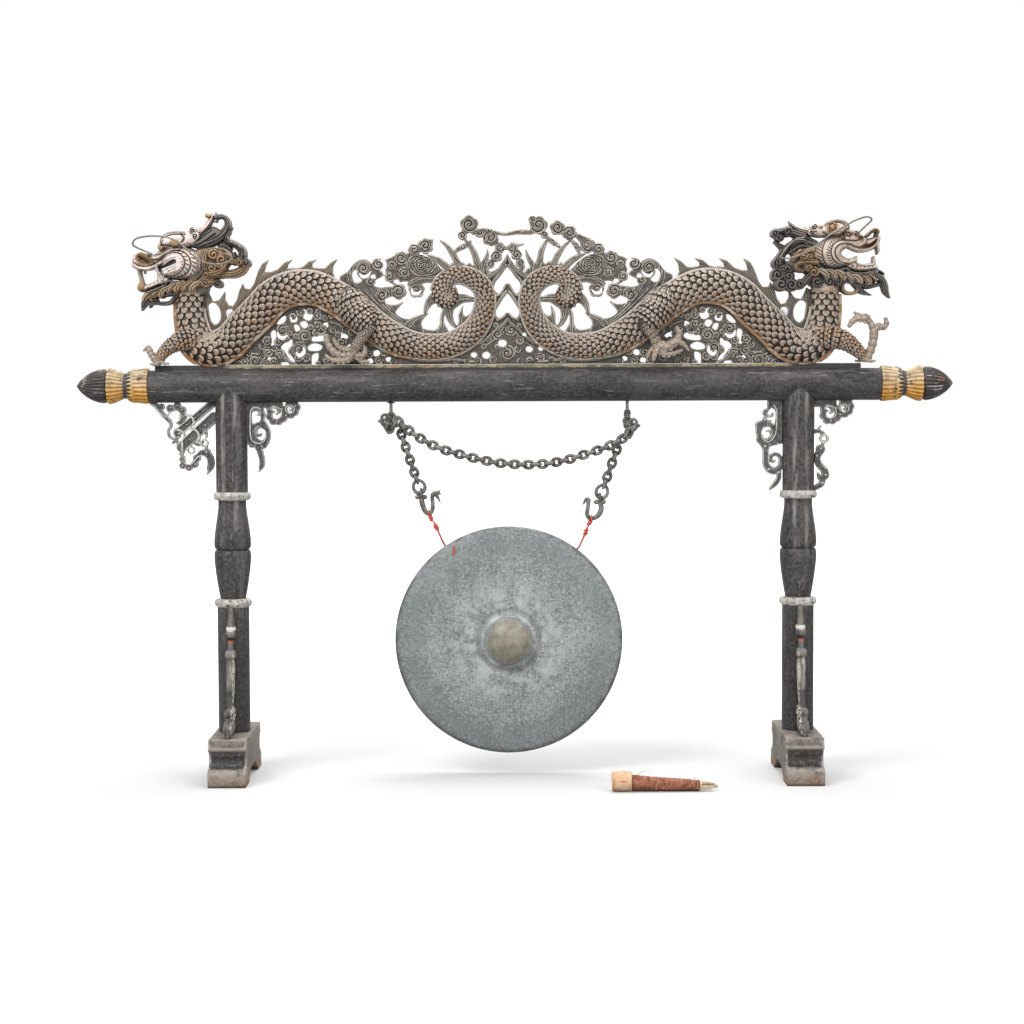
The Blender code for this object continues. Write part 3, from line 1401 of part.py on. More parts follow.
def depth_of_mass(profile):
    """Depth of the centre of mass of a solid turned from a closed (radius, depth) outline."""
    moment = volume = 0.0
    for (r1, y1), (r2, y2) in zip(profile, profile[1:] + profile[:1]):
        cross = r1 * y2 - r2 * y1
        volume += cross * (r1 + r2) / 6
        moment += cross * (2 * r1 * y1 + r1 * y2 + r2 * y1 + 2 * r2 * y2) / 24
    return moment / volume


def gong_face():
    """World Y of the flat face, which puts the gong's centre of mass in the hanging plane."""
    return POST_PLANE - depth_of_mass(gong_profile())


def on_gong(reach, angle, depth):
    turn = math.radians(angle)
    across, up = reach * math.sin(turn), reach * math.cos(turn)
    return Vector((GONG_CENTRE[0] + across, gong_face() + depth, GONG_CENTRE[1] + up))


def make_gong():
    profile = [(radius, -depth) for radius, depth in gong_profile()]
    gong = turned("gong", profile, GONG_STEPS)
    gong.rotation_euler = (math.radians(90), 0.0, 0.0)
    gong.location = (GONG_CENTRE[0], gong_face(), GONG_CENTRE[1])
    bake_place(gong)
    tools = []
    for rim_angle in (LEFT_RIM_ANGLE, RIGHT_RIM_ANGLE):
        inside = on_gong(GONG_RADIUS * 0.93, rim_angle, RIM_HOLE_DEPTH)
        outside = on_gong(GONG_RADIUS * 1.05, rim_angle, RIM_HOLE_DEPTH)
        tools.append(cylinder("rim_hole", inside, outside, CORD_HOLE_RADIUS, 8))
    for reach, angle in FACE_HOLES:
        front = on_gong(reach, angle, -GONG_WALL * 3)
        behind = on_gong(reach, angle, FACE_FALL + GONG_WALL * 4)
        tools.append(cylinder("face_hole", front, behind, CORD_HOLE_RADIUS, 8))
    finish_object(cut(gong, tools), bronze(), 30)


def face_depth(reach):
    """Depth of the gong's front behind its flat face, out on the sloping border."""
    return FACE_FALL * (reach - FLAT_RADIUS) / (GONG_RADIUS - 0.010 - FLAT_RADIUS)


def make_cord(suffix, bow, knot, rim_angle, play, face_holes):
    """A cord looped over a hook's bow, knotted, passed through the rim and, on one side, out and in at the face."""
    reach = HOOK_WIRE + CORD_RADIUS + play + LOOP_SLACK
    centre = at((bow[0], bow[1] - LOOP_SLACK))
    width = 2 * (reach + CORD_RADIUS)
    loop = oval("loop", centre, (0, 0, 1), (0, 1, 0), width, width, CORD_RADIUS, 4, 5)
    neck = [(*(centre - Vector((0, 0, reach))), CORD_RADIUS * 1.6), (*at(knot), CORD_RADIUS * 1.6)]
    route = [
        at(knot),
        on_gong(GONG_RADIUS * 1.030, rim_angle, RIM_HOLE_DEPTH - 0.004),
        on_gong(GONG_RADIUS * 1.012, rim_angle, RIM_HOLE_DEPTH),
        on_gong(GONG_RADIUS * 0.952, rim_angle, RIM_HOLE_DEPTH),
    ]
    if face_holes:
        (first_reach, first_angle), (second_reach, second_angle) = face_holes
        clear = CORD_RADIUS + GAP * 3
        route += [
            on_gong(first_reach, first_angle, RIM_HOLE_DEPTH - 0.010),
            on_gong(first_reach, first_angle, face_depth(first_reach) - clear),
            on_gong(second_reach, second_angle, face_depth(second_reach) - clear),
            on_gong(second_reach, second_angle, face_depth(second_reach) + GONG_WALL + CORD_STOP_RADIUS),
        ]
    stop = route[-1]
    pieces = [
        loop,
        tube("neck", neck, 1),
        tube("strand", [(*point, CORD_RADIUS) for point in route], 1),
        ball("knot", at(knot), CORD_KNOT_RADIUS, (1.0, 0.9, 1.15), 7, 5),
        ball("stop", stop, CORD_STOP_RADIUS, (0.8, 0.8, 0.8), 6, 4),
    ]
    finish_object(fused("cord_" + suffix, pieces), red_cord())


# Mallet


def make_mallet():
    head_end = MALLET_START + MALLET_HEAD_LENGTH
    radius = MALLET_HEAD_RADIUS
    bevel = 0.003
    head = turned(
        "mallet_head",
        [
            (0.0, MALLET_HEAD_LENGTH),
            (radius - bevel, MALLET_HEAD_LENGTH),
            (radius, MALLET_HEAD_LENGTH - bevel),
            (radius * 1.02, MALLET_HEAD_LENGTH * 0.55),
            (radius, bevel),
            (radius - bevel, 0.0),
            (radius * 0.80, 0.0),
            (radius * 0.78, bevel),
            (0.0, bevel),
        ],
        20,
    )
    head.rotation_euler = (0.0, math.radians(90), 0.0)
    head.location = (MALLET_START, MALLET_LINE, radius * 1.02 + GAP)
    finish_object(bake_place(head), straw_wood())
    start = head_end + GAP
    stations = [(start, MALLET_LINE, SLEEVE_RADIUS + GAP, SLEEVE_RADIUS)]
    for index in range(8):
        share = (index + 0.3) / 7.5
        wave = 0.0006 * (index % 2)
        here = SLEEVE_RADIUS + (SLEEVE_END_RADIUS - SLEEVE_RADIUS) * share**0.8 - wave
        height = SLEEVE_RADIUS + GAP if index == 0 else here + GAP
        stations.append((start + SLEEVE_LENGTH * share, MALLET_LINE, height, here))
    stations.append((start + SLEEVE_LENGTH, MALLET_LINE, stations[-1][2], SLEEVE_END_RADIUS))
    sleeve = tube("mallet_sleeve", stations, 3)
    finish_object(sleeve, russet_leather())
    make_tuft(start + SLEEVE_LENGTH + GAP)


def make_tuft(start):
    """The handle's bare core of split straw, tied to one thin slice and drawn in to a low tip."""
    axis_height = SLEEVE_END_RADIUS + GAP
    slice_radius = SLEEVE_END_RADIUS * 0.86
    slice_depth = 0.004
    disc_piece = cylinder(
        "mallet_tuft",
        (start, MALLET_LINE, axis_height),
        (start + slice_depth, MALLET_LINE, axis_height),
        slice_radius,
        16,
    )
    strands = []
    spacing = (slice_radius - STRAND_RADIUS * 1.4) / (TUFT_RINGS - 1)
    for ring in range(TUFT_RINGS):
        count = 1 if ring == 0 else 5 * ring
        for index in range(count):
            turn = 2 * math.pi * index / count + 0.35 * ring
            y = ring * spacing * math.cos(turn)
            z = ring * spacing * math.sin(turn)
            length = TUFT_LENGTH * (0.78 + 0.22 * math.cos(1.7 * index + ring))
            fall = -0.0045
            strands.append(
                cylinder(
                    "strand",
                    (start + slice_depth / 2, MALLET_LINE + y, axis_height + z),
                    (start + length, MALLET_LINE + y * 0.55, axis_height + fall + z * 0.5),
                    STRAND_RADIUS * 1.25,
                    4,
                    STRAND_RADIUS * 0.5,
                )
            )
    finish_object(fused("mallet_tuft", [disc_piece, joined_loose(strands)]), straw_fibre())


def make_hanging_gear():
    make_eyebolt("left", LEFT_SWING, False)
    make_eyebolt("right", RIGHT_SWING, True)
    make_bundle("left", LEFT_SWING, LEFT_SWAY, LEFT_FESTOON_END, LEFT_BAR_LEAN, -1)
    make_bundle("right", RIGHT_SWING, RIGHT_SWAY, RIGHT_FESTOON_END, RIGHT_BAR_LEAN, 1)
    make_festoon()
    make_drop("left", LEFT_SWAY, LEFT_RING_FOOT, LEFT_DROP_LINKS)
    make_drop("right", RIGHT_SWAY, RIGHT_RING_FOOT, RIGHT_DROP_LINKS)
    make_hook("left", LEFT_RING_FOOT, LEFT_BOW, LEFT_HOOK_ROUTE)
    make_hook("right", RIGHT_RING_FOOT, RIGHT_BOW, RIGHT_HOOK_ROUTE)
    make_gong()
    make_cord("left", LEFT_BOW, LEFT_KNOT, LEFT_RIM_ANGLE, LEFT_LOOP_PLAY, FACE_HOLES)
    make_cord("right", RIGHT_BOW, RIGHT_KNOT, RIGHT_RIM_ANGLE, RIGHT_LOOP_PLAY, ())


def set_joint_origins():
    """Puts each moving piece's origin on the axis that it turns about."""
    festoon_end = (LEFT_FESTOON_END[0], FESTOON_PLANE, LEFT_FESTOON_END[1])
    pivots = {
        "chain_bundle_left": at(LEFT_SWING),
        "chain_bundle_right": at(RIGHT_SWING),
        "chain_festoon": festoon_end,
        "drop_chain_left": at(LEFT_SWAY),
        "ring_left": at(LEFT_SWAY),
        "drop_chain_right": at(RIGHT_SWAY),
        "ring_right": at(RIGHT_SWAY),
        "hook_left": at(LEFT_RING_FOOT),
        "hook_right": at(RIGHT_RING_FOOT),
        "gong": at(LEFT_BOW),
        "cord_left": at(LEFT_BOW),
        "cord_right": at(LEFT_BOW),
    }
    for name, point in pivots.items():
        set_origin(bpy.data.objects[name], point)


def main():
    make_beam()
    for x, suffix in ((-POST_SPACING / 2, "left"), (POST_SPACING / 2, "right")):
        make_post("post_" + suffix, x)
        make_foot("foot_" + suffix, x)
        make_brace("brace_front_" + suffix, x, -1)
        make_brace("brace_back_" + suffix, x, 1)
    make_finial(-1, "left")
    make_finial(1, "right")
    make_brackets()
    make_strip()
    make_fretwork()
    for side, suffix, route in ((-1, "left", LEFT_WHISKER), (1, "right", RIGHT_WHISKER)):
        make_dragon(side, suffix)
        make_head(side, suffix)
        make_whisker(side, suffix, route)
    make_hanging_gear()
    make_mallet()
    set_joint_origins()


main()
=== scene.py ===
"""The dressed temple gong: a carved dragon stand, its hanging gear, a bossed gong and a mallet."""

import math
import random

import bmesh
import bpy
import numpy as np
from mathutils import Matrix, Vector, noise


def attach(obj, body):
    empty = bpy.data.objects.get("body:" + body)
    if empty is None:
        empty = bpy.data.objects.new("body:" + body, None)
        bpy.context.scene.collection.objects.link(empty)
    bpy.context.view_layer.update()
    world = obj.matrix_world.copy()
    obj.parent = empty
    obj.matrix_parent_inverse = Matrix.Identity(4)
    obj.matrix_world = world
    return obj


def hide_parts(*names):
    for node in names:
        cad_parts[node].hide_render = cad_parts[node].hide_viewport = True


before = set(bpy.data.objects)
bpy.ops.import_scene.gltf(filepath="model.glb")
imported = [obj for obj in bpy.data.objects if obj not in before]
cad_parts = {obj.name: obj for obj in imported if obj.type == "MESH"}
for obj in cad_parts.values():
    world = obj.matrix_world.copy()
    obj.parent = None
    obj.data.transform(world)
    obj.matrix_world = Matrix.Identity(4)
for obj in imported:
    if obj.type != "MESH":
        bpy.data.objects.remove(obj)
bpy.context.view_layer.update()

# Places shared with the plain model, in metres
PLANE = 0.044
SQUARE = 0.002608
RISE = 0.002625
CREST_LIFT = 0.0031
CREST_X = -0.018
BEAM_HEIGHT = 1.030
BEAM_RADIUS = 0.044
BEAM_TOP = BEAM_HEIGHT + BEAM_RADIUS
BEAM_LENGTH = 1.910
STRIP_MOSS = 1.0745
POST_X = 0.742
STAND = "stand"

# The drawing of the crest: a picture column and row for its axis and the beam's top
AXIS_COLUMN = 507.9
TOP_ROW = 366.8


# Small tools for numbers and routes


def lerp(a, b, share):
    return a + (b - a) * share


def flowing(points, per_leg=6, closed=False):
    """A smooth route through the points, which may have any number of columns."""
    points = np.array(points, float)
    count = len(points)
    legs = count if closed else count - 1
    made = []
    for leg in range(legs):
        if closed:
            a, b, c, d = (points[(leg + k) % count] for k in (-1, 0, 1, 2))
        else:
            b, c = points[leg], points[leg + 1]
            a = points[leg - 1] if leg else 2 * b - c
            d = points[leg + 2] if leg + 2 < count else 2 * c - b
        for step in range(per_leg):
            t = step / per_leg
            made.append(
                0.5 * (2 * b + (c - a) * t + (2 * a - 5 * b + 4 * c - d) * t * t + (3 * b - a - 3 * c + d) * t**3)
            )
    if not closed:
        made.append(points[-1])
    return np.array(made)


def evenly(route, count):
    """The route again, with its points the same distance apart."""
    route = np.asarray(route, float)
    steps = np.linalg.norm(np.diff(route[:, :3], axis=0), axis=1)
    reach = np.concatenate([[0.0], np.cumsum(steps)])
    wanted = np.linspace(0.0, reach[-1], count)
    return np.stack([np.interp(wanted, reach, route[:, k]) for k in range(route.shape[1])], axis=1)


def length_of(route):
    return float(np.linalg.norm(np.diff(np.asarray(route, float)[:, :3], axis=0), axis=1).sum())


def drawn(column, row):
    """A place in the picture as (out, up) in squares of the crest's drawing, on its left side."""
    return AXIS_COLUMN - column, TOP_ROW - row


def leaning(side, u):
    """How far out a point of the drawing lies: the right dragon's back sits a little closer in than the left one's."""
    return u - np.interp(u, [0, 50, 110, 215, 290, 320], [0, 1.2, 2.2, 3.0, 1.0, 0]) if side > 0 else u


def crest(side, u, w, forward=0.0):
    """The world place of a point in the crest's drawing. Nearer things are drawn larger, which this takes back."""
    share = 1 - forward * SQUARE / 5.8
    u = leaning(side, u)
    return np.array(
        [CREST_X + side * u * share * SQUARE, PLANE - forward * SQUARE, BEAM_TOP + CREST_LIFT + ((w + 23) * share - 23) * RISE]
    )


def unit(vector):
    vector = np.asarray(vector, float)
    return vector / max(np.linalg.norm(vector), 1e-12)


# Shapes


class Pile:
    """Closed shapes collected into one mesh, marked at each point: above nought for pale rubbing, below nought for
    painted shade.
    """

    def __init__(self):
        self.points = []
        self.faces = []
        self.wear_and_shade = []
        self.tint = []
        self.count = 0

    def add(self, points, faces, wear_and_shade=0.0, tint=0.0):
        points = np.asarray(points, float).reshape(-1, 3)
        self.points.append(points)
        self.faces += [tuple(self.count + i for i in face) for face in faces]
        self.wear_and_shade.append(np.broadcast_to(np.asarray(wear_and_shade, float), (len(points),)).copy())
        self.tint.append(np.broadcast_to(np.asarray(tint, float), (len(points),)).copy())
        self.count += len(points)

    def sweep(self, route, wide, deep=None, sides=12, toward=(0, 1, 0), flutes=0, flute_depth=0.0, twist=0.0,
              wear_and_shade=0.0, tint=0.0, round_ends=True, closed=False):
        """A solid along a route, with an oval or fluted section."""
        route = np.asarray(route, float)
        wide = np.broadcast_to(np.asarray(wide, float), (len(route),)).copy()
        deep = wide.copy() if deep is None else np.broadcast_to(np.asarray(deep, float), (len(route),)).copy()
        along, side, back = frames(route, toward, closed)
        if round_ends and not closed:
            route, wide, deep, along, side, back = rounded(route, wide, deep, along, side, back)
        stations = len(route)
        turn = np.linspace(0, 2 * math.pi, sides, endpoint=False)
        run = np.concatenate([[0.0], np.cumsum(np.linalg.norm(np.diff(route, axis=0), axis=1))])
        angle = turn[None, :] + twist * run[:, None]
        draw = np.ones((stations, sides))
        groove = np.zeros((stations, sides))
        if flutes:
            groove = 0.5 - 0.5 * np.cos(flutes * (turn[None, :]))
            groove = np.broadcast_to(groove, (stations, sides))
            draw = 1 - flute_depth * groove
        points = (
            route[:, None, :]
            + side[:, None, :] * (wide[:, None] * np.cos(angle) * draw)[:, :, None]
            + back[:, None, :] * (deep[:, None] * np.sin(angle) * draw)[:, :, None]
        ).reshape(-1, 3)
        faces = []
        for i in range(stations if closed else stations - 1):
            j = (i + 1) % stations
            for k in range(sides):
                n = (k + 1) % sides
                faces.append((i * sides + k, i * sides + n, j * sides + n, j * sides + k))
        # flute crests are marked pale for rubbing and flute grooves dark, as painted shade
        worn_and_shaded = (wear_and_shade + (0.5 - groove) * (1.2 if flutes else 0.0)).reshape(-1)
        if not closed:
            ends = [route[0], route[-1]]
            first, last = len(points), len(points) + 1
            points = np.vstack([points, ends])
            worn_and_shaded = np.append(worn_and_shaded, [wear_and_shade, wear_and_shade])
            tail = (stations - 1) * sides
            for k in range(sides):
                n = (k + 1) % sides
                faces.append((first, n, k))
                faces.append((last, tail + k, tail + n))
        self.add(points, faces, worn_and_shaded, tint)

    def turned(self, profile, origin, axis, steps=48, wave=None, wear_and_shade=0.0, tint=0.0):
        """A solid turned about an axis from (radius, height) pairs that start and end on it. wave(angle, height) scales the radius."""
        axis = unit(axis)
        guide = np.array([0.0, 0.0, 1.0]) if abs(axis[2]) < 0.9 else np.array([1.0, 0.0, 0.0])
        side = unit(np.cross(guide, axis))
        other = np.cross(axis, side)
        turn = np.linspace(0, 2 * math.pi, steps, endpoint=False)
        points, rows = [], []
        for radius, height in profile:
            if radius < 1e-7:
                rows.append([len(points)] * steps)
                points.append(origin + axis * height)
                continue
            row = []
            for angle in turn:
                here = radius * (wave(angle, height) if wave else 1.0)
                row.append(len(points))
                points.append(origin + axis * height + (side * math.cos(angle) + other * math.sin(angle)) * here)
            rows.append(row)
        faces = []
        for low, high in zip(rows, rows[1:]):
            for k in range(steps):
                n = (k + 1) % steps
                face = (low[k], low[n], high[n], high[k])
                face = tuple(dict.fromkeys(face))
                if len(face) > 2:
                    faces.append(face)
        self.add(points, faces, wear_and_shade, tint)

    def made(self, name, paint, crease=40):
        mesh = bpy.data.meshes.new(name)
        points = np.concatenate(self.points)
        mesh.from_pydata(points.tolist(), [], self.faces)
        for kind, values in (("wear_and_shade", self.wear_and_shade), ("tint", self.tint)):
            layer = mesh.attributes.new(kind, "FLOAT", "POINT")
            layer.data.foreach_set("value", np.concatenate(values).astype(np.float32))
        return shown(name, mesh, paint, crease)


def shown(name, mesh, paint, crease=40):
    """Puts a mesh in the scene as a smooth piece, creased where it turns sharply."""
    mesh.materials.clear()
    mesh.materials.append(paint)
    mesh.update()
    mesh.shade_smooth()
    mesh.set_sharp_from_angle(angle=math.radians(crease))
    obj = bpy.data.objects.new(name, mesh)
    bpy.context.scene.collection.objects.link(obj)
    return obj


def frames(route, toward, closed=False):
    """Directions along, across and into a route at each of its points."""
    if closed:
        along = np.roll(route, -1, axis=0) - np.roll(route, 1, axis=0)
    else:
        along = np.gradient(route, axis=0)
    along = along / np.maximum(np.linalg.norm(along, axis=1), 1e-12)[:, None]
    toward = unit(toward)
    back = np.zeros_like(along)
    before = toward
    for i, t in enumerate(along):
        guide = toward if abs(t @ toward) < 0.85 else before
        flat = guide - (guide @ t) * t
        if np.linalg.norm(flat) < 1e-3:
            flat = np.cross(t, [0.31, 0.17, 0.93])
        back[i] = unit(flat)
        before = back[i]
    side = np.cross(back, along)
    return along, side, back


def rounded(route, wide, deep, along, side, back):
    """Adds the stations that round off both ends."""
    turns = np.radians([82.0, 58.0, 30.0])
    start = min(wide[0], deep[0])
    end = min(wide[-1], deep[-1])
    first = [route[0] - along[0] * start * math.sin(a) for a in turns]
    last = [route[-1] + along[-1] * end * math.sin(a) for a in turns[::-1]]
    shrink = np.cos(turns)
    return (
        np.vstack([first, route, last]),
        np.concatenate([wide[0] * shrink, wide, wide[-1] * shrink[::-1]]),
        np.concatenate([deep[0] * shrink, deep, deep[-1] * shrink[::-1]]),
        np.vstack([[along[0]] * 3, along, [along[-1]] * 3]),
        np.vstack([[side[0]] * 3, side, [side[-1]] * 3]),
        np.vstack([[back[0]] * 3, back, [back[-1]] * 3]),
    )


class Relief:
    """A board carved alike on both faces: shapes in a drawing, each with its own crown, pierced and grooved."""

    def __init__(self, low, high, step):
        us = np.arange(low[0], high[0] + step, step)
        ws = np.arange(low[1], high[1] + step, step)
        self.step = step
        self.u, self.w = np.meshgrid(us, ws, indexing="ij")
        self.field = np.full(self.u.shape, -9.0)
        self.rise = np.zeros(self.u.shape)
        self.tint = np.zeros(self.u.shape)

    def disc(self, u, w, radius, lobes=0, depth=0.12, turn=0.0, tall=1.0):
        du, dw = self.u - u, (self.w - w) / tall
        reach = radius
        if lobes:
            reach = radius * (1 - depth + depth * np.abs(np.cos(lobes / 2 * (np.arctan2(dw, du) + turn))))
        return reach - np.hypot(du, dw)

    def stroke(self, route, widths):
        """Depth inside a ribbon along a smooth route, given its full widths."""
        rows = [(*point, width) for point, width in zip(route, np.broadcast_to(widths, (len(route),)))]
        rows = flowing(rows, 5)
        best = np.full(self.u.shape, -99.0)
        reach = rows[:, 2].max() / 2 + 6 * self.step + 4
        low, high = rows[:, :2].min(0) - reach, rows[:, :2].max(0) + reach
        near = (self.u > low[0]) & (self.u < high[0]) & (self.w > low[1]) & (self.w < high[1])
        u, w = self.u[near], self.w[near]
        found = np.full(u.shape, -99.0)
        for (au, aw, ar), (bu, bw, br) in zip(rows, rows[1:]):
            du, dw = bu - au, bw - aw
            size = max(du * du + dw * dw, 1e-9)
            t = np.clip(((u - au) * du + (w - aw) * dw) / size, 0, 1)
            found = np.maximum(found, (ar + (br - ar) * t) / 2 - np.hypot(u - au - du * t, w - aw - dw * t))
        best[near] = found
        return best

    def patch(self, loop, soften=True):
        """Depth inside a closed outline."""
        loop = flowing(loop, 4, closed=True) if soften else np.array(loop, float)
        distance = np.full(self.u.shape, 1e9)
        inside = np.zeros(self.u.shape, bool)
        for (au, aw), (bu, bw) in zip(loop, np.roll(loop, -1, axis=0)):
            du, dw = bu - au, bw - aw
            size = max(du * du + dw * dw, 1e-9)
            t = np.clip(((self.u - au) * du + (self.w - aw) * dw) / size, 0, 1)
            distance = np.minimum(distance, np.hypot(self.u - au - du * t, self.w - aw - dw * t))
            if aw != bw:
                crossing = ((aw > self.w) != (bw > self.w)) & (self.u < du * (self.w - aw) / (bw - aw) + au)
                inside ^= crossing
        return np.where(inside, distance, -distance)

    def join(self, field, level=0.5, crown=0.5, rounding=3.0, tint=None):
        """Adds a shape whose face rises from its edge to level + crown."""
        inside = field > 0
        dome = level + crown * np.sqrt(1 - (1 - np.clip(field / rounding, 0, 1)) ** 2)
        higher = inside & (dome > self.rise)
        self.rise = np.where(higher, dome, self.rise)
        if tint is not None:
            self.tint = np.where(higher, tint, self.tint)
        self.field = np.maximum(self.field, field)

    def pierce(self, field):
        self.field = np.minimum(self.field, -field)

    def groove(self, route, width, depth):
        """Cuts a soft groove, or raises a ridge where depth is below nothing."""
        field = self.stroke(route, 0.0)
        self.rise = self.rise - depth * np.exp(-((np.minimum(field, 0) / width) ** 2))

    def spiral(self, u, w, radius, turns=1.3, start=0.0, hand=1, width=0.7, depth=0.35, inner=0.22):
        route = []
        for k in range(15):
            t = k / 14
            reach = radius * lerp(1.0, inner, t)
            angle = math.radians(start) + hand * 2 * math.pi * turns * t
            route.append((u + reach * math.cos(angle), w + reach * math.sin(angle)))
        self.groove(route, width, depth)

    def cloud(self, u, w, radius, start=0.0, hand=1, level=0.45, crown=0.4, lobes=0, tint=None):
        """A rolled cloud: a crowned disc with a spiral groove and a raised eye."""
        self.join(self.disc(u, w, radius, lobes, 0.14, math.radians(start)), level, crown, radius * 0.55, tint)
        if radius > 3.4:
            self.spiral(u, w, radius * 0.72, 1.15, start, hand, max(0.55, radius * 0.09), 0.42)

    def board(self, name, origin, u_dir, w_dir, deep_dir, half, paint, lip=0.4, edge=1.6, crease=50, rubbed=2.4, rim=0.5,
              lean=False):
        """Makes the mesh. half is half the greatest thickness, in metres."""
        self.field[0, :] = self.field[-1, :] = self.field[:, 0] = self.field[:, -1] = -9.0
        inside = self.field > 0
        tidy = np.sqrt(1 - (1 - np.clip(self.field / edge, 0, 1)) ** 2)
        height = lip + (np.clip(self.rise, 0.05, 1.0) - lip * 0.6) * tidy
        height = np.clip(height, lip * 0.5, 1.0)
        padded = np.where(inside, height, lip)
        bend = (
            np.roll(padded, 1, 0) + np.roll(padded, -1, 0) + np.roll(padded, 1, 1) + np.roll(padded, -1, 1) - 4 * padded
        )
        # convex ridges are marked pale for rubbing; valleys and hollows are marked dark, a painted shade
        worn_and_shaded = np.clip(-bend * rubbed / self.step**2, -1, 1) + rim * np.exp(-((self.field / 0.7) ** 2))
        number = np.full(self.u.shape, -1, int)
        flat, high, wear_and_shade, tint = [], [], [], []
        for i, j in zip(*np.nonzero(inside)):
            number[i, j] = len(flat)
            flat.append((self.u[i, j], self.w[i, j]))
            high.append(height[i, j])
            wear_and_shade.append(worn_and_shaded[i, j])
            tint.append(self.tint[i, j])
        edges = {}

        def edge_point(a, b):
            key = (a, b) if a < b else (b, a)
            if key not in edges:
                fa, fb = self.field[a], self.field[b]
                share = min(max(fa / (fa - fb), 0.06), 0.94)
                edges[key] = len(flat)
                flat.append((lerp(self.u[a], self.u[b], share), lerp(self.w[a], self.w[b], share)))
                high.append(lip)
                inner = a if fa > 0 else b
                wear_and_shade.append(0.3 + rim * 0.6)
                tint.append(self.tint[inner])
            return edges[key]

        faces, walls = [], []
        busy = inside[:-1, :-1] | inside[1:, :-1] | inside[1:, 1:] | inside[:-1, 1:]
        for i, j in zip(*np.nonzero(busy)):
            corners = [(i, j), (i + 1, j), (i + 1, j + 1), (i, j + 1)]
            face, cuts = [], []
            for a, b in zip(corners, corners[1:] + corners[:1]):
                if inside[a]:
                    face.append(number[a])
                if inside[a] != inside[b]:
                    cut = edge_point(a, b)
                    face.append(cut)
                    cuts.append((cut, inside[a]))
            faces.append(tuple(face))
            for (one, leaving), (two, _) in zip(cuts, cuts[1:] + cuts[:1]):
                if leaving:
                    walls.append((one, two))
        flat = np.array(flat)
        if lean:
            flat[:, 0] = leaning(1, flat[:, 0])
        high = np.array(high)[:, None] * half
        base = np.asarray(origin, float) + flat[:, :1] * np.asarray(u_dir, float) + flat[:, 1:] * np.asarray(w_dir, float)
        deep = np.asarray(deep_dir, float)
        count = len(flat)
        points = np.vstack([base + high * deep, base - high * deep])
        back = [tuple(count + k for k in reversed(face)) for face in faces]
        sides = [(two, one, count + one, count + two) for one, two in walls]
        every = faces + back + sides
        if np.cross(u_dir, w_dir) @ deep < 0:
            every = [tuple(reversed(face)) for face in every]
        pile = Pile()
        pile.add(points, every, np.tile(wear_and_shade, 2), np.tile(tint, 2))
        return pile.made(name, paint, crease)

    def crest_board(self, name, side, half, paint, **more):
        return self.board(
            name, (CREST_X, PLANE, BEAM_TOP + CREST_LIFT), (side * SQUARE, 0, 0), (0, 0, RISE), (0, -1, 0), half, paint,
            lean=side > 0, **more
        )


# Geometry Nodes tree that lays one small shape at many places


def laying_tree():
    tree = bpy.data.node_groups.new("laid_pieces", "GeometryNodeTree")
    face = tree.interface
    face.new_socket("Places", in_out="INPUT", socket_type="NodeSocketGeometry")
    face.new_socket("Piece", in_out="INPUT", socket_type="NodeSocketObject")
    face.new_socket("Finish", in_out="INPUT", socket_type="NodeSocketMaterial")
    face.new_socket("Unevenness", in_out="INPUT", socket_type="NodeSocketFloat")
    face.new_socket("Seed", in_out="INPUT", socket_type="NodeSocketInt")
    face.new_socket("Geometry", in_out="OUTPUT", socket_type="NodeSocketGeometry")
    nodes, links = tree.nodes, tree.links
    given = nodes.new("NodeGroupInput")
    result = nodes.new("NodeGroupOutput")
    piece = nodes.new("GeometryNodeObjectInfo")
    lay = nodes.new("GeometryNodeInstanceOnPoints")
    turn = nodes.new("GeometryNodeInputNamedAttribute")
    turn.data_type = "FLOAT_VECTOR"
    turn.inputs["Name"].default_value = "turn"
    size = nodes.new("GeometryNodeInputNamedAttribute")
    size.data_type = "FLOAT_VECTOR"
    size.inputs["Name"].default_value = "size"
    euler = nodes.new("FunctionNodeEulerToRotation")
    chance = nodes.new("FunctionNodeRandomValue")
    spread = nodes.new("ShaderNodeMath")
    spread.operation = "MULTIPLY_ADD"
    spread.inputs[2].default_value = 1.0
    scaled = nodes.new("ShaderNodeVectorMath")
    scaled.operation = "SCALE"
    real = nodes.new("GeometryNodeRealizeInstances")
    finish = nodes.new("GeometryNodeSetMaterial")
    low, high = [s for s in chance.inputs if s.type == "VALUE" and s.name in ("Min", "Max")][:2]
    low.default_value, high.default_value = -1.0, 1.0
    random_value = [s for s in chance.outputs if s.type == "VALUE"][0]
    links.new(given.outputs["Seed"], chance.inputs["Seed"])
    links.new(random_value, spread.inputs[0])
    links.new(given.outputs["Unevenness"], spread.inputs[1])
    links.new(size.outputs["Attribute"], scaled.inputs[0])
    links.new(spread.outputs[0], scaled.inputs["Scale"])
    links.new(given.outputs["Piece"], piece.inputs["Object"])
    links.new(given.outputs["Places"], lay.inputs["Points"])
    links.new(piece.outputs["Geometry"], lay.inputs["Instance"])
    links.new(turn.outputs["Attribute"], euler.inputs[0])
    links.new(euler.outputs[0], lay.inputs["Rotation"])
    links.new(scaled.outputs[0], lay.inputs["Scale"])
    links.new(lay.outputs["Instances"], real.inputs["Geometry"])
    links.new(real.outputs["Geometry"], finish.inputs["Geometry"])
    links.new(given.outputs["Finish"], finish.inputs["Material"])
    links.new(finish.outputs["Geometry"], result.inputs["Geometry"])
    return tree


LAYING = laying_tree()


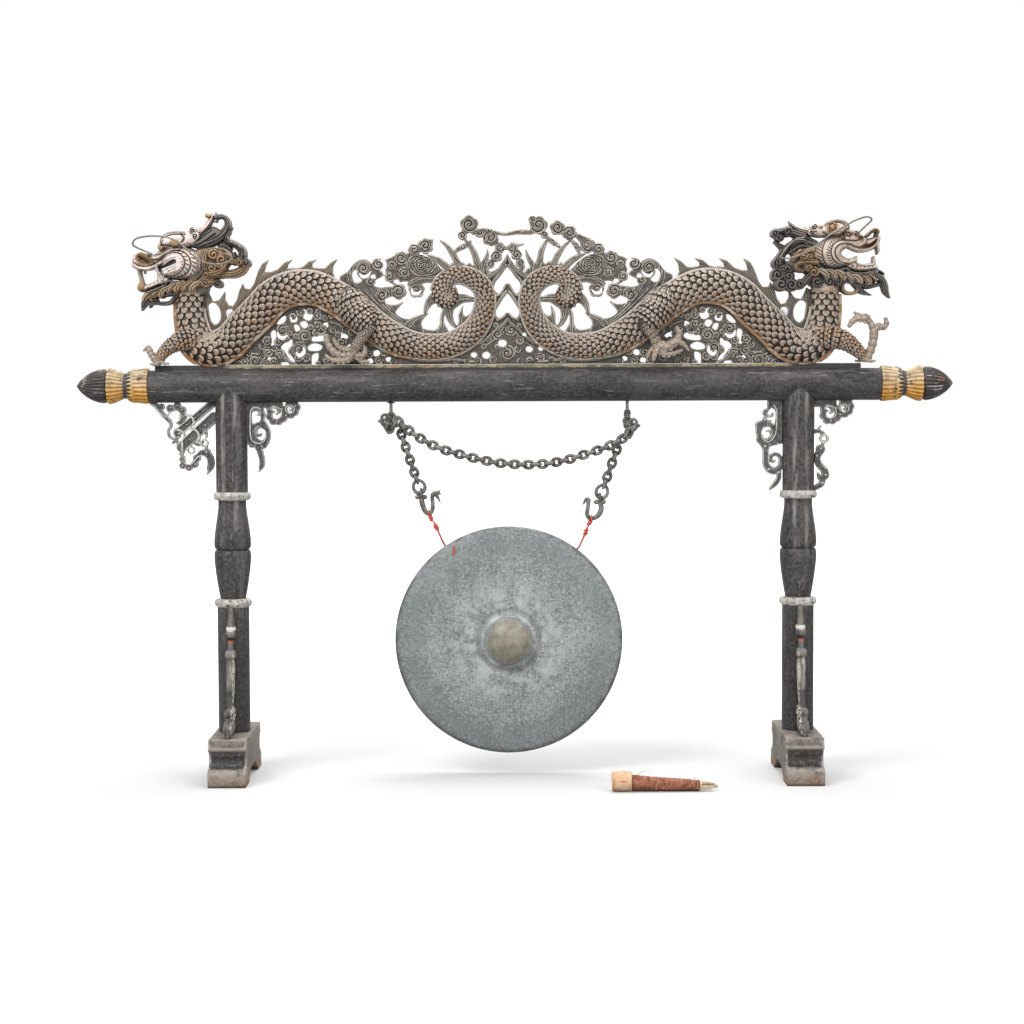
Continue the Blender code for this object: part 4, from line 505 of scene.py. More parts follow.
def laid(name, piece, places, axes, sizes, paint, unevenness=0.0, seed=1, crease=40, tints=None):
    """One small shape at each place, turned to (across, along, up) axes there, as one plain mesh."""
    corners = len(piece.data.vertices)
    mesh = bpy.data.meshes.new(name + "_places")
    mesh.from_pydata([tuple(p) for p in places], [], [])
    turns = []
    for across, along, up in axes:
        matrix = Matrix((across, along, up)).transposed()
        turns += list(matrix.to_euler())
    layer = mesh.attributes.new("turn", "FLOAT_VECTOR", "POINT")
    layer.data.foreach_set("vector", np.array(turns, np.float32))
    layer = mesh.attributes.new("size", "FLOAT_VECTOR", "POINT")
    layer.data.foreach_set("vector", np.array(sizes, np.float32).reshape(-1))
    carrier = bpy.data.objects.new(name + "_places", mesh)
    bpy.context.scene.collection.objects.link(carrier)
    modifier = carrier.modifiers.new("laid", "NODES")
    modifier.node_group = LAYING
    inputs = {item.name: item.identifier for item in LAYING.interface.items_tree if item.in_out == "INPUT"}
    modifier[inputs["Piece"]] = piece
    modifier[inputs["Finish"]] = paint
    modifier[inputs["Unevenness"]] = unevenness
    modifier[inputs["Seed"]] = seed
    carrier.update_tag()
    bpy.context.view_layer.update()
    graph = bpy.context.evaluated_depsgraph_get()
    result = bpy.data.meshes.new_from_object(carrier.evaluated_get(graph))
    result.name = name
    carrier.modifiers.clear()
    if tints is not None:
        result.attributes["tint"].data.foreach_set("value", np.repeat(np.array(tints, np.float32), corners))
    bpy.data.objects.remove(carrier, do_unlink=True)
    bpy.data.objects.remove(piece, do_unlink=True)
    return shown(name, result, paint, crease)


def dress(obj, body, slot, *nodes):
    """Says what a finished piece moves with and stands for; slot is not used."""
    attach(obj, body)
    if nodes:
        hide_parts(*nodes)
    return obj


# Finishes


def seen(red, green, blue):
    """A colour as it is seen, in steps of 255, as the shader wants it."""
    return tuple(((c / 255 + 0.055) / 1.055) ** 2.4 for c in (red, green, blue)) + (1.0,)


class Paint:
    """One procedural material, built step by step."""

    def __init__(self, name, rough=0.6, metal=0.0):
        self.material = bpy.data.materials.new(name)
        self.material.use_nodes = True
        self.tree = self.material.node_tree
        self.shader = self.tree.nodes["Principled BSDF"]
        self.place = self.tree.nodes.new("ShaderNodeTexCoord").outputs["Object"]
        self.shader.inputs["Roughness"].default_value = rough
        self.shader.inputs["Metallic"].default_value = metal

    def feed(self, socket, value):
        if isinstance(value, bpy.types.NodeSocket):
            self.tree.links.new(value, socket)
        else:
            socket.default_value = value

    def stretched(self, scale, turn=(0.0, 0.0, 0.0)):
        node = self.tree.nodes.new("ShaderNodeMapping")
        self.feed(node.inputs["Vector"], self.place)
        node.inputs["Scale"].default_value = scale
        node.inputs["Rotation"].default_value = turn
        return node.outputs["Vector"]

    def noise(self, scale, detail=4.0, rough=0.55, stretch=None, warp=0.0):
        node = self.tree.nodes.new("ShaderNodeTexNoise")
        self.feed(node.inputs["Vector"], self.stretched(stretch) if stretch else self.place)
        node.inputs["Scale"].default_value = scale
        node.inputs["Detail"].default_value = detail
        node.inputs["Roughness"].default_value = rough
        node.inputs["Distortion"].default_value = warp
        return node.outputs["Fac"]

    def cells(self, scale, feature="DISTANCE_TO_EDGE", stretch=None):
        node = self.tree.nodes.new("ShaderNodeTexVoronoi")
        node.feature = feature
        self.feed(node.inputs["Vector"], self.stretched(stretch) if stretch else self.place)
        node.inputs["Scale"].default_value = scale
        return node.outputs["Distance"]

    def mark(self, name):
        node = self.tree.nodes.new("ShaderNodeAttribute")
        node.attribute_name = name
        return node.outputs["Fac"]

    def span(self, value, low, high, start=0.0, end=1.0):
        node = self.tree.nodes.new("ShaderNodeMapRange")
        node.interpolation_type = "SMOOTHSTEP"
        self.feed(node.inputs["Value"], value)
        node.inputs["From Min"].default_value = low
        node.inputs["From Max"].default_value = high
        node.inputs["To Min"].default_value = start
        node.inputs["To Max"].default_value = end
        return node.outputs["Result"]

    def maths(self, kind, one, two=0.0):
        node = self.tree.nodes.new("ShaderNodeMath")
        node.operation = kind
        self.feed(node.inputs[0], one)
        self.feed(node.inputs[1], two)
        return node.outputs[0]

    def mixed(self, share, one, two, kind="MIX"):
        node = self.tree.nodes.new("ShaderNodeMix")
        node.data_type = "RGBA"
        node.blend_type = kind
        self.feed(node.inputs[0], share)
        self.feed(node.inputs[6], one)
        self.feed(node.inputs[7], two)
        return node.outputs[2]

    def part_of(self, axis):
        node = self.tree.nodes.new("ShaderNodeSeparateXYZ")
        self.feed(node.inputs[0], self.place)
        return node.outputs[axis]

    def painted_crevice_shade(self, distance, low=0.35, high=0.85):
        """Painted shade: near nothing in the open, near one in crevices."""
        node = self.tree.nodes.new("ShaderNodeAmbientOcclusion")
        node.samples = 6
        node.inputs["Distance"].default_value = distance
        return self.span(node.outputs["AO"], low, high, 1.0, 0.0)

    def sharpness(self, low=0.51, high=0.58):
        node = self.tree.nodes.new("ShaderNodeNewGeometry")
        return self.span(node.outputs["Pointiness"], low, high)

    def bump(self, height, strength, distance):
        node = self.tree.nodes.new("ShaderNodeBump")
        self.feed(node.inputs["Height"], height)
        node.inputs["Strength"].default_value = strength
        node.inputs["Distance"].default_value = distance
        normal = self.shader.inputs["Normal"]
        if normal.links:
            self.feed(node.inputs["Normal"], normal.links[0].from_socket)
        self.feed(normal, node.outputs["Normal"])

    def done(self, colour, rough=None):
        self.feed(self.shader.inputs["Base Color"], colour)
        if rough is not None:
            self.feed(self.shader.inputs["Roughness"], rough)
        return self.material


def carved_finish(name, hollow, body, other, ridge, patch=12, rough=(0.42, 0.68), shelter=0.014, grain=(40, 40, 40)):
    """Stained carving whose ridges are scuffed pale, with painted shade darkening its hollows."""
    paint = Paint(name)
    wear_and_shade = paint.mark("wear_and_shade")
    broad = paint.span(paint.noise(patch, 5), 0.36, 0.64)
    colour = paint.mixed(broad, body, other)
    colour = paint.mixed(paint.span(paint.mark("tint"), 0.1, 0.9, 0.0, 0.8), colour, seen(96, 76, 56))
    fleck = paint.span(paint.noise(170, 3), 0.35, 0.7)
    colour = paint.mixed(paint.maths("MULTIPLY", fleck, 0.20), colour, ridge)
    pale = paint.maths("MULTIPLY", paint.span(paint.mark("tint"), -0.2, -0.8), paint.span(paint.noise(90, 4), 0.25, 0.55, 0.45, 1.0))
    colour = paint.mixed(pale, colour, ridge)
    rubbed = paint.maths("MAXIMUM", paint.span(wear_and_shade, 0.10, 0.75), paint.maths("MULTIPLY", paint.sharpness(), 0.8))
    rubbed = paint.maths("MULTIPLY", rubbed, paint.span(paint.noise(55, 4), 0.25, 0.62, 0.25, 1.0))
    colour = paint.mixed(rubbed, colour, ridge)
    # painted shade: crevices and hollows mixed toward the hollow colour
    dark = paint.maths("MAXIMUM", paint.painted_crevice_shade(shelter), paint.span(wear_and_shade, -0.12, -0.6))
    colour = paint.mixed(paint.maths("MULTIPLY", dark, 0.92), colour, hollow)
    paint.bump(paint.noise(90, 5, 0.6, grain), 0.25, 0.0006)
    return paint.done(colour, paint.span(paint.noise(30, 3), 0.3, 0.7, *rough))


def scale_finish():
    """Carved scales: grey-brown, turning to rust by their tint, with pale scuffed tips over gaps darkened as painted
    shade.
    """
    paint = Paint("taupe_scale_wood")
    wear_and_shade, tint = paint.mark("wear_and_shade"), paint.mark("tint")
    colour = paint.mixed(paint.span(paint.noise(9, 5), 0.36, 0.64), seen(165, 147, 131), seen(147, 132, 118))
    uneven = paint.maths("ADD", tint, paint.maths("MULTIPLY", paint.noise(24, 4, 0.6), 0.9))
    colour = paint.mixed(paint.span(uneven, 0.58, 1.10, 0.0, 0.85), colour, seen(168, 128, 94))
    colour = paint.mixed(paint.maths("MULTIPLY", paint.span(paint.noise(140, 4), 0.5, 0.68), 0.45), colour, seen(150, 146, 142))
    tip = paint.mixed(paint.span(uneven, 0.7, 1.2), seen(204, 193, 182), seen(200, 172, 144))
    rubbed = paint.maths("MULTIPLY", paint.span(wear_and_shade, 0.12, 0.8), paint.span(paint.noise(62, 4), 0.28, 0.6, 0.35, 1.0))
    colour = paint.mixed(rubbed, colour, tip)
    # painted shade: crevices and the marked gaps between scales darkened
    dark = paint.maths("MAXIMUM", paint.painted_crevice_shade(0.010, 0.30, 0.80), paint.span(wear_and_shade, -0.12, -0.6))
    colour = paint.mixed(paint.maths("MULTIPLY", dark, 0.93), colour, seen(44, 39, 36))
    paint.bump(paint.noise(150, 5, 0.6), 0.3, 0.0005)
    return paint.done(colour, paint.span(paint.noise(30, 3), 0.3, 0.7, 0.45, 0.7))


def strip_finish():
    """Black wood whose top is mottled with moss green, ochre and bare pale wood between the dragons' bellies; further
    out the top is painted dark as shade.
    """
    paint = Paint("mossy_plinth", 0.75)
    moss = paint.mixed(paint.span(paint.noise(42, 5, 0.6, (0.45, 1, 1)), 0.36, 0.60), seen(112, 112, 84), seen(164, 152, 128))
    moss = paint.mixed(paint.maths("MULTIPLY", paint.span(paint.noise(30, 4, 0.6, (0.4, 1, 1)), 0.56, 0.66), 0.8), moss, seen(164, 124, 78))
    moss = paint.mixed(paint.maths("MULTIPLY", paint.span(paint.noise(75, 4, 0.6), 0.54, 0.64), 0.75), moss, seen(70, 64, 52))
    moss = paint.mixed(paint.maths("MULTIPLY", paint.span(paint.noise(90, 4, 0.6), 0.62, 0.70), 0.8), moss, seen(206, 198, 180))
    # painted shade: out beyond the bellies the top is painted dark; below a ragged line the strip's sides stay black
    out = paint.maths("ABSOLUTE", paint.maths("SUBTRACT", paint.part_of(0), CREST_X))
    dark = paint.span(paint.maths("ADD", out, paint.maths("MULTIPLY", paint.noise(30, 4), 0.05)), 0.735, 0.775)
    ragged = paint.maths("ADD", paint.part_of(2), paint.maths("MULTIPLY", paint.noise(60, 4, 0.6), 0.010))
    dark = paint.maths("MAXIMUM", dark, paint.span(ragged, STRIP_MOSS + 0.0066, STRIP_MOSS + 0.0050))
    colour = paint.mixed(dark, moss, seen(62, 60, 59))
    paint.bump(paint.noise(80, 5, 0.6, (0.4, 1, 1)), 0.6, 0.0014)
    return paint.done(colour)


def charcoal_finish(name, stretch, ring_heights=(), lighter=0.0):
    """Black stained turning with scuffed pale streaks along the grain, fine scratches and chips to bare wood, and
    painted shade in its crevices.
    """
    paint = Paint(name)
    paint.shader.inputs["Specular IOR Level"].default_value = 0.28
    streak = paint.noise(34, 6, 0.66, stretch)
    broad = paint.noise(7, 5, 0.55)
    colour = paint.mixed(paint.span(broad, 0.34, 0.68), seen(46, 44, 45), seen(70, 67, 67))
    mottled = paint.noise(120, 5, 0.7, (1, 1, 1))
    colour = paint.mixed(paint.maths("MULTIPLY", paint.span(mottled, 0.42, 0.66), 0.42 + lighter), colour, seen(112, 108, 106))
    colour = paint.mixed(paint.maths("MULTIPLY", paint.span(mottled, 0.44, 0.34), 0.5), colour, seen(38, 36, 36))
    colour = paint.mixed(paint.maths("MULTIPLY", paint.span(streak, 0.50, 0.70), 0.5), colour, seen(124, 119, 116))
    thin = paint.noise(150, 4, 0.6, stretch)
    colour = paint.mixed(paint.maths("MULTIPLY", paint.span(thin, 0.60, 0.70), 0.6), colour, seen(158, 151, 146))
    chips = paint.maths("MULTIPLY", paint.span(paint.noise(80, 5, 0.7, stretch), 0.665, 0.70), paint.span(broad, 0.50, 0.62))
    colour = paint.mixed(paint.maths("MULTIPLY", chips, 0.75), colour, seen(156, 116, 84))
    # painted shade: crevices darkened
    colour = paint.mixed(paint.maths("MULTIPLY", paint.painted_crevice_shade(0.012), 0.7), colour, seen(34, 32, 32))
    rough = paint.span(streak, 0.3, 0.75, 0.42, 0.6)
    if ring_heights:
        height = paint.part_of(2)
        # painted highlight: two pale vertical streaks down the upper shaft of each post, either side of its middle
        across = paint.maths("SUBTRACT", paint.maths("ABSOLUTE", paint.part_of(0)), POST_X)
        rubbed = 0.0
        for place in (-0.014, 0.018):
            gap = paint.maths("ABSOLUTE", paint.maths("SUBTRACT", across, place))
            rubbed = paint.maths("MAXIMUM", rubbed, paint.span(gap, 0.009, 0.001))
        rubbed = paint.maths("MULTIPLY", rubbed, paint.span(height, 0.52, 0.72))
        rubbed = paint.maths("MULTIPLY", rubbed, paint.span(paint.noise(46, 5, 0.7, (1, 1, 0.2)), 0.40, 0.66))
        colour = paint.mixed(paint.maths("MULTIPLY", rubbed, 0.75), colour, seen(168, 160, 154))
        # painted shade: the shaft darkens below 0.44 m, where the braces stand in front and behind
        colour = paint.mixed(paint.span(height, 0.44, 0.30, 0.0, 0.30), colour, seen(40, 38, 38))
        band = 0.0
        for level, half in ring_heights:
            gap = paint.maths("ABSOLUTE", paint.maths("SUBTRACT", height, level))
            band = paint.maths("MAXIMUM", band, paint.span(gap, half, half + 0.0012, 1.0, 0.0))
        worn_and_shaded = paint.span(paint.noise(70, 5, 0.6, (1, 1, 2)), 0.30, 0.5)
        chalk = paint.mixed(paint.span(paint.noise(45, 4), 0.4, 0.65), seen(212, 209, 204), seen(168, 160, 150))
        colour = paint.mixed(paint.maths("MULTIPLY", band, worn_and_shaded), colour, chalk)
    paint.bump(streak, 0.3, 0.0007)
    paint.bump(paint.noise(7, 2), 0.12, 0.003)
    return paint.done(colour, rough)


def foot_finish():
    paint = Paint("worn_grey_wood")
    grain = paint.noise(20, 6, 0.62, (4, 1, 4))
    colour = paint.mixed(paint.span(grain, 0.35, 0.65), seen(84, 80, 78), seen(132, 124, 117))
    colour = paint.mixed(paint.span(paint.noise(9, 5), 0.52, 0.68), colour, seen(58, 54, 53))
    height = paint.part_of(2)
    speckle = paint.noise(110, 5, 0.7)
    aside = paint.maths("ABSOLUTE", paint.maths("SUBTRACT", paint.maths("ABSOLUTE", paint.part_of(0)), POST_X))
    forward = paint.maths("ABSOLUTE", paint.maths("SUBTRACT", paint.part_of(1), PLANE))
    face = paint.maths("MULTIPLY", paint.span(aside, 0.0440, 0.0415), paint.span(forward, 0.135, 0.140))
    ragged = paint.maths("ADD", height, paint.maths("MULTIPLY", speckle, 0.016))
    cove = paint.maths("MULTIPLY", paint.span(ragged, 0.034, 0.046), paint.span(ragged, 0.092, 0.080))
    colour = paint.mixed(paint.maths("MULTIPLY", paint.maths("MULTIPLY", cove, face), 0.85), colour, seen(38, 37, 38))
    line = paint.maths("MULTIPLY", paint.maths("MULTIPLY", paint.span(height, 0.088, 0.092), paint.span(height, 0.099, 0.095)), face)
    colour = paint.mixed(paint.maths("MULTIPLY", line, 0.6), colour, seen(176, 172, 168))
    edge = paint.maths("MULTIPLY", paint.maths("MULTIPLY", paint.span(aside, 0.0420, 0.0450), paint.span(forward, 0.135, 0.140)), paint.span(speckle, 0.40, 0.60))
    colour = paint.mixed(paint.maths("MULTIPLY", edge, 0.75), colour, seen(190, 184, 176))
    toe = paint.span(height, 0.016, 0.038, 1.0, 0.0)
    bare = paint.maths("MULTIPLY", toe, paint.span(paint.noise(34, 5, 0.6, (3, 1, 1)), 0.26, 0.44))
    colour = paint.mixed(bare, colour, paint.mixed(paint.span(speckle, 0.42, 0.6), seen(112, 76, 46), seen(176, 136, 96)))
    colour = paint.mixed(paint.maths("MULTIPLY", paint.span(speckle, 0.54, 0.66), 0.45), colour, seen(172, 167, 162))
    rubbed = paint.maths("MULTIPLY", paint.sharpness(0.505, 0.56), paint.span(paint.noise(40, 4), 0.3, 0.6))
    colour = paint.mixed(rubbed, colour, seen(158, 148, 138))
    # painted shade: crevices darkened
    colour = paint.mixed(paint.maths("MULTIPLY", paint.painted_crevice_shade(0.015), 0.8), colour, seen(44, 40, 38))
    paint.bump(grain, 0.35, 0.0008)
    return paint.done(colour, paint.span(grain, 0.3, 0.7, 0.5, 0.72))


def collar_finish():
    """Gilding and cream over black: gold low on the collar, cream high, black in the waist."""
    paint = Paint("gilded_wood")
    height = paint.part_of(2)
    low = paint.span(paint.maths("ADD", height, paint.maths("MULTIPLY", paint.noise(22, 3), 0.03)), 1.022, 1.062)
    gold = paint.mixed(paint.span(paint.noise(60, 4), 0.35, 0.65), seen(206, 146, 46), seen(218, 172, 92))
    cream = paint.mixed(paint.span(paint.noise(45, 4), 0.4, 0.65), seen(208, 190, 156), seen(156, 143, 112))
    colour = paint.mixed(low, gold, cream)
    # painted shade: the grooves between the petals are darkened
    groove = paint.span(paint.mark("wear_and_shade"), -0.1, -0.55)
    colour = paint.mixed(paint.maths("MULTIPLY", groove, 0.75), colour, seen(168, 106, 40))
    lost = paint.maths("MAXIMUM", paint.mark("tint"), paint.span(paint.noise(48, 5, 0.65), 0.585, 0.64))
    colour = paint.mixed(lost, colour, seen(66, 62, 60))
    # painted shade: crevices darkened
    colour = paint.mixed(paint.maths("MULTIPLY", paint.painted_crevice_shade(0.008), 0.7), colour, seen(60, 45, 30))
    paint.bump(paint.noise(140, 4), 0.2, 0.0004)
    return paint.done(colour, paint.span(paint.noise(40, 3), 0.3, 0.7, 0.35, 0.55))


def bud_finish():
    paint = Paint("charcoal_bud")
    wear_and_shade = paint.mark("wear_and_shade")
    colour = paint.mixed(paint.span(paint.noise(14, 4), 0.4, 0.65), seen(46, 43, 42), seen(66, 60, 56))
    streaks = paint.noise(60, 5, 0.7, (0.3, 1, 1))
    rub = paint.maths("MULTIPLY", paint.span(wear_and_shade, 0.10, 0.5), paint.span(streaks, 0.50, 0.60))
    rubbed_colour = paint.mixed(paint.span(paint.noise(26, 3), 0.46, 0.54), seen(186, 132, 102), seen(206, 200, 190))
    colour = paint.mixed(paint.maths("MULTIPLY", rub, 0.85), colour, rubbed_colour)
    # painted shade: the flute grooves are darkened
    colour = paint.mixed(paint.maths("MULTIPLY", paint.span(wear_and_shade, -0.1, -0.6), 0.8), colour, seen(26, 24, 24))
    paint.bump(paint.noise(120, 4), 0.2, 0.0004)
    return paint.done(colour, 0.45)


def iron_finish():
    paint = Paint("wrought_iron")
    colour = paint.mixed(paint.span(paint.noise(60, 5), 0.35, 0.65), seen(88, 88, 84), seen(138, 136, 128))
    rust = paint.span(paint.noise(34, 5, 0.6), 0.56, 0.68)
    colour = paint.mixed(paint.maths("MULTIPLY", rust, 0.55), colour, seen(116, 96, 78))
    # painted shade: crevices darkened
    colour = paint.mixed(paint.maths("MULTIPLY", paint.painted_crevice_shade(0.006), 0.75), colour, seen(40, 38, 36))
    paint.shader.inputs["Metallic"].default_value = 0.35
    paint.bump(paint.noise(260, 5, 0.65), 0.4, 0.0005)
    return paint.done(colour, paint.span(paint.noise(80, 3), 0.3, 0.7, 0.42, 0.62))


def gong_finish():
    """Bronze under a blue-grey patina, with green bloom, dark runs, pits, a scuffed bare boss and a painted highlight
    in a ring round it.
    """
    paint = Paint("patinated_bronze")
    place = paint.tree.nodes.new("ShaderNodeMapping")
    paint.feed(place.inputs["Vector"], paint.place)
    place.inputs["Location"].default_value = (0.018, 0.0, -0.3587)
    length = paint.tree.nodes.new("ShaderNodeVectorMath")
    length.operation = "LENGTH"
    flat = paint.tree.nodes.new("ShaderNodeVectorMath")
    flat.operation = "MULTIPLY"
    flat.inputs[1].default_value = (1.0, 0.0, 1.0)
    paint.feed(flat.inputs[0], place.outputs["Vector"])
    paint.feed(length.inputs[0], flat.outputs[0])
    reach = length.outputs["Value"]
    broad = paint.noise(7, 6, 0.6)
    colour = paint.mixed(paint.span(broad, 0.35, 0.65), seen(132, 138, 140), seen(157, 163, 163))
    bloom = paint.maths("MULTIPLY", paint.span(paint.noise(13, 6, 0.62), 0.5, 0.66), 0.6)
    colour = paint.mixed(bloom, colour, seen(146, 156, 151))
    fine = paint.noise(170, 6, 0.75)
    colour = paint.mixed(paint.maths("MULTIPLY", paint.span(fine, 0.51, 0.61), 0.8), colour, seen(184, 189, 189))
    colour = paint.mixed(paint.maths("MULTIPLY", paint.span(fine, 0.485, 0.40), 0.8), colour, seen(104, 107, 108))
    runs = paint.noise(16, 5, 0.6, (3.2, 3.2, 0.35))
    colour = paint.mixed(paint.maths("MULTIPLY", paint.span(runs, 0.56, 0.74), 0.40), colour, seen(100, 107, 109))
    stains = paint.maths("MULTIPLY", paint.span(paint.noise(4.2, 5, 0.65), 0.60, 0.70), paint.span(fine, 0.38, 0.55))
    colour = paint.mixed(paint.maths("MULTIPLY", stains, 0.6), colour, seen(88, 91, 91))
    # painted highlight: a pale ring round the boss, broken by noise
    halo = paint.maths("MULTIPLY", paint.span(reach, 0.20, 0.10), paint.span(paint.noise(30, 6, 0.7), 0.42, 0.60))
    colour = paint.mixed(paint.maths("MULTIPLY", halo, 0.7), colour, seen(196, 200, 199))
    border = paint.span(paint.maths("ADD", reach, paint.maths("MULTIPLY", paint.noise(20, 4), 0.02)), 0.218, 0.246)
    colour = paint.mixed(paint.maths("MULTIPLY", border, 0.35), colour, seen(112, 118, 116))
    rim = paint.maths("MULTIPLY", paint.span(reach, 0.283, 0.297), paint.span(paint.noise(26, 5, 0.6), 0.38, 0.62))
    colour = paint.mixed(paint.maths("MULTIPLY", rim, 0.75), colour, seen(84, 82, 74))
    boss = paint.span(paint.maths("ADD", reach, paint.maths("MULTIPLY", paint.noise(24, 4), 0.012)), 0.054, 0.074, 1.0, 0.0)
    bare = paint.mixed(paint.span(paint.noise(42, 5, 0.6), 0.40, 0.62), seen(122, 114, 92), seen(152, 142, 118))
    colour = paint.mixed(paint.maths("MULTIPLY", boss, 0.75), colour, bare)
    ring = paint.maths("MULTIPLY", paint.span(reach, 0.070, 0.076), paint.span(reach, 0.082, 0.092, 1.0, 0.0))
    colour = paint.mixed(paint.maths("MULTIPLY", ring, 0.45), colour, seen(96, 96, 88))
    pits = paint.span(paint.noise(210, 4, 0.7), 0.62, 0.7)
    colour = paint.mixed(paint.maths("MULTIPLY", pits, 0.35), colour, seen(84, 88, 86))
    paint.shader.inputs["Metallic"].default_value = 0.25
    paint.bump(paint.noise(45, 6, 0.62), 0.35, 0.0016)
    paint.bump(pits, 0.35, 0.0006)
    return paint.done(colour, paint.span(broad, 0.3, 0.7, 0.46, 0.62))


def leather_finish():
    """Red-brown hide with pale scuffs and cracks, and painted shade along its underside."""
    paint = Paint("russet_leather", 0.72)
    colour = paint.mixed(paint.span(paint.noise(60, 6, 0.65), 0.36, 0.64), seen(116, 62, 42), seen(166, 104, 78))
    scuff = paint.maths("MULTIPLY", paint.span(paint.noise(110, 6, 0.7), 0.53, 0.64), 0.75)
    colour = paint.mixed(scuff, colour, seen(204, 158, 132))
    colour = paint.mixed(paint.maths("MULTIPLY", paint.span(paint.noise(150, 5, 0.7), 0.60, 0.68), 0.8), colour, seen(86, 42, 28))
    # painted shade: the underside, near the floor, darkens
    colour = paint.mixed(paint.span(paint.part_of(2), 0.0085, 0.0030), colour, seen(66, 34, 24))
    paint.bump(paint.noise(70, 6, 0.7), 0.7, 0.0016)
    return paint.done(colour)


def simple_finish(name, first, second, scale, rough, bump=0.3, depth=0.0005, stretch=None, hollow=None):
    paint = Paint(name, rough)
    grain = paint.noise(scale, 5, 0.6, stretch)
    colour = paint.mixed(paint.span(grain, 0.35, 0.66), first, second)
    # painted shade: crevices mixed toward the hollow colour
    if hollow:
        colour = paint.mixed(paint.maths("MULTIPLY", paint.painted_crevice_shade(0.006), 0.8), colour, hollow)
    paint.bump(grain, bump, depth)
    return paint.done(colour)


CHARCOAL_BEAM = charcoal_finish("charcoal_wood_beam", (0.12, 1, 1))
CHARCOAL_POST = charcoal_finish("charcoal_wood_post", (1, 1, 0.10), ((0.741, 0.0105), (0.461, 0.0105)), 0.12)
FOOT_WOOD = foot_finish()
FIN_WOOD = carved_finish(
    "grey_green_fretwork_fin", seen(34, 32, 31), seen(70, 67, 62), seen(92, 80, 66), seen(160, 148, 132))
FRET_WOOD = carved_finish("grey_green_fretwork", seen(28, 26, 25), seen(54, 53, 50), seen(74, 63, 53), seen(184, 177, 165))
BRACKET_WOOD = carved_finish("dark_fretwork", seen(26, 25, 25), seen(48, 46, 46), seen(66, 63, 61), seen(204, 200, 194))
SCALE_WOOD = scale_finish()
COLLAR_GILT = collar_finish()
BUD_WOOD = bud_finish()
IRON = iron_finish()
BRONZE = gong_finish()
STRIP_WOOD = strip_finish()
RED_CORD = simple_finish("red_cord", seen(214, 70, 56), seen(238, 112, 96), 300, 0.75, 0.3, 0.0003, None, seen(140, 30, 24))
STRAW = simple_finish("straw_wood", seen(206, 158, 112), seen(232, 200, 166), 38, 0.7, 0.35, 0.0006, (1, 1, 0.6), seen(150, 112, 74))
FIBRE = simple_finish("straw_fibre", seen(222, 200, 170), seen(240, 226, 204), 90, 0.75, 0.2, 0.0003, (0.2, 1, 1), seen(160, 130, 96))
LEATHER = leather_finish()


def mane_finish():
    """Ochre wash, turning brown by the tint of each lock."""
    base = carved_finish("ochre_mane_wood", seen(50, 42, 34), seen(158, 122, 76), seen(132, 98, 66), seen(196, 170, 132), 14)
    return base


MANE_WOOD = mane_finish()
SLATE_WOOD = carved_finish("slate_lock_wood", seen(36, 36, 36), seen(76, 78, 79), seen(96, 94, 92), seen(158, 150, 142), 14)


# The camera that took the picture, and the red cords


def make_camera():
    data = bpy.data.cameras.new("camera")
    data.sensor_width = 36.0
    data.lens = 77.84
    data.clip_end = 60.0
    obj = bpy.data.objects.new("camera", data)
    obj.location = (-0.0073, -5.756, 1.013)
    obj.rotation_euler = (math.radians(90 - 3.125), math.radians(0.22), 0.0)
    bpy.context.scene.collection.objects.link(obj)
    bpy.context.scene.camera = obj


make_camera()

GONG_X, GONG_Z = -0.0180, 0.3587
GONG_FACE = 0.030867
GONG_RADIUS = 0.300
GONG_WALL = 0.004
FACE_FALL = 0.008
FLAT_RADIUS = 0.218
RIM_HOLE_DEPTH = 0.036
LEFT_RIM_ANGLE, RIGHT_RIM_ANGLE = -33.8, 37.2
FACE_HOLES = ((0.2850, -30.0), (0.2700, -32.5))
CORD_RADIUS = 0.0021
LEFT_BOW, RIGHT_BOW = (-0.2278, 0.6928), (0.2000, 0.6783)
LEFT_KNOT, RIGHT_KNOT = (-0.2076, 0.6576), (0.1850, 0.6429)
HOOK_WIRE = 0.0056


def on_gong(reach, angle, depth):
    turn = math.radians(angle)
    return np.array([GONG_X + reach * math.sin(turn), GONG_FACE + depth, GONG_Z + reach * math.cos(turn)])


def face_depth(reach):
    return FACE_FALL * (reach - FLAT_RADIUS) / (GONG_RADIUS - 0.010 - FLAT_RADIUS)


def strand(pile, route, radius, lay=520.0):
    """One cord of three plies laid round each other."""
    route = evenly(route, max(int(length_of(route) / 0.0016), 12))
    pile.sweep(route, radius, sides=18, flutes=3, flute_depth=0.26, twist=lay)
    return route


def knot_shape(pile, centre, along, radius, seed):
    """Turns of cord drawn tight round each other."""
    chance = random.Random(seed)
    along = unit(along)
    side = unit(np.cross(along, [0, 1, 0]))
    deep = np.cross(side, along)
    for k in range(3):
        tilt = chance.uniform(-0.35, 0.35)
        middle = centre + along * radius * (k - 1) * 0.52
        reach = radius * (0.62 if k == 1 else 0.5)
        ring = []
        for step in range(20):
            angle = 2 * math.pi * step / 20
            ring.append(middle + (side * math.cos(angle) + deep * math.sin(angle)) * reach + along * reach * tilt * math.cos(angle))
        pile.sweep(np.array(ring), CORD_RADIUS * 0.95, sides=14, flutes=3, flute_depth=0.24, twist=520, closed=True)
    pile.sweep([centre - along * radius * 0.8, centre, centre + along * radius * 0.8], radius * 0.5, sides=14)


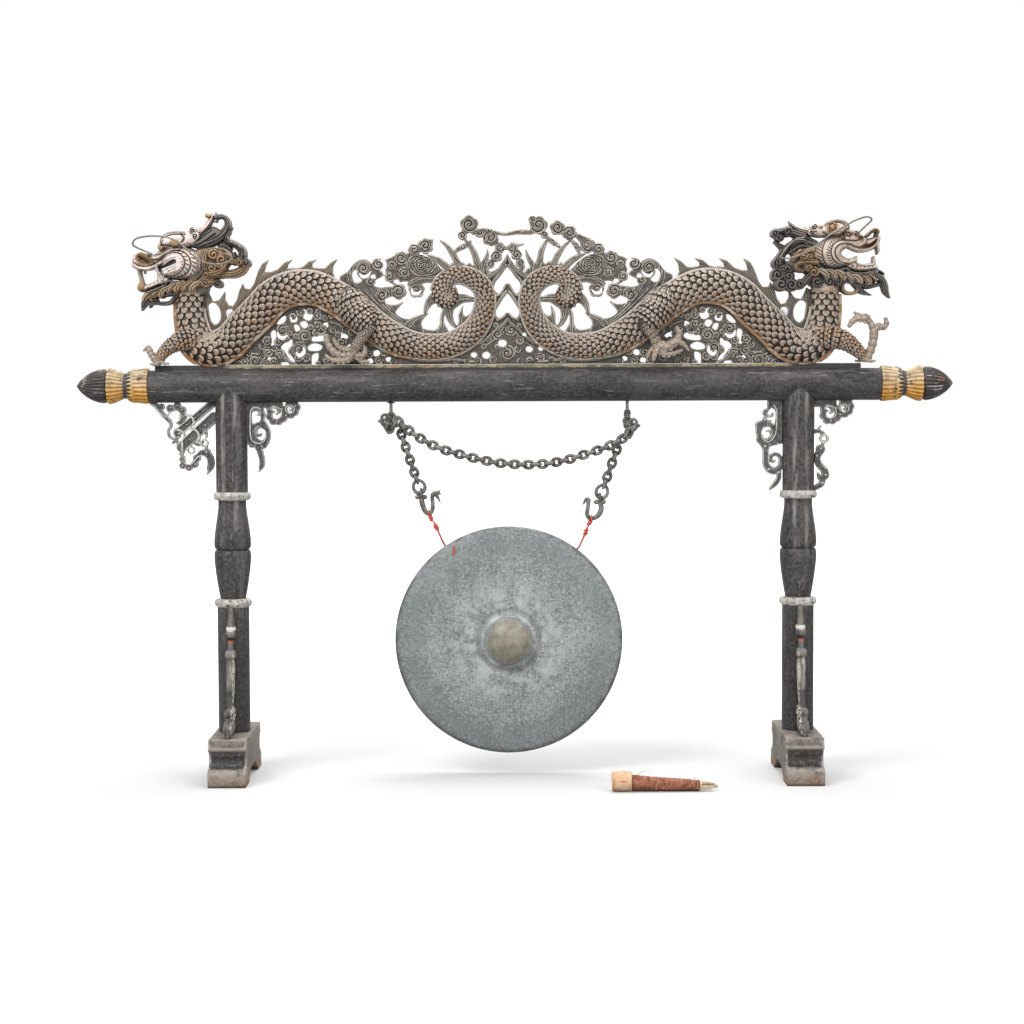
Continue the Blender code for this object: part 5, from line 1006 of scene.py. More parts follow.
def make_cord(suffix, bow, knot, rim_angle, face_holes, seed):
    """A cord doubled over a hook's bow, knotted, then a single strand through the gong's rim."""
    pile = Pile()
    bow = np.array([bow[0], PLANE, bow[1]])
    knot = np.array([knot[0], PLANE, knot[1]])
    reach = HOOK_WIRE + CORD_RADIUS + 0.0009
    down = unit(knot - bow)
    loop = []
    for k in range(17):
        angle = math.radians(-112 + 224 * k / 16)
        loop.append(bow + np.array([0, math.sin(angle) * reach, math.cos(angle) * reach]) + down * 0.0012)
    front = flowing([knot + [0, -0.0022, 0.006], bow + down * 0.020 + [0, -0.0035, 0], loop[0]], 6)
    behind = flowing([loop[-1], bow + down * 0.020 + [0, 0.0035, 0], knot + [0, 0.0022, 0.006]], 6)
    doubled = np.vstack([front[:-1], loop, behind[1:]])
    strand(pile, doubled, CORD_RADIUS * 1.12)
    for share in (0.22, 0.32, 0.42):
        middle = bow + down * np.linalg.norm(knot - bow) * share
        side = np.cross(down, [0, 1, 0])
        ring = []
        for k in range(16):
            angle = 2 * math.pi * k / 16
            ring.append(middle + side * math.cos(angle) * 0.0044 + np.array([0, 1, 0]) * math.sin(angle) * 0.0050
                        + down * 0.0030 * math.cos(angle + share * 9))
        pile.sweep(np.array(ring), CORD_RADIUS * 0.95, sides=12, flutes=3, flute_depth=0.22, twist=520, closed=True)
    knot_shape(pile, knot, knot - bow, 0.0090, seed)
    route = [
        knot,
        on_gong(GONG_RADIUS * 1.030, rim_angle, RIM_HOLE_DEPTH - 0.004),
        on_gong(GONG_RADIUS * 1.012, rim_angle, RIM_HOLE_DEPTH),
        on_gong(GONG_RADIUS * 0.952, rim_angle, RIM_HOLE_DEPTH),
    ]
    if face_holes:
        (r1, a1), (r2, a2) = face_holes
        clear = CORD_RADIUS * 0.7
        route += [
            on_gong(r1, a1, RIM_HOLE_DEPTH - 0.010),
            on_gong(r1, a1, face_depth(r1) + GONG_WALL),
            on_gong(r1, a1, face_depth(r1) - clear),
            on_gong(r2, a2, face_depth(r2) - clear),
            on_gong(r2, a2, face_depth(r2) + GONG_WALL),
            on_gong(r2, a2, face_depth(r2) + GONG_WALL + 0.007),
        ]
    single = Pile()
    path = flowing(route, 8)
    path = strand(single, path, CORD_RADIUS * 1.35)
    obj = single.made("cord_" + suffix, RED_CORD)
    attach(obj, "gong_and_cords")
    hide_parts("cord_" + suffix)
    knot_shape(pile, path[-1], path[-1] - path[-3], 0.0052, seed + 1)
    ties = pile.made("cord_knots_" + suffix, RED_CORD)
    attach(ties, "gong_and_cords")
    return obj


make_cord("left", LEFT_BOW, LEFT_KNOT, LEFT_RIM_ANGLE, FACE_HOLES, 3)
make_cord("right", RIGHT_BOW, RIGHT_KNOT, RIGHT_RIM_ANGLE, (), 8)


# Beam, posts, feet and braces


def make_beam():
    """A long round beam, planed flat on top where the carving stands, with the small unevenness of hand work."""
    half = BEAM_LENGTH / 2
    seat = BEAM_HEIGHT + math.sqrt(BEAM_RADIUS**2 - 0.018**2)
    stations = [-half, -half + 0.0015] + list(np.linspace(-half + 0.004, half - 0.004, 120)) + [half - 0.0015, half]
    ease = [0.960, 0.990] + [1.0] * 120 + [0.990, 0.960]
    sides = 72
    points = []
    for x, share in zip(stations, ease):
        for k in range(sides):
            angle = 2 * math.pi * k / sides
            wave = 1 - 0.010 * (0.5 + 0.5 * noise.noise(Vector((x * 5, math.cos(angle) * 1.4, math.sin(angle) * 1.4))))
            y, z = BEAM_RADIUS * share * wave * math.cos(angle), BEAM_RADIUS * share * wave * math.sin(angle)
            points.append((x, PLANE + y, min(BEAM_HEIGHT + z, seat)))
    faces = []
    rows = len(stations)
    for i in range(rows - 1):
        for k in range(sides):
            n = (k + 1) % sides
            faces.append((i * sides + k, i * sides + n, (i + 1) * sides + n, (i + 1) * sides + k))
    faces.append(tuple(range(sides - 1, -1, -1)))
    faces.append(tuple((rows - 1) * sides + k for k in range(sides)))
    pile = Pile()
    pile.add(points, [tuple(reversed(face)) for face in faces])
    dress(pile.made("beam_turned", CHARCOAL_BEAM, 30), STAND, "charcoal_wood", "beam")


def bead(middle, half, radius, base, count=9):
    """A half-round moulding, from its top down."""
    made = []
    for k in range(count):
        angle = math.radians(90 - 180 * k / (count - 1))
        made.append((base + (radius - base) * math.cos(angle) ** 0.75, middle + half * math.sin(angle)))
    return made


def post_profile():
    """(radius, height) down a post: plain shaft, beads, two vase swellings either side of a quirk, and the lower shaft."""
    upper, lower, quirk = 0.741, 0.461, 0.601
    shape = [(0.0, 1.030), (0.0415, 1.030), (0.0417, 0.90), (0.0415, upper + 0.012)]
    shape += bead(upper, 0.0098, 0.0490, 0.0418)
    shape += [(0.0372, upper - 0.0112), (0.0364, upper - 0.014), (0.0366, upper - 0.028), (0.0386, upper - 0.046)]
    shape += [(0.0420, quirk + 0.072), (0.0455, quirk + 0.048), (0.0476, quirk + 0.028), (0.0480, quirk + 0.016)]
    shape += [(0.0474, quirk + 0.0075), (0.0455, quirk + 0.0028), (0.0428, quirk + 0.0010), (0.0422, quirk)]
    shape += [(0.0428, quirk - 0.0010), (0.0455, quirk - 0.0028), (0.0474, quirk - 0.0075), (0.0480, quirk - 0.017)]
    shape += [(0.0474, quirk - 0.032), (0.0448, quirk - 0.058), (0.0408, quirk - 0.086), (0.0366, quirk - 0.112)]
    shape += [(0.0345, lower + 0.018), (0.0337, lower + 0.0125), (0.0345, lower + 0.0112)]
    shape += bead(lower, 0.0098, 0.0490, 0.0410)
    shape += [(0.0416, lower - 0.012), (0.0417, 0.30), (0.0415, 0.1222), (0.0, 0.1222)]
    return shape


def make_posts():
    for side, suffix in ((-1, "left"), (1, "right")):
        pile = Pile()

        def hand(angle, height, side=side):
            return 1 - 0.008 * (0.5 + 0.5 * noise.noise(Vector((math.cos(angle) * 1.6, math.sin(angle) * 1.6, height * 7 + side * 9))))

        profile = []
        shape = post_profile()
        for (r1, h1), (r2, h2) in zip(shape, shape[1:]):
            steps = max(1, int(abs(h2 - h1) / 0.02))
            profile += [(lerp(r1, r2, k / steps), lerp(h1, h2, k / steps)) for k in range(steps)]
        profile.append(shape[-1])
        pile.turned([(r, h) for r, h in reversed(profile)], np.array([side * POST_X, PLANE, 0.0]), (0, 0, 1), 72, hand)
        dress(pile.made("post_turned_" + suffix, CHARCOAL_POST, 32), STAND, "charcoal_wood", "post_" + suffix)


def foot_outline():
    """(y, z) round half a foot from its top middle: eased shoulder, fillet, deep cove, heavy toe and the arch under it."""
    half, high = 0.180, 0.122
    side = [(0.0, high), (half - 0.022, high), (half - 0.0195, high - 0.018), (half - 0.0135, high - 0.0225), (half - 0.0135, high - 0.0275)]
    side.append((half - 0.0195, high - 0.031))
    for step in range(1, 12):
        turn = math.pi * step / 12
        side.append((half - 0.0195 - 0.0175 * math.sin(turn), high - 0.031 - 0.044 * (1 - math.cos(turn)) / 2))
    side += [(half - 0.012, high - 0.0765), (half - 0.0035, high - 0.082), (half - 0.0005, high - 0.088)]
    side += [(half, 0.020), (half - 0.0015, 0.004), (half - 0.004, 0.0), (half * 0.56, 0.0), (half * 0.53, 0.006)]
    side += [(half * 0.50, 0.013), (half * 0.45, 0.0165), (half * 0.42, 0.019), (half * 0.385, 0.0255), (half * 0.34, 0.030)]
    side += [(half * 0.2, 0.033), (0.0, 0.034)]
    return side


def extruded(outline, low, high, place, bevel, segments=3):
    """A board cut to an outline and its long edges eased, as a bmesh; place(a, b, c) gives the world point."""
    shape = bmesh.new()
    near = [shape.verts.new(place(a, b, low)) for a, b in outline]
    far = [shape.verts.new(place(a, b, high)) for a, b in outline]
    shape.faces.new(near)
    shape.faces.new(list(reversed(far)))
    count = len(outline)
    for k in range(count):
        n = (k + 1) % count
        shape.faces.new((near[n], near[k], far[k], far[n]))
    bmesh.ops.recalc_face_normals(shape, faces=shape.faces)
    edges = [e for e in shape.edges if len(e.link_faces) == 2 and e.calc_face_angle() > math.radians(50)]
    bmesh.ops.bevel(shape, geom=edges, offset=bevel, segments=segments, affect="EDGES", clamp_overlap=True, profile=0.5)
    return shape


def make_feet():
    for side, suffix in ((-1, "left"), (1, "right")):
        half = foot_outline()
        outline = half + [(-y, z) for y, z in half[-2:0:-1]]
        shape = extruded(outline, -0.049, 0.049, lambda y, z, x, side=side: (side * POST_X + x, PLANE + y, z), 0.0022)
        bmesh.ops.triangulate(shape, faces=[f for f in shape.faces if len(f.verts) > 4])
        mesh = bpy.data.meshes.new("foot_block_" + suffix)
        shape.to_mesh(mesh)
        shape.free()
        dress(shown("foot_block_" + suffix, mesh, FOOT_WOOD, 35), STAND, "worn_grey_wood", "foot_" + suffix)


def brace_finish():
    """Stained brace whose carved pieces differ from the foot up: knob, block, bleached strip, blocks and a tapered head."""
    paint = Paint("worn_grey_wood_brace", 0.62)
    height = paint.part_of(2)
    streak = paint.noise(60, 6, 0.7, (1, 1, 0.16))
    colour = paint.mixed(paint.span(streak, 0.38, 0.62), seen(62, 59, 58), seen(124, 118, 112))

    def band(low, high, colour, over, strength):
        share = paint.maths("MULTIPLY", paint.span(height, low - 0.004, low + 0.002), paint.span(height, high + 0.004, high - 0.002))
        return paint.mixed(paint.maths("MULTIPLY", share, strength), colour, over)

    pale = paint.mixed(paint.span(streak, 0.40, 0.60), seen(110, 104, 96), seen(206, 196, 182))
    bleached = paint.maths("MULTIPLY", paint.span(height, 0.225, 0.300), paint.span(height, 0.325, 0.320))
    colour = paint.mixed(paint.maths("MULTIPLY", bleached, paint.span(streak, 0.30, 0.50, 0.5, 1.0)), colour, pale)
    colour = band(0.196, 0.236, colour, seen(44, 42, 42), 0.75)
    colour = band(0.326, 0.343, colour, seen(136, 132, 126), 0.7)
    colour = band(0.348, 0.360, colour, seen(96, 110, 112), 0.7)
    colour = band(0.362, 0.368, colour, seen(196, 96, 62), 0.8)
    colour = band(0.369, 0.376, colour, seen(24, 23, 23), 0.9)
    colour = band(0.394, 0.401, colour, seen(232, 228, 222), 0.95)
    inner = paint.span(paint.maths("ABSOLUTE", paint.part_of(0)), POST_X - 0.0050, POST_X - 0.0072)
    flaked = paint.maths("MULTIPLY", paint.span(paint.noise(110, 5, 0.7), 0.44, 0.56), paint.span(height, 0.345, 0.325))
    colour = paint.mixed(paint.maths("MULTIPLY", inner, flaked), colour, seen(198, 190, 180))
    # painted shade: crevices darkened
    colour = paint.mixed(paint.maths("MULTIPLY", paint.painted_crevice_shade(0.010), 0.8), colour, seen(30, 28, 28))
    paint.bump(streak, 0.5, 0.0010)
    return paint.done(colour)


BRACE_WOOD = brace_finish()
# how thick a brace is at each height above the floor, in millimetres and as a share of its thickest
BRACE_HEIGHTS = [118, 131, 140, 160, 166, 170, 190, 195, 200, 240, 300, 321, 323, 340, 344, 348, 366, 372, 377, 392, 394, 401, 404, 450]
BRACE_THICKNESS = [0.5, 0.7, 0.95, 0.95, 0.55, 0.9, 0.9, 0.45, 0.55, 0.75, 0.8, 0.6, 1.0, 1.0, 0.5, 0.45, 0.45, 0.5, 0.9, 0.85, 1.0, 1.0, 0.7, 0.45]


def make_braces():
    """Scrolled braces in front of and behind each post, standing on its foot."""
    for side, suffix in ((-1, "left"), (1, "right")):
        for toward, where in ((-1, "front"), (1, "back")):
            relief = Relief((36, 118), (160, 455), 1.15)
            relief.join(relief.patch([(43, 122), (54, 122), (54, 409), (43, 409)], False), 0.35, 0.15, 4)
            relief.join(relief.patch([(43, 122), (150, 122), (150, 134), (43, 138)], False), 0.35, 0.15, 4)
            spine = [(52, 445), (56, 400), (69, 352), (74, 290), (82, 220), (114, 172), (138, 134)]
            relief.join(relief.stroke(spine, [12, 20, 18, 26, 20, 24, 20]), 0.55, 0.45, 9)
            for u, w, r in ((73, 383, 11), (78, 331, 14), (119, 181, 13), (135, 142, 18)):
                relief.cloud(u, w, r, 90, 1, 0.5, 0.5)
            curl = [(77 + 24 * (1 - k / 14) ** 0.8 * math.cos(1.05 + 5.6 * k / 14), 174 + 24 * (1 - k / 14) ** 0.8 * math.sin(1.05 + 5.6 * k / 14)) for k in range(14)]
            relief.join(relief.stroke(curl, [10] * 14), 0.45, 0.45, 5)
            relief.groove([(62, 402), (72, 350), (74, 290), (88, 220), (120, 172)], 2.2, 0.3)
            relief.rise = relief.rise * np.interp(relief.w, BRACE_HEIGHTS, BRACE_THICKNESS)
            relief.w = np.maximum(relief.w, 122.4)
            relief.board(
                f"brace_carved_{where}_{suffix}", (side * POST_X, PLANE, 0.0), (0, toward * 0.001, 0), (0, 0, 0.001),
                (1, 0, 0), 0.012, BRACE_WOOD, lip=0.30, edge=4,
            )
            dress(bpy.data.objects[f"brace_carved_{where}_{suffix}"], STAND, "worn_grey_wood", f"brace_{where}_{suffix}")


# Finials


def make_finials():
    for side, suffix in ((-1, "left"), (1, "right")):
        axis = np.array([side, 0.0, 0.0])
        base = np.array([side * (BEAM_LENGTH / 2 + 0.0003), PLANE, BEAM_HEIGHT])
        collar = Pile()
        petals = 24

        def inner(angle, height):
            share = min(max(height / 0.050, 0), 1)
            return 1 - 0.070 * (0.5 - 0.5 * math.cos(petals * angle)) ** 1.5 * lerp(1.0, 0.7, share)

        first = [(0.0, 0.0), (0.0440, 0.0), (0.0462, 0.0015), (0.0468, 0.006), (0.0462, 0.014), (0.0444, 0.026), (0.0438, 0.034), (0.0440, 0.040), (0.0425, 0.0436), (0.0395, 0.0440), (0.0, 0.0440)]
        collar.turned(first, base, axis, 192, inner)
        waist = [(0.0, 0.040), (0.0405, 0.0405), (0.0400, 0.046), (0.0372, 0.052), (0.0340, 0.058), (0.0330, 0.063), (0.0330, 0.068), (0.0, 0.069)]
        collar.turned(waist, base, axis, 66, lambda angle, height: 1 - 0.05 * (0.5 - 0.5 * math.cos(petals * angle)), tint=1.0)

        def outer(angle, height):
            return 1 - 0.070 * (0.5 - 0.5 * math.cos(petals * angle)) ** 1.5

        second = [(0.0, 0.064), (0.0325, 0.0645), (0.0350, 0.070), (0.0395, 0.080), (0.0440, 0.090), (0.0462, 0.098), (0.0470, 0.103), (0.0462, 0.1072), (0.0440, 0.1078), (0.0, 0.1078)]
        collar.turned(second, base, axis, 192, outer)
        # the petals are marked dark between them, a painted shade in the grooves
        collar.wear_and_shade = [
            np.array([petal_painted_shade(point, base, axis, petals) for point in points]) for points in collar.points
        ]
        for k in range(petals):
            angle = 2 * math.pi * (k + 0.5) / petals
            up, back = math.sin(angle), math.cos(angle)
            out = np.array([0.0, back, up])
            root, tip = base + axis * 0.0435 + out * 0.0420, base + axis * 0.0545 + out * 0.0375
            collar.sweep([root - axis * 0.006, root, tip], [0.0040, 0.0036, 0.0008], [0.0020, 0.0020, 0.0008], 10, toward=out)
        dress(collar.made("finial_petals_" + suffix, COLLAR_GILT, 38), STAND, "gilded_wood", "finial_collar_" + suffix)
        bud = Pile()
        ribs = 28

        def ribbed(angle, height):
            fade = min(1.0, height / 0.006, max(0.0, (0.084 - height) / 0.02))
            return 1 - 0.055 * fade * (1 - abs(math.cos(ribs / 2 * angle))) ** 0.9

        start = base + axis * 0.1081
        shape = [(0.0, 0.0), (0.0385, 0.0002), (0.0420, 0.0030), (0.0442, 0.0075), (0.0446, 0.0125), (0.0440, 0.0180), (0.0424, 0.0260)]
        shape += [(0.0396, 0.0350), (0.0352, 0.0450), (0.0292, 0.0550), (0.0215, 0.0650), (0.0140, 0.0725), (0.0078, 0.0775), (0.0038, 0.0803), (0.0015, 0.0815), (0.0, 0.0818)]
        bud.turned(shape, start, axis, 224, ribbed)
        # the bud's ribs are marked pale for rubbing and its flute grooves dark, as painted shade
        bud.wear_and_shade = [np.array([rib_rub_and_shade(point, start, ribs) for point in points]) for points in bud.points]
        dress(bud.made("finial_ribbed_bud_" + suffix, BUD_WOOD, 45), STAND, "charcoal_wood", "finial_bud_" + suffix)


def turn_angle(point, base):
    """Angle round the beam's axis, as the turned shapes count it."""
    return math.atan2(point[2] - base[2], point[1] - base[1])


def petal_painted_shade(point, base, axis, petals):
    guide = np.cross([0, 0, 1.0], axis)
    other = np.cross(axis, guide)
    off = np.asarray(point) - base
    angle = math.atan2(off @ other, off @ guide)
    return 0.6 * math.cos(petals * angle) if np.hypot(off @ other, off @ guide) > 0.02 else 0.0


def rib_rub_and_shade(point, base, ribs):
    off = np.asarray(point) - base
    guide = np.cross([0, 0, 1.0], [np.sign(base[0]), 0, 0])
    other = np.cross([np.sign(base[0]), 0, 0], guide)
    angle = math.atan2(off @ other, off @ guide)
    return 1.4 * abs(math.cos(ribs / 2 * angle)) - 0.8


make_beam()
make_posts()
make_feet()
make_braces()
make_finials()


# Brackets under the beam, drawn out from the post's axis and down from the beam


def bracket_board(name, post_x, relief, node):
    obj = relief.board(
        name, (post_x, PLANE, BEAM_HEIGHT - BEAM_RADIUS), (SQUARE, 0, 0), (0, 0, -SQUARE), (0, -1, 0), 0.009,
        BRACKET_WOOD, lip=0.5, edge=1.0, rubbed=2.0, rim=0.35,
    )
    return dress(obj, STAND, "grey_green_fretwork", node)


class BracketDrawing(Relief):
    """A bracket drawn in squares right of a post's axis and below the beam, shifted to lie as it does in the drawing."""

    def __init__(self, low, high, axis, top):
        super().__init__((low[0] - axis, low[1] - top), (high[0] - axis, high[1] - top), 0.32)
        self.shift = np.array([axis, top])

    def at(self, places):
        return [tuple(np.subtract(place, self.shift)) for place in places]

    def plate(self, *places, soft=True, level=0.38, crown=0.12):
        self.join(self.patch(self.at(places), soft), level, crown, 2.0)

    def band(self, widths, *places, level=0.42, crown=0.28):
        self.join(self.stroke(self.at(places), widths), level, crown, 2.2)

    def rail(self, *places, width=1.3, level=0.80):
        self.join(self.stroke(self.at(places), width), level, 0.2, 0.6, -1.0)

    def hole(self, *places):
        self.pierce(self.patch(self.at(places)))

    def nails(self, *places, radius=0.85):
        for u, w in self.at(places):
            self.join(self.disc(u, w, radius), 0.75, 0.25, radius, -0.8)

    def lobe(self, radius, *places):
        for u, w in self.at(places):
            self.join(self.disc(u, w, radius), 0.40, 0.25, radius * 0.6)


def curl_route(x, y, radius, start, sweep, inner=0.35):
    """Places along a curl that winds inward, angles in degrees clockwise on the drawing."""
    return [
        (x + radius * lerp(1, inner, k / 12) * math.cos(math.radians(start + sweep * k / 12)),
         y + radius * lerp(1, inner, k / 12) * math.sin(math.radians(start + sweep * k / 12)))
        for k in range(13)
    ]


def bar_with_rails(r, first, last, width):
    """A flat bar with a pale raised rail near each edge, dark between them, and nails down its middle."""
    along = unit(np.subtract(last, first))
    across = np.array([-along[1], along[0]])
    r.band(width, first, last, level=0.36, crown=0.06)
    for sign in (-1, 1):
        edge = across * (width / 2 - 0.8) * sign
        r.rail(tuple(np.add(first, edge)), tuple(np.add(last, edge)), width=1.2)
    for share in (0.25, 0.5, 0.75):
        r.nails(tuple(lerp(np.array(first), np.array(last), share)), radius=0.8)


def make_brackets():
    left, right = -POST_X, POST_X
    r = BracketDrawing((146, 399), (219, 478), 231.7, 402.1)
    # the scroll that leaves the beam's end and the cloud that it grows into
    r.band([4.2, 5.4, 4.6, 4.4, 3.4], (152.4, 402.6), (157.0, 405.4), (161.4, 411.6), (166.6, 417.2), (170.4, 421.4))
    r.lobe(3.4, (161.6, 406.2))
    r.rail((152.6, 404.0), (156.6, 406.6), (160.6, 412.6), (166.6, 416.2), (169.4, 412.4), (176.6, 409.8), (181.2, 413.4), (180.8, 418.6), (176.6, 422.4))
    for place in ((170.6, 407.8), (177.6, 405.4), (182.6, 409.6), (183.2, 416.0), (180.8, 420.6)):
        r.lobe(4.0, place)
    r.nails((171.4, 406.6), (178.0, 404.6), (182.6, 409.0), (184.0, 415.6))
    r.hole((170.2, 415.6), (173.6, 412.0), (177.8, 411.8), (179.8, 415.4), (178.8, 419.8), (174.4, 422.0), (170.6, 419.6))
    # the loop and its small curl
    r.band([3.0, 3.2, 3.2, 3.0, 3.0, 2.6], (170.0, 419.6), (171.2, 424.6), (168.4, 430.0), (169.6, 436.0), (175.0, 438.4), (179.6, 436.0), level=0.55)
    r.band([2.4] * 10 + [2.2, 2.0, 1.8], *curl_route(178.2, 431.6, 4.4, 120, 330), level=0.55)
    r.lobe(1.7, (173.4, 441.8), (176.4, 440.0))
    r.band([3.4, 3.6, 3.4, 1.2], (174.4, 440.2), (179.2, 443.4), (181.2, 448.6), (179.6, 454.4), level=0.55)
    # two barred arms that clasp one another
    bar_with_rails(r, (213.0, 403.0), (178.6, 431.4), 8.2)
    bar_with_rails(r, (214.0, 417.0), (181.8, 446.4), 11.0)
    r.rail((182.4, 440.2), (182.6, 449.8), width=2.0)
    r.rail(*curl_route(187.2, 421.4, 7.0, 262, 120, 1.0), width=2.3, level=0.95)
    r.rail(*curl_route(190.8, 436.4, 8.6, 262, 130, 1.0), width=2.5, level=0.95)
    r.rail(*curl_route(179.8, 434.2, 4.6, 250, 150, 1.0), width=2.0, level=0.9)
    r.band([4.2, 3.2, 2.0], (204.6, 430.0), (206.6, 433.6), (206.2, 437.0))
    # the links between the arms and the lower cloud
    r.rail(*curl_route(204.4, 442.6, 3.3, 0, 360, 1.0), width=2.2, level=0.9)
    r.band([3.0, 3.0], (206.4, 446.0), (205.6, 450.4), level=0.6)
    r.rail(*curl_route(190.8, 449.8, 3.2, 0, 360, 1.0), width=2.0, level=0.9)
    r.band([3.0, 3.2, 3.0], (195.4, 443.4), (199.6, 444.4), (202.6, 441.6), level=0.6)
    # the lower cloud and its claw
    for place, radius in (((182.4, 458.6), 3.6), ((182.6, 465.0), 3.8), ((188.8, 467.0), 3.8), ((194.6, 463.8), 4.0), ((196.8, 457.8), 4.2)):
        r.lobe(radius, place)
    r.band([3.4, 3.4, 3.4], (182.6, 451.6), (181.6, 456.0), (182.6, 460.6), level=0.55)
    r.band([4.4, 6.4, 7.0, 7.4, 6.0, 1.6], (196.0, 457.4), (201.4, 452.4), (207.2, 453.4), (210.4, 459.0), (210.8, 466.4), (206.8, 473.8))
    r.lobe(3.0, (207.8, 451.2))
    r.rail((186.0, 463.8), (190.6, 464.0), (194.4, 460.8), (197.4, 457.0), (202.2, 455.2), (206.4, 457.6), (207.6, 462.6), (206.8, 469.0))
    r.nails((182.6, 465.4), (189.0, 467.4), (195.2, 464.0), (206.8, 451.6), (183.0, 456.0))
    r.hole((185.4, 456.0), (188.6, 454.2), (192.0, 455.2), (192.8, 458.4), (190.6, 461.0), (187.2, 461.2), (185.2, 459.0))
    bracket_board("bracket_clasped_rolls_left", left, r, "bracket_outer_left")

    for name, post, node, axis, top, side in (
        ("bracket_scroll_bar_left", left, "bracket_inner_left", 231.7, 402.1, 0),
        ("bracket_scroll_bar_right", right, "bracket_outer_right", 798.5, 399.7, 1),
    ):
        # both brackets share their rail and clouds, which the right one carries 34 squares further in from the post
        low, high = ((244, 399), (302, 475)) if side == 0 else ((811, 397), (866, 428))
        r = BracketDrawing(low, high, axis, top)
        dx, dy = (0, 0) if side == 0 else (553.4, -1.2)

        def moved(*places):
            return [(x + dx, y + dy) for x, y in places]

        start = 246.4 if side == 0 else 260.0
        r.plate(*moved((start, 400.4), (299.0, 400.4), (299.0, 404.4), (284.0, 405.4), (280.0, 408.4), (start, 407.4)), soft=False)
        r.lobe(4.3, *moved((271.2, 410.6), (270.6, 416.2), (273.8, 420.6), (279.2, 420.8), (283.6, 418.0)))
        r.lobe(4.0, *moved((283.0, 410.8), (287.4, 414.6), (291.6, 414.6), (295.6, 411.8), (297.2, 407.0), (292.4, 405.2)))
        r.plate(*moved((268, 405), (286, 404), (290, 414), (284, 419), (274, 420), (268.4, 413)))
        r.hole(*moved((271.6, 408.4), (276.6, 407.4), (280.6, 410.0), (281.4, 414.8), (278.4, 418.2), (273.8, 417.4), (273.0, 413.4), (275.6, 411.6)))
        r.band([3.4] * 8 + [3.0, 2.6, 2.4, 2.2, 2.0], *moved(*curl_route(275.8, 412.6, 6.4, 250, 150, 0.25)), level=0.55)
        r.rail(*moved(*curl_route(276.4, 412.9, 6.6, 215, 250, 0.9)), width=1.1)
        r.hole(*moved((288.2, 406.8), (291.2, 405.8), (293.6, 408.0), (293.0, 411.6), (289.8, 412.4), (288.0, 409.8)))
        r.band([2.6] * 10 + [2.2, 1.8, 1.4], *moved(*curl_route(290.6, 408.8, 4.2, 200, 260, 0.25)), level=0.55)
        r.rail(*moved(*curl_route(290.8, 409.2, 4.6, 150, 250, 0.95)), width=1.0)
        r.hole(*moved((283.4, 401.6), (286.2, 401.6), (285.6, 405.4), (284.0, 405.4)))
        r.nails(*moved((283.2, 408.6), (296.2, 405.8), (286.6, 415.2), (277.4, 421.4)))
        if side == 0:
            r.plate((246.6, 402), (248.8, 402), (249.0, 444.4), (246.6, 444.4), soft=False)
            r.plate(
                (248.4, 404), (262.4, 405.4), (264.6, 410.4), (266.2, 415.0), (265.0, 419.2), (268.0, 424.0), (271.0, 431.0), (271.0, 438.8),
                (268.4, 444.6), (264.4, 448.8), (254.6, 447.4), (248.6, 443.4),
            )
            r.band([8.4, 6.4, 6.0, 5.8, 1.4], (258.6, 446.4), (260.6, 452.6), (262.2, 460.0), (261.8, 465.4), (259.0, 471.6))
            r.hole((252.4, 413.0), (255.4, 410.8), (259.6, 412.6), (261.0, 417.4), (259.2, 421.4), (253.4, 423.0), (252.2, 418.0))
            r.band([3.4] * 9 + [3.0, 2.6, 2.2, 1.8], *curl_route(257.4, 413.4, 5.6, 230, 190, 0.25), level=0.55)
            r.hole((256.0, 430.6), (260.6, 427.8), (265.0, 430.4), (265.4, 436.0), (262.6, 439.8), (259.4, 438.6), (256.6, 436.0))
            r.band([3.4] * 9 + [3.0, 2.6, 2.2, 1.8], *curl_route(260.6, 432.6, 5.8, 250, -200, 0.25), level=0.55)
            r.rail(
                (261.4, 408.4), (257.0, 406.8), (252.8, 408.4), (251.0, 413.4), (250.8, 424.0), (250.8, 433.6), (252.8, 440.4), (258.2, 443.0),
                (263.6, 441.6), (266.4, 436.6), (265.8, 430.6), (261.4, 427.4), width=1.4,
            )
            r.nails((251.6, 445.0), (263.0, 446.6), (257.0, 422.4), (268.4, 441.6))
        bracket_board(name, post, r, node)

    r = BracketDrawing((752, 397), (786, 491), 798.5, 399.7)
    r.plate((767.4, 398.4), (782.4, 398.4), (782.4, 443.0), (776.6, 444.0), (770.6, 440.0), (767.4, 430.0), (767.0, 412.0), soft=False)
    for place, radius in (((766.4, 411.8), 4.0), ((766.8, 418.6), 4.2), ((762.6, 424.8), 5.4), ((760.4, 431.4), 5.0), ((760.6, 438.4), 4.8), ((765.4, 444.6), 4.8), ((773.6, 442.6), 4.6)):
        r.lobe(radius, place)
    r.band([7.0, 6.4, 6.4, 7.0], (758.6, 424.0), (759.0, 432.0), (760.6, 440.0), (766.0, 447.0))
    r.hole((768.4, 410.4), (772.0, 407.4), (775.4, 410.4), (775.8, 417.0), (774.4, 423.4), (771.4, 421.8), (767.6, 419.6), (767.0, 414.6))
    r.band([2.6] * 9 + [2.4, 2.2, 1.8, 1.6], *curl_route(770.8, 412.2, 4.6, 180, -170, 0.4), level=0.55)
    r.lobe(1.9, (764.8, 418.4), (769.6, 420.8))
    r.hole((762.0, 431.0), (764.6, 427.0), (769.0, 426.6), (771.4, 430.6), (770.6, 436.0), (766.6, 439.0), (763.6, 436.2))
    r.band([3.2] * 9 + [3.0, 2.6, 2.2, 1.8], *curl_route(767.4, 432.4, 6.4, 100, -200, 0.25), level=0.55)
    r.rail(
        (773.4, 404.6), (776.2, 409.4), (776.4, 420.0), (775.8, 430.6), (773.0, 437.4), (767.8, 441.0), (762.6, 437.8), (761.2, 431.4), (763.6, 426.4), width=1.4,
    )
    r.hole((770.0, 448.6), (772.6, 445.4), (782.6, 445.0), (782.6, 449.8), (776.6, 449.4), (772.0, 452.0))
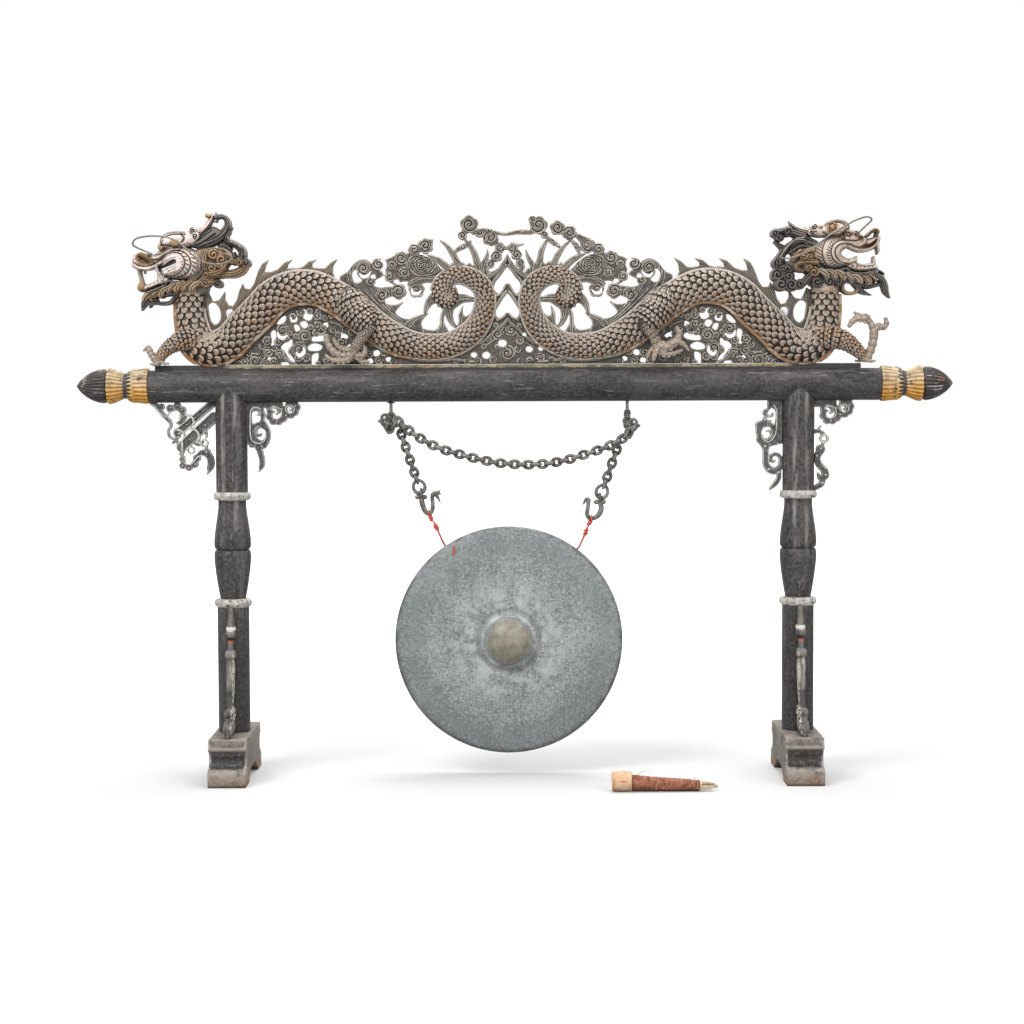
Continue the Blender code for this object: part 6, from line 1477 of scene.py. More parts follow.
    r.band([5.0, 6.2, 6.4, 6.8, 6.0, 5.0], (765.0, 445.0), (765.6, 455.0), (766.0, 464.0), (770.4, 470.0), (777.0, 470.4), (780.8, 466.0))
    r.band([4.4] * 7 + [4.2, 4.0, 3.4, 3.0, 2.4, 1.8], *curl_route(774.2, 458.8, 7.2, 30, -330, 0.22), level=0.5)
    r.rail((768.4, 450.4), (768.4, 458.6), (769.6, 464.0), (774.4, 467.4), (778.6, 464.4), width=1.3)
    r.band([5.4, 5.0, 5.4, 4.0, 2.2], (778.6, 469.4), (778.8, 476.6), (776.2, 482.2), (772.0, 486.4), (770.2, 488.8))
    r.rail((776.6, 472.4), (776.8, 477.0), (774.4, 481.6), width=1.2)
    r.nails((764.6, 418.4), (764.8, 445.4), (777.4, 443.6), (768.4, 468.6), (778.8, 471.6), radius=1.3)
    bracket_board("bracket_loops_right", right, r, "bracket_inner_right")

    r = BracketDrawing((811, 422), (836, 491), 798.5, 399.7)
    r.band([5.0, 4.4, 4.0], (814.0, 430.8), (819.0, 430.6), (823.4, 433.0), level=0.55)
    r.band([3.2, 2.6, 1.6], (818.2, 430.6), (819.4, 427.8), (820.8, 425.6), level=0.55)
    r.rail(*curl_route(824.4, 438.0, 3.6, 0, 360, 1.0), width=2.8, level=0.9)
    r.band([3.4, 3.0], (823.8, 441.0), (822.8, 445.4), level=0.6)
    r.lobe(4.8, (820.8, 448.6))
    r.band([7.0, 7.0, 7.0, 7.4, 7.6, 5.4, 3.0], (820.0, 450.0), (817.6, 457.0), (819.4, 464.0), (824.4, 469.6), (825.8, 475.4), (820.8, 478.0), (818.6, 473.4))
    r.band([6.0, 6.4, 6.0, 4.6], (823.6, 477.4), (822.0, 483.0), (818.4, 486.0), (815.0, 488.0))
    r.rail((823.4, 452.6), (820.4, 457.6), (822.0, 463.6), (826.4, 468.4), width=1.2)
    r.nails((820.8, 447.8), (816.8, 455.4), (825.8, 474.4), (822.6, 482.4), radius=1.1)
    r.field = np.where(r.u < 15.2, -1.0, r.field)
    bracket_board("bracket_stub_broken_right", right, r, "bracket_stub_right")


make_brackets()


# Hanging gear

CHAIN_WIRE = 0.0038
LINK_LENGTH, LINK_WIDTH = 0.0310, 0.0262
GRIP = 2 * CHAIN_WIRE - 0.0007
EYE_RADIUS, EYE_WIRE = 0.0090, 0.0035
RING_LENGTH, RING_WIDTH, RING_WIRE = 0.0420, 0.0380, 0.0038
FESTOON_PLANE = PLANE - 0.0290
LEFT_SWING, RIGHT_SWING = (-0.3240, 0.9395), (0.2940, 0.9250)
LEFT_SWAY, RIGHT_SWAY = (-0.2987, 0.9054), (0.2682, 0.8634)
LEFT_FESTOON_END, RIGHT_FESTOON_END = (-0.3070, 0.9380), (0.2836, 0.8900)
LEFT_RING_FOOT, RIGHT_RING_FOOT = (-0.2467, 0.7479), (0.2222, 0.7334)
FESTOON_ROUTE = [
    (-0.2620, 0.9002), (-0.2173, 0.8739), (-0.1780, 0.8581), (-0.1465, 0.8503), (-0.1123, 0.8398), (-0.0861, 0.8345),
    (-0.0520, 0.8266), (-0.0205, 0.8240), (0.0163, 0.8214), (0.0478, 0.8214), (0.0845, 0.8240), (0.1160, 0.8293),
    (0.1501, 0.8372), (0.1816, 0.8477), (0.2157, 0.8582), (0.2446, 0.8687),
]


def at(place, y=PLANE):
    return np.array([place[0], y, place[1]])


def oval_route(length, width, wire, count=40):
    """The middle line of a closed link, lying along Y with its width along X."""
    reach = width / 2 - wire
    straight = max(length / 2 - wire - reach, 0.0)
    route = []
    for k in range(count):
        angle = 2 * math.pi * k / count
        route.append((reach * math.cos(angle), reach * math.sin(angle) + straight * math.tanh(3 * math.sin(angle)), 0.0))
    return np.array(route)


def link_piece(length=LINK_LENGTH, width=LINK_WIDTH, wire=CHAIN_WIRE):
    """A link of plain wire at its ends, hammered broad and thick along both sides."""
    pile = Pile()
    route = oval_route(length, width, wire)
    flank = np.abs(route[:, 0]) / np.abs(route[:, 0]).max()
    route[:, 0] *= 0.955
    thick = np.clip((flank - 0.55) / 0.45, 0, 1) ** 1.5
    pile.sweep(route, wire + 0.0007 * flank**2, wire + 0.0020 * thick, sides=12, toward=(0, 0, 1), closed=True)
    return pile.made("link", IRON, 60)


def link_axes(along, across):
    along = unit(along)
    across = unit(np.asarray(across, float) - along * (along @ np.asarray(across, float)))
    return across, along, np.cross(across, along)


def placed_oval(pile, centre, along, across, length, width, wire, count=40, sides=14, waist=0.0):
    """One closed ring of round wire in place. waist draws its top in, like a drop."""
    across, along, face = link_axes(along, across)
    route = oval_route(length, width, wire, count)
    if waist:
        share = (route[:, 1] / (length / 2)).clip(-1, 1)
        route[:, 0] *= 1 - waist * np.clip(-share, 0, 1) ** 1.2
        wire = wire * (1.12 + 0.30 * np.clip((share - 0.1) / 0.7, 0, 1))
    world = centre + route[:, :1] * across + route[:, 1:2] * along
    pile.sweep(world, wire, sides=sides, toward=face, closed=True)


def chain_joints(route, count, start_reach, end_reach):
    extra = GRIP / 2
    route = [np.array(point, float) for point in route]
    route[0] = route[0] + unit(route[0] - route[1]) * (start_reach - extra)
    route[-1] = route[-1] + unit(route[-1] - route[-2]) * (end_reach - extra)
    return evenly(route, count + 1)


def make_chain(name, joints, body, node, seed):
    deep = np.array([0.0, 1.0, 0.0])
    places, axes, sizes = [], [], []
    for index, (start, end) in enumerate(zip(joints, joints[1:])):
        along = unit(end - start)
        across = np.cross(along, deep) if index % 2 == 0 else deep
        places.append((start + end) / 2)
        axes.append(link_axes(along, across))
        sizes.append((1.0, (np.linalg.norm(end - start) + GRIP + 2 * CHAIN_WIRE) / LINK_LENGTH, 1.0))
    obj = laid(name, link_piece(), places, axes, sizes, IRON, 0.0, seed, 60)
    return dress(obj, body, "wrought_iron", node)


def make_eyebolt(suffix, swing, has_knop):
    pile = Pile()
    x, height = swing
    width = 2 * (EYE_RADIUS + EYE_WIRE)
    placed_oval(pile, at((x, height + EYE_RADIUS)), (0, 0, 1), (1, 0, 0), width, width, EYE_WIRE)
    foot = height + 2 * EYE_RADIUS - EYE_WIRE * 0.4
    top = BEAM_HEIGHT - BEAM_RADIUS + 0.030
    pile.sweep([at((x, foot)), at((x, lerp(foot, top, 0.5))), at((x, top))], 0.0042, sides=20)
    if has_knop:
        middle = foot + 0.0114
        for k in range(4):
            height = middle + (k - 1.5) * 0.0048
            pile.sweep(
                [at((x + (0.0056 + 0.0012 * (k in (1, 2))) * math.cos(a), height + 0.0008 * math.sin(a + k)),
                    PLANE + (0.0056 + 0.0012 * (k in (1, 2))) * math.sin(a)) for a in np.linspace(0, 2 * math.pi, 20, endpoint=False)],
                0.0026, sides=10, closed=True)
    else:
        under = BEAM_HEIGHT - BEAM_RADIUS
        pile.turned([(0.0, 0.0), (0.0105, 0.0002), (0.0115, 0.0012), (0.0105, 0.0026), (0.0050, 0.0036), (0.0, 0.0036)],
                    at((x, under - 0.0036)), (0, 0, 1), 24)
    dress(pile.made("eyebolt_forged_" + suffix, IRON, 50), STAND, "wrought_iron", "eyebolt_" + suffix)


def make_bundle(suffix, swing, sway, bar_end, lean, outward, body):
    """Spare links gathered below an eye, as they hang."""
    carrier_half = 0.0360 / 2 - CHAIN_WIRE
    reach = EYE_WIRE + CHAIN_WIRE + 0.0003
    carrier = at((swing[0], swing[1] + reach - carrier_half))
    heart = carrier - np.array([0, 0, carrier_half])
    half = LINK_LENGTH / 2 - CHAIN_WIRE
    end_centre = at((sway[0], sway[1] + half))
    lean3 = unit([lean[0], 0.0, lean[1]])
    bar_centre = at(bar_end, FESTOON_PLANE) + lean3 * half
    pile = Pile()
    placed_oval(pile, carrier, (0, 0, 1), (0, 1, 0), 0.0360, LINK_WIDTH, CHAIN_WIRE)
    placed_oval(pile, end_centre, (0, 0, 1), (0, 1, 0), LINK_LENGTH, LINK_WIDTH, CHAIN_WIRE)
    placed_oval(pile, bar_centre, lean3, (0, 1, 0), LINK_LENGTH, LINK_WIDTH, CHAIN_WIRE)
    gathered = [
        ((0.014, -0.0155, 0.002), (0.3, -0.2, 1), (1, 0, 0)),
        ((0.004, 0.0155, 0.000), (0.3, 0.2, 1), (1, 0, 0)),
        ((0.021, -0.003, -0.010), (0.8, 0, 0.6), (0, 1, 0)),
        ((0.013, 0.010, -0.008), (0.9, 0.3, 0.3), (0, 0.4, 1)),
        ((0.003, -0.0150, -0.0220), (0.2, -0.1, 1), (1, 0.2, 0)),
        ((0.012, 0.0130, -0.0250), (0.5, 0.2, 0.9), (0.2, 1, 0)),
    ]
    ends = [end_centre + np.array([0, 0, half]), bar_centre + lean3 * half]
    for offset, along, across in gathered:
        centre = at(swing) + np.array([outward * offset[0], offset[1], offset[2]])
        along = unit([outward * along[0], along[1], along[2]])
        placed_oval(pile, centre, along, across, LINK_LENGTH, LINK_WIDTH, CHAIN_WIRE)
        ends.append(centre - along * half)
    for k, end in enumerate(ends):
        middle = (heart + end) / 2 + np.array([0, 0, -0.0016])
        pile.sweep(flowing([heart, middle, end], 4), CHAIN_WIRE * 0.9, sides=12)
    dress(pile.made("gathered_links_" + suffix, IRON, 60), body, "wrought_iron", "chain_bundle_" + suffix)


def make_drop(suffix, sway, foot, count, body, seed):
    down = unit(at(foot) - at(sway))
    ring_top = at(foot) - down * (RING_LENGTH - 2 * RING_WIRE)
    joints = chain_joints([at(sway), ring_top], count, 2 * CHAIN_WIRE + 0.0003, RING_WIRE + CHAIN_WIRE + 0.0003)
    make_chain("drop_links_" + suffix, joints, body, "drop_chain_" + suffix, seed)
    pile = Pile()
    across = np.cross(down, [0, 1, 0])
    placed_oval(pile, (ring_top + at(foot)) / 2, down, across, RING_LENGTH, RING_WIDTH, RING_WIRE, 48, 14, 0.30)
    dress(pile.made("drop_ring_" + suffix, IRON, 60), body, "wrought_iron", "ring_" + suffix)


LEFT_HOOK_ROUTE = [
    (-0.0180, 0.0400, 1.15), (-0.0162, 0.0270, 1.25), (-0.0110, 0.0120, 1.22), (-0.0060, 0.0035, 1.08), (0.0, 0.0, 1.0),
    (0.0065, 0.0030, 1.0), (0.0105, 0.0110, 1.0), (0.0115, 0.0230, 0.95), (0.0105, 0.0400, 0.9), (0.0115, 0.0490, 1.05),
    (0.0160, 0.0535, 1.0), (0.0230, 0.0545, 0.75), (0.0300, 0.0560, 0.3),
]
RIGHT_HOOK_ROUTE = [
    (0.0230, 0.0400, 1.10), (0.0255, 0.0300, 1.22), (0.0235, 0.0180, 1.25), (0.0150, 0.0060, 1.12), (0.0, 0.0, 1.0),
    (-0.0080, 0.0040, 1.0), (-0.0115, 0.0130, 1.0), (-0.0100, 0.0260, 0.95), (-0.0080, 0.0400, 0.95), (-0.0085, 0.0490, 1.1),
    (-0.0135, 0.0500, 0.95), (-0.0185, 0.0440, 0.6), (-0.0210, 0.0380, 0.3),
]


def make_hook(suffix, foot, bow, route, body):
    pile = Pile()
    eye_radius, eye_wire = 0.0100, 0.0038
    slack = eye_radius - eye_wire - RING_WIRE - 0.0018
    centre = at((foot[0], foot[1] - slack))
    width = 2 * (eye_radius + eye_wire)
    placed_oval(pile, centre, (0, 0, 1), (0, 1, 0), width, width, eye_wire)
    stations = [(centre[0], PLANE, centre[2] - eye_radius, 0.8)]
    stations += [(bow[0] + out, PLANE, bow[1] + up, share) for out, up, share in route]
    smooth = flowing(stations, 6)
    pile.sweep(smooth[:, :3], smooth[:, 3] * HOOK_WIRE, smooth[:, 3] * HOOK_WIRE * 0.92, sides=20)
    collar = centre + np.array([0, 0, -eye_radius - 0.0006])
    pile.sweep([collar + [-0.0112, 0, 0], collar, collar + [0.0112, 0, 0]], 0.0048, 0.0062, sides=12, toward=(0, 0, 1))
    if suffix == "left":
        root = np.array([bow[0] + 0.0190, PLANE, bow[1] + 0.0510])
        for dx, dz, thick in ((0.0130, 0.0125, 0.0046), (0.0170, 0.0010, 0.0040), (0.0125, -0.0230, 0.0056), (0.0030, 0.0090, 0.0036)):
            tip = root + np.array([dx, 0.0, dz])
            size = np.linspace(thick, 0.0010, 7)
            pile.sweep(flowing([root, (root + tip) / 2 + [0.0015, 0, 0], tip], 3), size, size * 0.8, sides=10)
    dress(pile.made("hook_forged_" + suffix, IRON, 60), body, "wrought_iron", "hook_" + suffix)


def make_gear():
    make_eyebolt("left", LEFT_SWING, False)
    make_eyebolt("right", RIGHT_SWING, True)
    make_bundle("left", LEFT_SWING, LEFT_SWAY, LEFT_FESTOON_END, (-0.5, -0.87), -1, "left_shackle")
    make_bundle("right", RIGHT_SWING, RIGHT_SWAY, RIGHT_FESTOON_END, (0.5, 0.87), 1, "right_shackle")
    route = [at(p, FESTOON_PLANE) for p in [LEFT_FESTOON_END, *FESTOON_ROUTE, RIGHT_FESTOON_END]]
    joints = chain_joints(route, 35, 2 * CHAIN_WIRE + 0.0009, 2 * CHAIN_WIRE + 0.0009)
    make_chain("long_chain_links", joints, "long_chain", "chain_festoon", 5)
    make_drop("left", LEFT_SWAY, LEFT_RING_FOOT, 8, "left_drop", 6)
    make_drop("right", RIGHT_SWAY, RIGHT_RING_FOOT, 6, "right_drop", 7)
    make_hook("left", LEFT_RING_FOOT, LEFT_BOW, LEFT_HOOK_ROUTE, "left_hook")
    make_hook("right", RIGHT_RING_FOOT, RIGHT_BOW, RIGHT_HOOK_ROUTE, "right_hook")


make_gear()


# Gong


def make_gong():
    """The bronze: domed boss in a shallow moat, flat field, falling border, turned rim and the hollow behind."""
    wall, radius = GONG_WALL, GONG_RADIUS
    front = [(0.0, -0.0500)]
    for k in range(1, 17):
        angle = math.radians(90 * k / 16)
        front.append((0.0640 * math.sin(angle) ** 0.92, -0.0036 - 0.0464 * math.cos(angle) ** 0.86))
    front += [(0.0665, -0.0026), (0.0700, -0.0016), (0.0740, -0.0006), (0.0775, 0.0008), (0.0810, 0.0013), (0.0850, 0.0007), (0.0890, 0.0)]
    front += [(r, 0.0) for r in np.linspace(0.10, 0.214, 12)]
    front += [(FLAT_RADIUS, 0.0004)]
    front += [(r, face_depth(r)) for r in np.linspace(0.224, 0.288, 9)]
    front += [(0.2915, 0.0092), (0.2955, 0.0118), (0.2982, 0.0160), (0.2994, 0.0215), (0.2990, 0.030), (0.2975, 0.042), (0.2955, 0.054), (0.2930, 0.066), (0.2920, 0.0712), (0.2905, 0.0720)]
    back = [(0.2890, 0.0718), (0.2880, 0.0708), (0.2905, 0.058), (0.2935, 0.040), (0.2952, 0.026), (0.2945, 0.0200), (0.2900, 0.0150), (0.2860, 0.0125)]
    back += [(r, face_depth(r) + wall) for r in np.linspace(0.280, 0.224, 6)] + [(r, wall) for r in np.linspace(0.214, 0.095, 8)]
    back += [(0.0830, wall), (0.0770, 0.0034), (0.0720, 0.0020)]
    for k in range(15, 0, -1):
        angle = math.radians(90 * k / 16)
        back.append((0.0600 * math.sin(angle) ** 0.92, -0.0016 - 0.0444 * math.cos(angle) ** 0.86))
    back.append((0.0, -0.0460))
    profile = front + back
    origin = np.array([GONG_X, GONG_FACE, GONG_Z])

    def hammered(angle, depth):
        return 1.0

    pile = Pile()
    pile.turned([(r, d) for r, d in profile], origin, (0, 1, 0), 224, hammered)
    points = pile.points[0]
    for i, point in enumerate(points):
        off = point - origin
        reach = math.hypot(off[0], off[2])
        if 0.09 < reach < 0.286:
            points[i][1] += 0.0009 * noise.noise(Vector((point[0] * 16, 0.3, point[2] * 16))) + 0.0005 * noise.noise(Vector((point[0] * 45, 1.3, point[2] * 45)))
    gong = pile.made("gong_bronze", BRONZE, 30)
    cutters = Pile()
    for angle in (LEFT_RIM_ANGLE, RIGHT_RIM_ANGLE):
        cutters.sweep([on_gong(0.280, angle, RIM_HOLE_DEPTH), on_gong(0.312, angle, RIM_HOLE_DEPTH)], 0.0030, sides=20)
    for reach, angle in FACE_HOLES:
        cutters.sweep([on_gong(reach, angle, -0.010), on_gong(reach, angle, 0.028)], 0.0030, sides=20)
    tool = cutters.made("cord_hole_tools", BRONZE)
    bpy.context.view_layer.update()
    modifier = gong.modifiers.new("cord_holes", "BOOLEAN")
    modifier.operation = "DIFFERENCE"
    modifier.solver = "EXACT"
    modifier.object = tool
    graph = bpy.context.evaluated_depsgraph_get()
    mesh = bpy.data.meshes.new_from_object(gong.evaluated_get(graph))
    gong.modifiers.clear()
    gong.data = mesh
    mesh.name = "gong_bronze"
    mesh.set_sharp_from_angle(angle=math.radians(30))
    bpy.data.objects.remove(tool, do_unlink=True)
    dress(gong, "gong_and_cords", "patinated_bronze", "gong")


make_gong()


# Mallet

MALLET_Y = -0.198
MALLET_START = 0.2420
HEAD_RADIUS = 0.0255
SLEEVE_LENGTH = 0.172


def make_mallet():
    head = Pile()
    axis = (1.0, 0.0, 0.0)
    centre = np.array([MALLET_START, MALLET_Y, HEAD_RADIUS * 1.02 + 0.0003])

    def woven(angle, height):
        return 1 - 0.012 * abs(math.sin(12 * angle + height * 420))

    profile = [(0.0, 0.0042), (0.0185, 0.0042), (0.0198, 0.0030), (0.0204, 0.0008), (0.0212, 0.0), (0.0228, 0.0001), (0.0246, 0.0016)]
    profile += [(0.0242 + 0.0018 * math.sin(math.pi * k / 14) ** 0.7 + 0.0002 * (k % 2), lerp(0.0040, 0.0470, k / 14)) for k in range(15)]
    profile += [(0.0238, 0.0484), (0.0222, 0.0497), (0.0180, 0.0499), (0.0, 0.0499)]
    head.turned(profile, centre, axis, 96, woven)
    dress(head.made("mallet_straw_head", STRAW, 35), "mallet", "straw_wood", "mallet_head")
    sleeve = Pile()
    start = MALLET_START + 0.050 + 0.0003
    rows, sides = 110, 48
    points = []
    for i in range(rows):
        share = i / (rows - 1)
        radius = lerp(0.0215, 0.0150, share**0.8)
        x = start + SLEEVE_LENGTH * share
        ease = min(1.0, share / 0.004 * 0.06 + 0.94, (1 - share) / 0.012 * 0.5 + 0.5)
        for k in range(sides):
            angle = 2 * math.pi * k / sides
            wrap = math.sin(share * 2 * math.pi * 17 + angle)
            crumple = noise.noise(Vector((share * 22, math.cos(angle) * 1.7, math.sin(angle) * 1.7)))
            fine = noise.noise(Vector((share * 60, math.cos(angle) * 4, math.sin(angle) * 4)))
            here = radius * ease * (0.965 + 0.020 * wrap + 0.028 * crumple + 0.012 * fine)
            points.append((x, MALLET_Y + here * math.cos(angle), radius + 0.0003 + here * math.sin(angle)))
    faces = [tuple(range(sides)), tuple((rows - 1) * sides + k for k in range(sides - 1, -1, -1))]
    for i in range(rows - 1):
        for k in range(sides):
            n = (k + 1) % sides
            faces.append((i * sides + k, (i + 1) * sides + k, (i + 1) * sides + n, i * sides + n))
    sleeve.add(points, faces)
    dress(sleeve.made("mallet_leather_wrap", LEATHER, 40), "mallet", "russet_leather", "mallet_sleeve")
    tuft = Pile()
    chance = random.Random(11)
    root = start + SLEEVE_LENGTH + 0.0003
    axis_height = 0.0153
    tuft.turned([(0.0, 0.0), (0.0125, 0.0), (0.0129, 0.0006), (0.0129, 0.0036), (0.0, 0.0040)], np.array([root, MALLET_Y, axis_height]), axis, 32)
    for k in range(70):
        angle, reach = 2.399963 * k, 0.0118 * math.sqrt((k + 0.5) / 70)
        y, z = reach * math.cos(angle), reach * math.sin(angle)
        bunch = k % 4
        length = 0.046 * (0.80, 0.98, 1.0, 0.62)[bunch] * chance.uniform(0.92, 1.0)
        drop = (0.0035, -0.0012, -0.0046, -0.0080)[bunch] + chance.uniform(-0.0006, 0.0006)
        y, z = y * 0.9, z * 0.7 + (0.0040, 0.0012, -0.0020, -0.0046)[bunch]
        path = flowing(
            [
                (root + 0.002, MALLET_Y + y, axis_height + z),
                (root + length * 0.5, MALLET_Y + y * 0.85 + chance.uniform(-0.0008, 0.0008), axis_height + z * 0.8 + drop * 0.3),
                (root + length, MALLET_Y + y * 0.28, max(axis_height + z * 0.22 + drop, 0.0020)),
            ],
            4,
        )
        tuft.sweep(path, np.linspace(0.0011, 0.0005, len(path)), sides=6)
    dress(tuft.made("mallet_straw_tuft", FIBRE, 50), "mallet", "straw_fibre", "mallet_tuft")
    ends = Pile()
    top = 0.0433
    ends.sweep(flowing([(start + 0.006, MALLET_Y, top - 0.0016), (start + 0.015, MALLET_Y - 0.001, top + 0.0008), (start + 0.020, MALLET_Y, top + 0.0044),
                        (start + 0.030, MALLET_Y, top + 0.0076), (start + 0.042, MALLET_Y, top + 0.0060), (start + 0.048, MALLET_Y, top + 0.0030)], 4),
               np.linspace(0.0016, 0.0004, 21), sides=8)
    ends.sweep([(start, MALLET_Y - 0.002, top - 0.0010), (start + 0.010, MALLET_Y - 0.002, top - 0.0004), (start + 0.020, MALLET_Y - 0.002, top - 0.0020)], 0.0018, sides=8)
    ends.sweep([(start + 0.152, MALLET_Y - 0.006, 0.0300), (start + 0.158, MALLET_Y - 0.006, 0.0316), (start + 0.164, MALLET_Y - 0.006, 0.0296)], 0.0026, sides=10)
    ends.sweep(flowing([(start + 0.154, MALLET_Y - 0.006, 0.0320), (start + 0.157, MALLET_Y - 0.006, 0.0360), (start + 0.162, MALLET_Y - 0.006, 0.0345)], 3), 0.0005, sides=6)
    dress(ends.made("mallet_loose_fibres", FIBRE, 50), "mallet", "straw_fibre")
    stitch = Pile()
    stitch.sweep([(x, MALLET_Y - 0.0256, 0.0300 + 0.0002 * math.sin(x * 900)) for x in np.linspace(0.2575, 0.2790, 9)], np.array([0.3, 0.8, 1, 0.8, 1, 1, 0.8, 0.6, 0.2]) * 0.0014, sides=8)
    dress(stitch.made("mallet_red_stitch", RED_CORD, 50), "mallet", "red_cord")


make_mallet()


# Spine of a dragon from its neck to the curl of its tail: out, up and half width, in squares
SPINE = [
    (318, 80, 13.5), (317.5, 62, 14.5), (316, 45, 15.5), (310, 25, 17.5), (296, 18.5, 17.5), (280, 24, 16.8),
    (267, 37, 16.5), (247.5, 56, 17), (235, 69, 17), (220, 77, 16.7), (202.5, 79.5, 16.5), (186, 76.5, 15.8),
    (163, 64, 16), (146, 50.5, 16), (129, 37.5, 15.2), (111, 27, 14.6), (93.5, 21.5, 12.7), (76, 19.5, 12.5),
    (58, 21.5, 11.9), (41, 30, 11.8), (30, 41, 11), (24, 54, 10.4), (22.2, 67, 9.8), (25, 78, 9.6), (32, 85.5, 9.4),
    (41, 89.7, 8.8), (51, 91, 8.3), (60.5, 87, 8.4), (66.5, 80, 8.6), (68, 71.5, 8.2), (63.5, 64.6, 7.4),
    (56.6, 65.4, 6.4), (53.8, 71, 5.6), (57, 75.8, 4.8), (60.4, 74, 3.8),
]
SEAT_HEIGHT = BEAM_HEIGHT + math.sqrt(BEAM_RADIUS**2 - 0.018**2)
STRIP_HEIGHT = SEAT_HEIGHT + 0.0136
STRIP_TOP = (STRIP_HEIGHT - BEAM_TOP - CREST_LIFT) / RISE
FRET_HALF = 0.0100
FIN_HALF = 0.0060


def spots(*columns_and_rows):
    """Places read off the picture's left half, as (out, up, size...)."""
    return [(AXIS_COLUMN - spot[0], TOP_ROW - spot[1], *spot[2:]) for spot in columns_and_rows]


def trail(*columns_and_rows):
    return [(AXIS_COLUMN - c, TOP_ROW - r) for c, r in columns_and_rows]


def hair_grooves(relief, lines, width=0.55, depth=0.3):
    for line in lines:
        relief.groove(trail(*line), width, depth)


def clear_of_body(relief, share=0.80):
    """Takes the room inside the dragon's body out of a board."""
    rows = flowing(SPINE, 3)
    best = np.full(relief.u.shape, -99.0)
    for (au, aw, ar), (bu, bw, br) in zip(rows, rows[1:]):
        du, dw = bu - au, bw - aw
        size = max(du * du + dw * dw, 1e-9)
        t = np.clip(((relief.u - au) * du + (relief.w - aw) * dw) / size, 0, 1)
        best = np.maximum(best, (ar + (br - ar) * t) * share - np.hypot(relief.u - au - du * t, relief.w - aw - dw * t))
    relief.pierce(best)


def on_strip(relief):
    relief.field = np.where(relief.w < STRIP_TOP + 0.1, -1.0, relief.field)


def hairs(relief, first, last, count, low, high, lean, width=1.3, seed=5):
    """A fringe of short carved hairs along the back of a body."""
    chance = random.Random(seed)
    rows = evenly(flowing(SPINE, 6), 600)
    tangent = np.gradient(rows[:, :2], axis=0)
    tangent /= np.linalg.norm(tangent, axis=1)[:, None]
    for share in np.linspace(first, last, count):
        i = int(share * 599)
        back = np.array([tangent[i, 1], -tangent[i, 0]])
        root = rows[i, :2] + back * rows[i, 2] * 0.9
        reach = chance.uniform(low, high)
        tip = root + back * (rows[i, 2] * 0.1 + reach) + tangent[i] * lean * reach
        middle = (root + tip) / 2 + back * 0.4
        relief.join(relief.stroke([tuple(root), tuple(middle), tuple(tip)], [width * 1.6, width, 0.5]), 0.42, 0.35, 0.8, 0.3)


def make_strip():
    """The plinth strip: a narrow moulding with an uneven moss-coloured top."""
    half, thick = 353 * SQUARE, 0.015
    low = SEAT_HEIGHT + 0.0003
    high = low + 0.013
    pile = Pile()
    section = [(-thick, 0.0), (-thick, 0.55), (-thick * 0.93, 0.62), (-thick * 0.93, 0.90), (-thick * 0.80, 1.0), (0.0, 1.0)]
    section += [(-y, z) for y, z in section[-2::-1]]
    points = []
    stations = np.linspace(-half, half, 420)
    for i, x in enumerate(stations):
        for y, z in section:
            rough = 0.0006 * noise.noise(Vector((x * 90, y * 300, 4.0))) if z > 0.8 else 0.0
            points.append((CREST_X + x, PLANE + y, lerp(low, high, z) + min(rough, 0.0) - (0.0004 if z > 0.8 else 0)))
    n = len(section)
    faces = [tuple(range(n)), tuple((len(stations) - 1) * n + k for k in range(n - 1, -1, -1))]
    for i in range(len(stations) - 1):
        for k in range(n):
            m = (k + 1) % n
            faces.append((i * n + k, (i + 1) * n + k, (i + 1) * n + m, i * n + m))
    pile.add(points, faces)
    dress(pile.made("crest_plinth", STRIP_WOOD, 40), STAND, "grey_green_fretwork", "crest_strip")


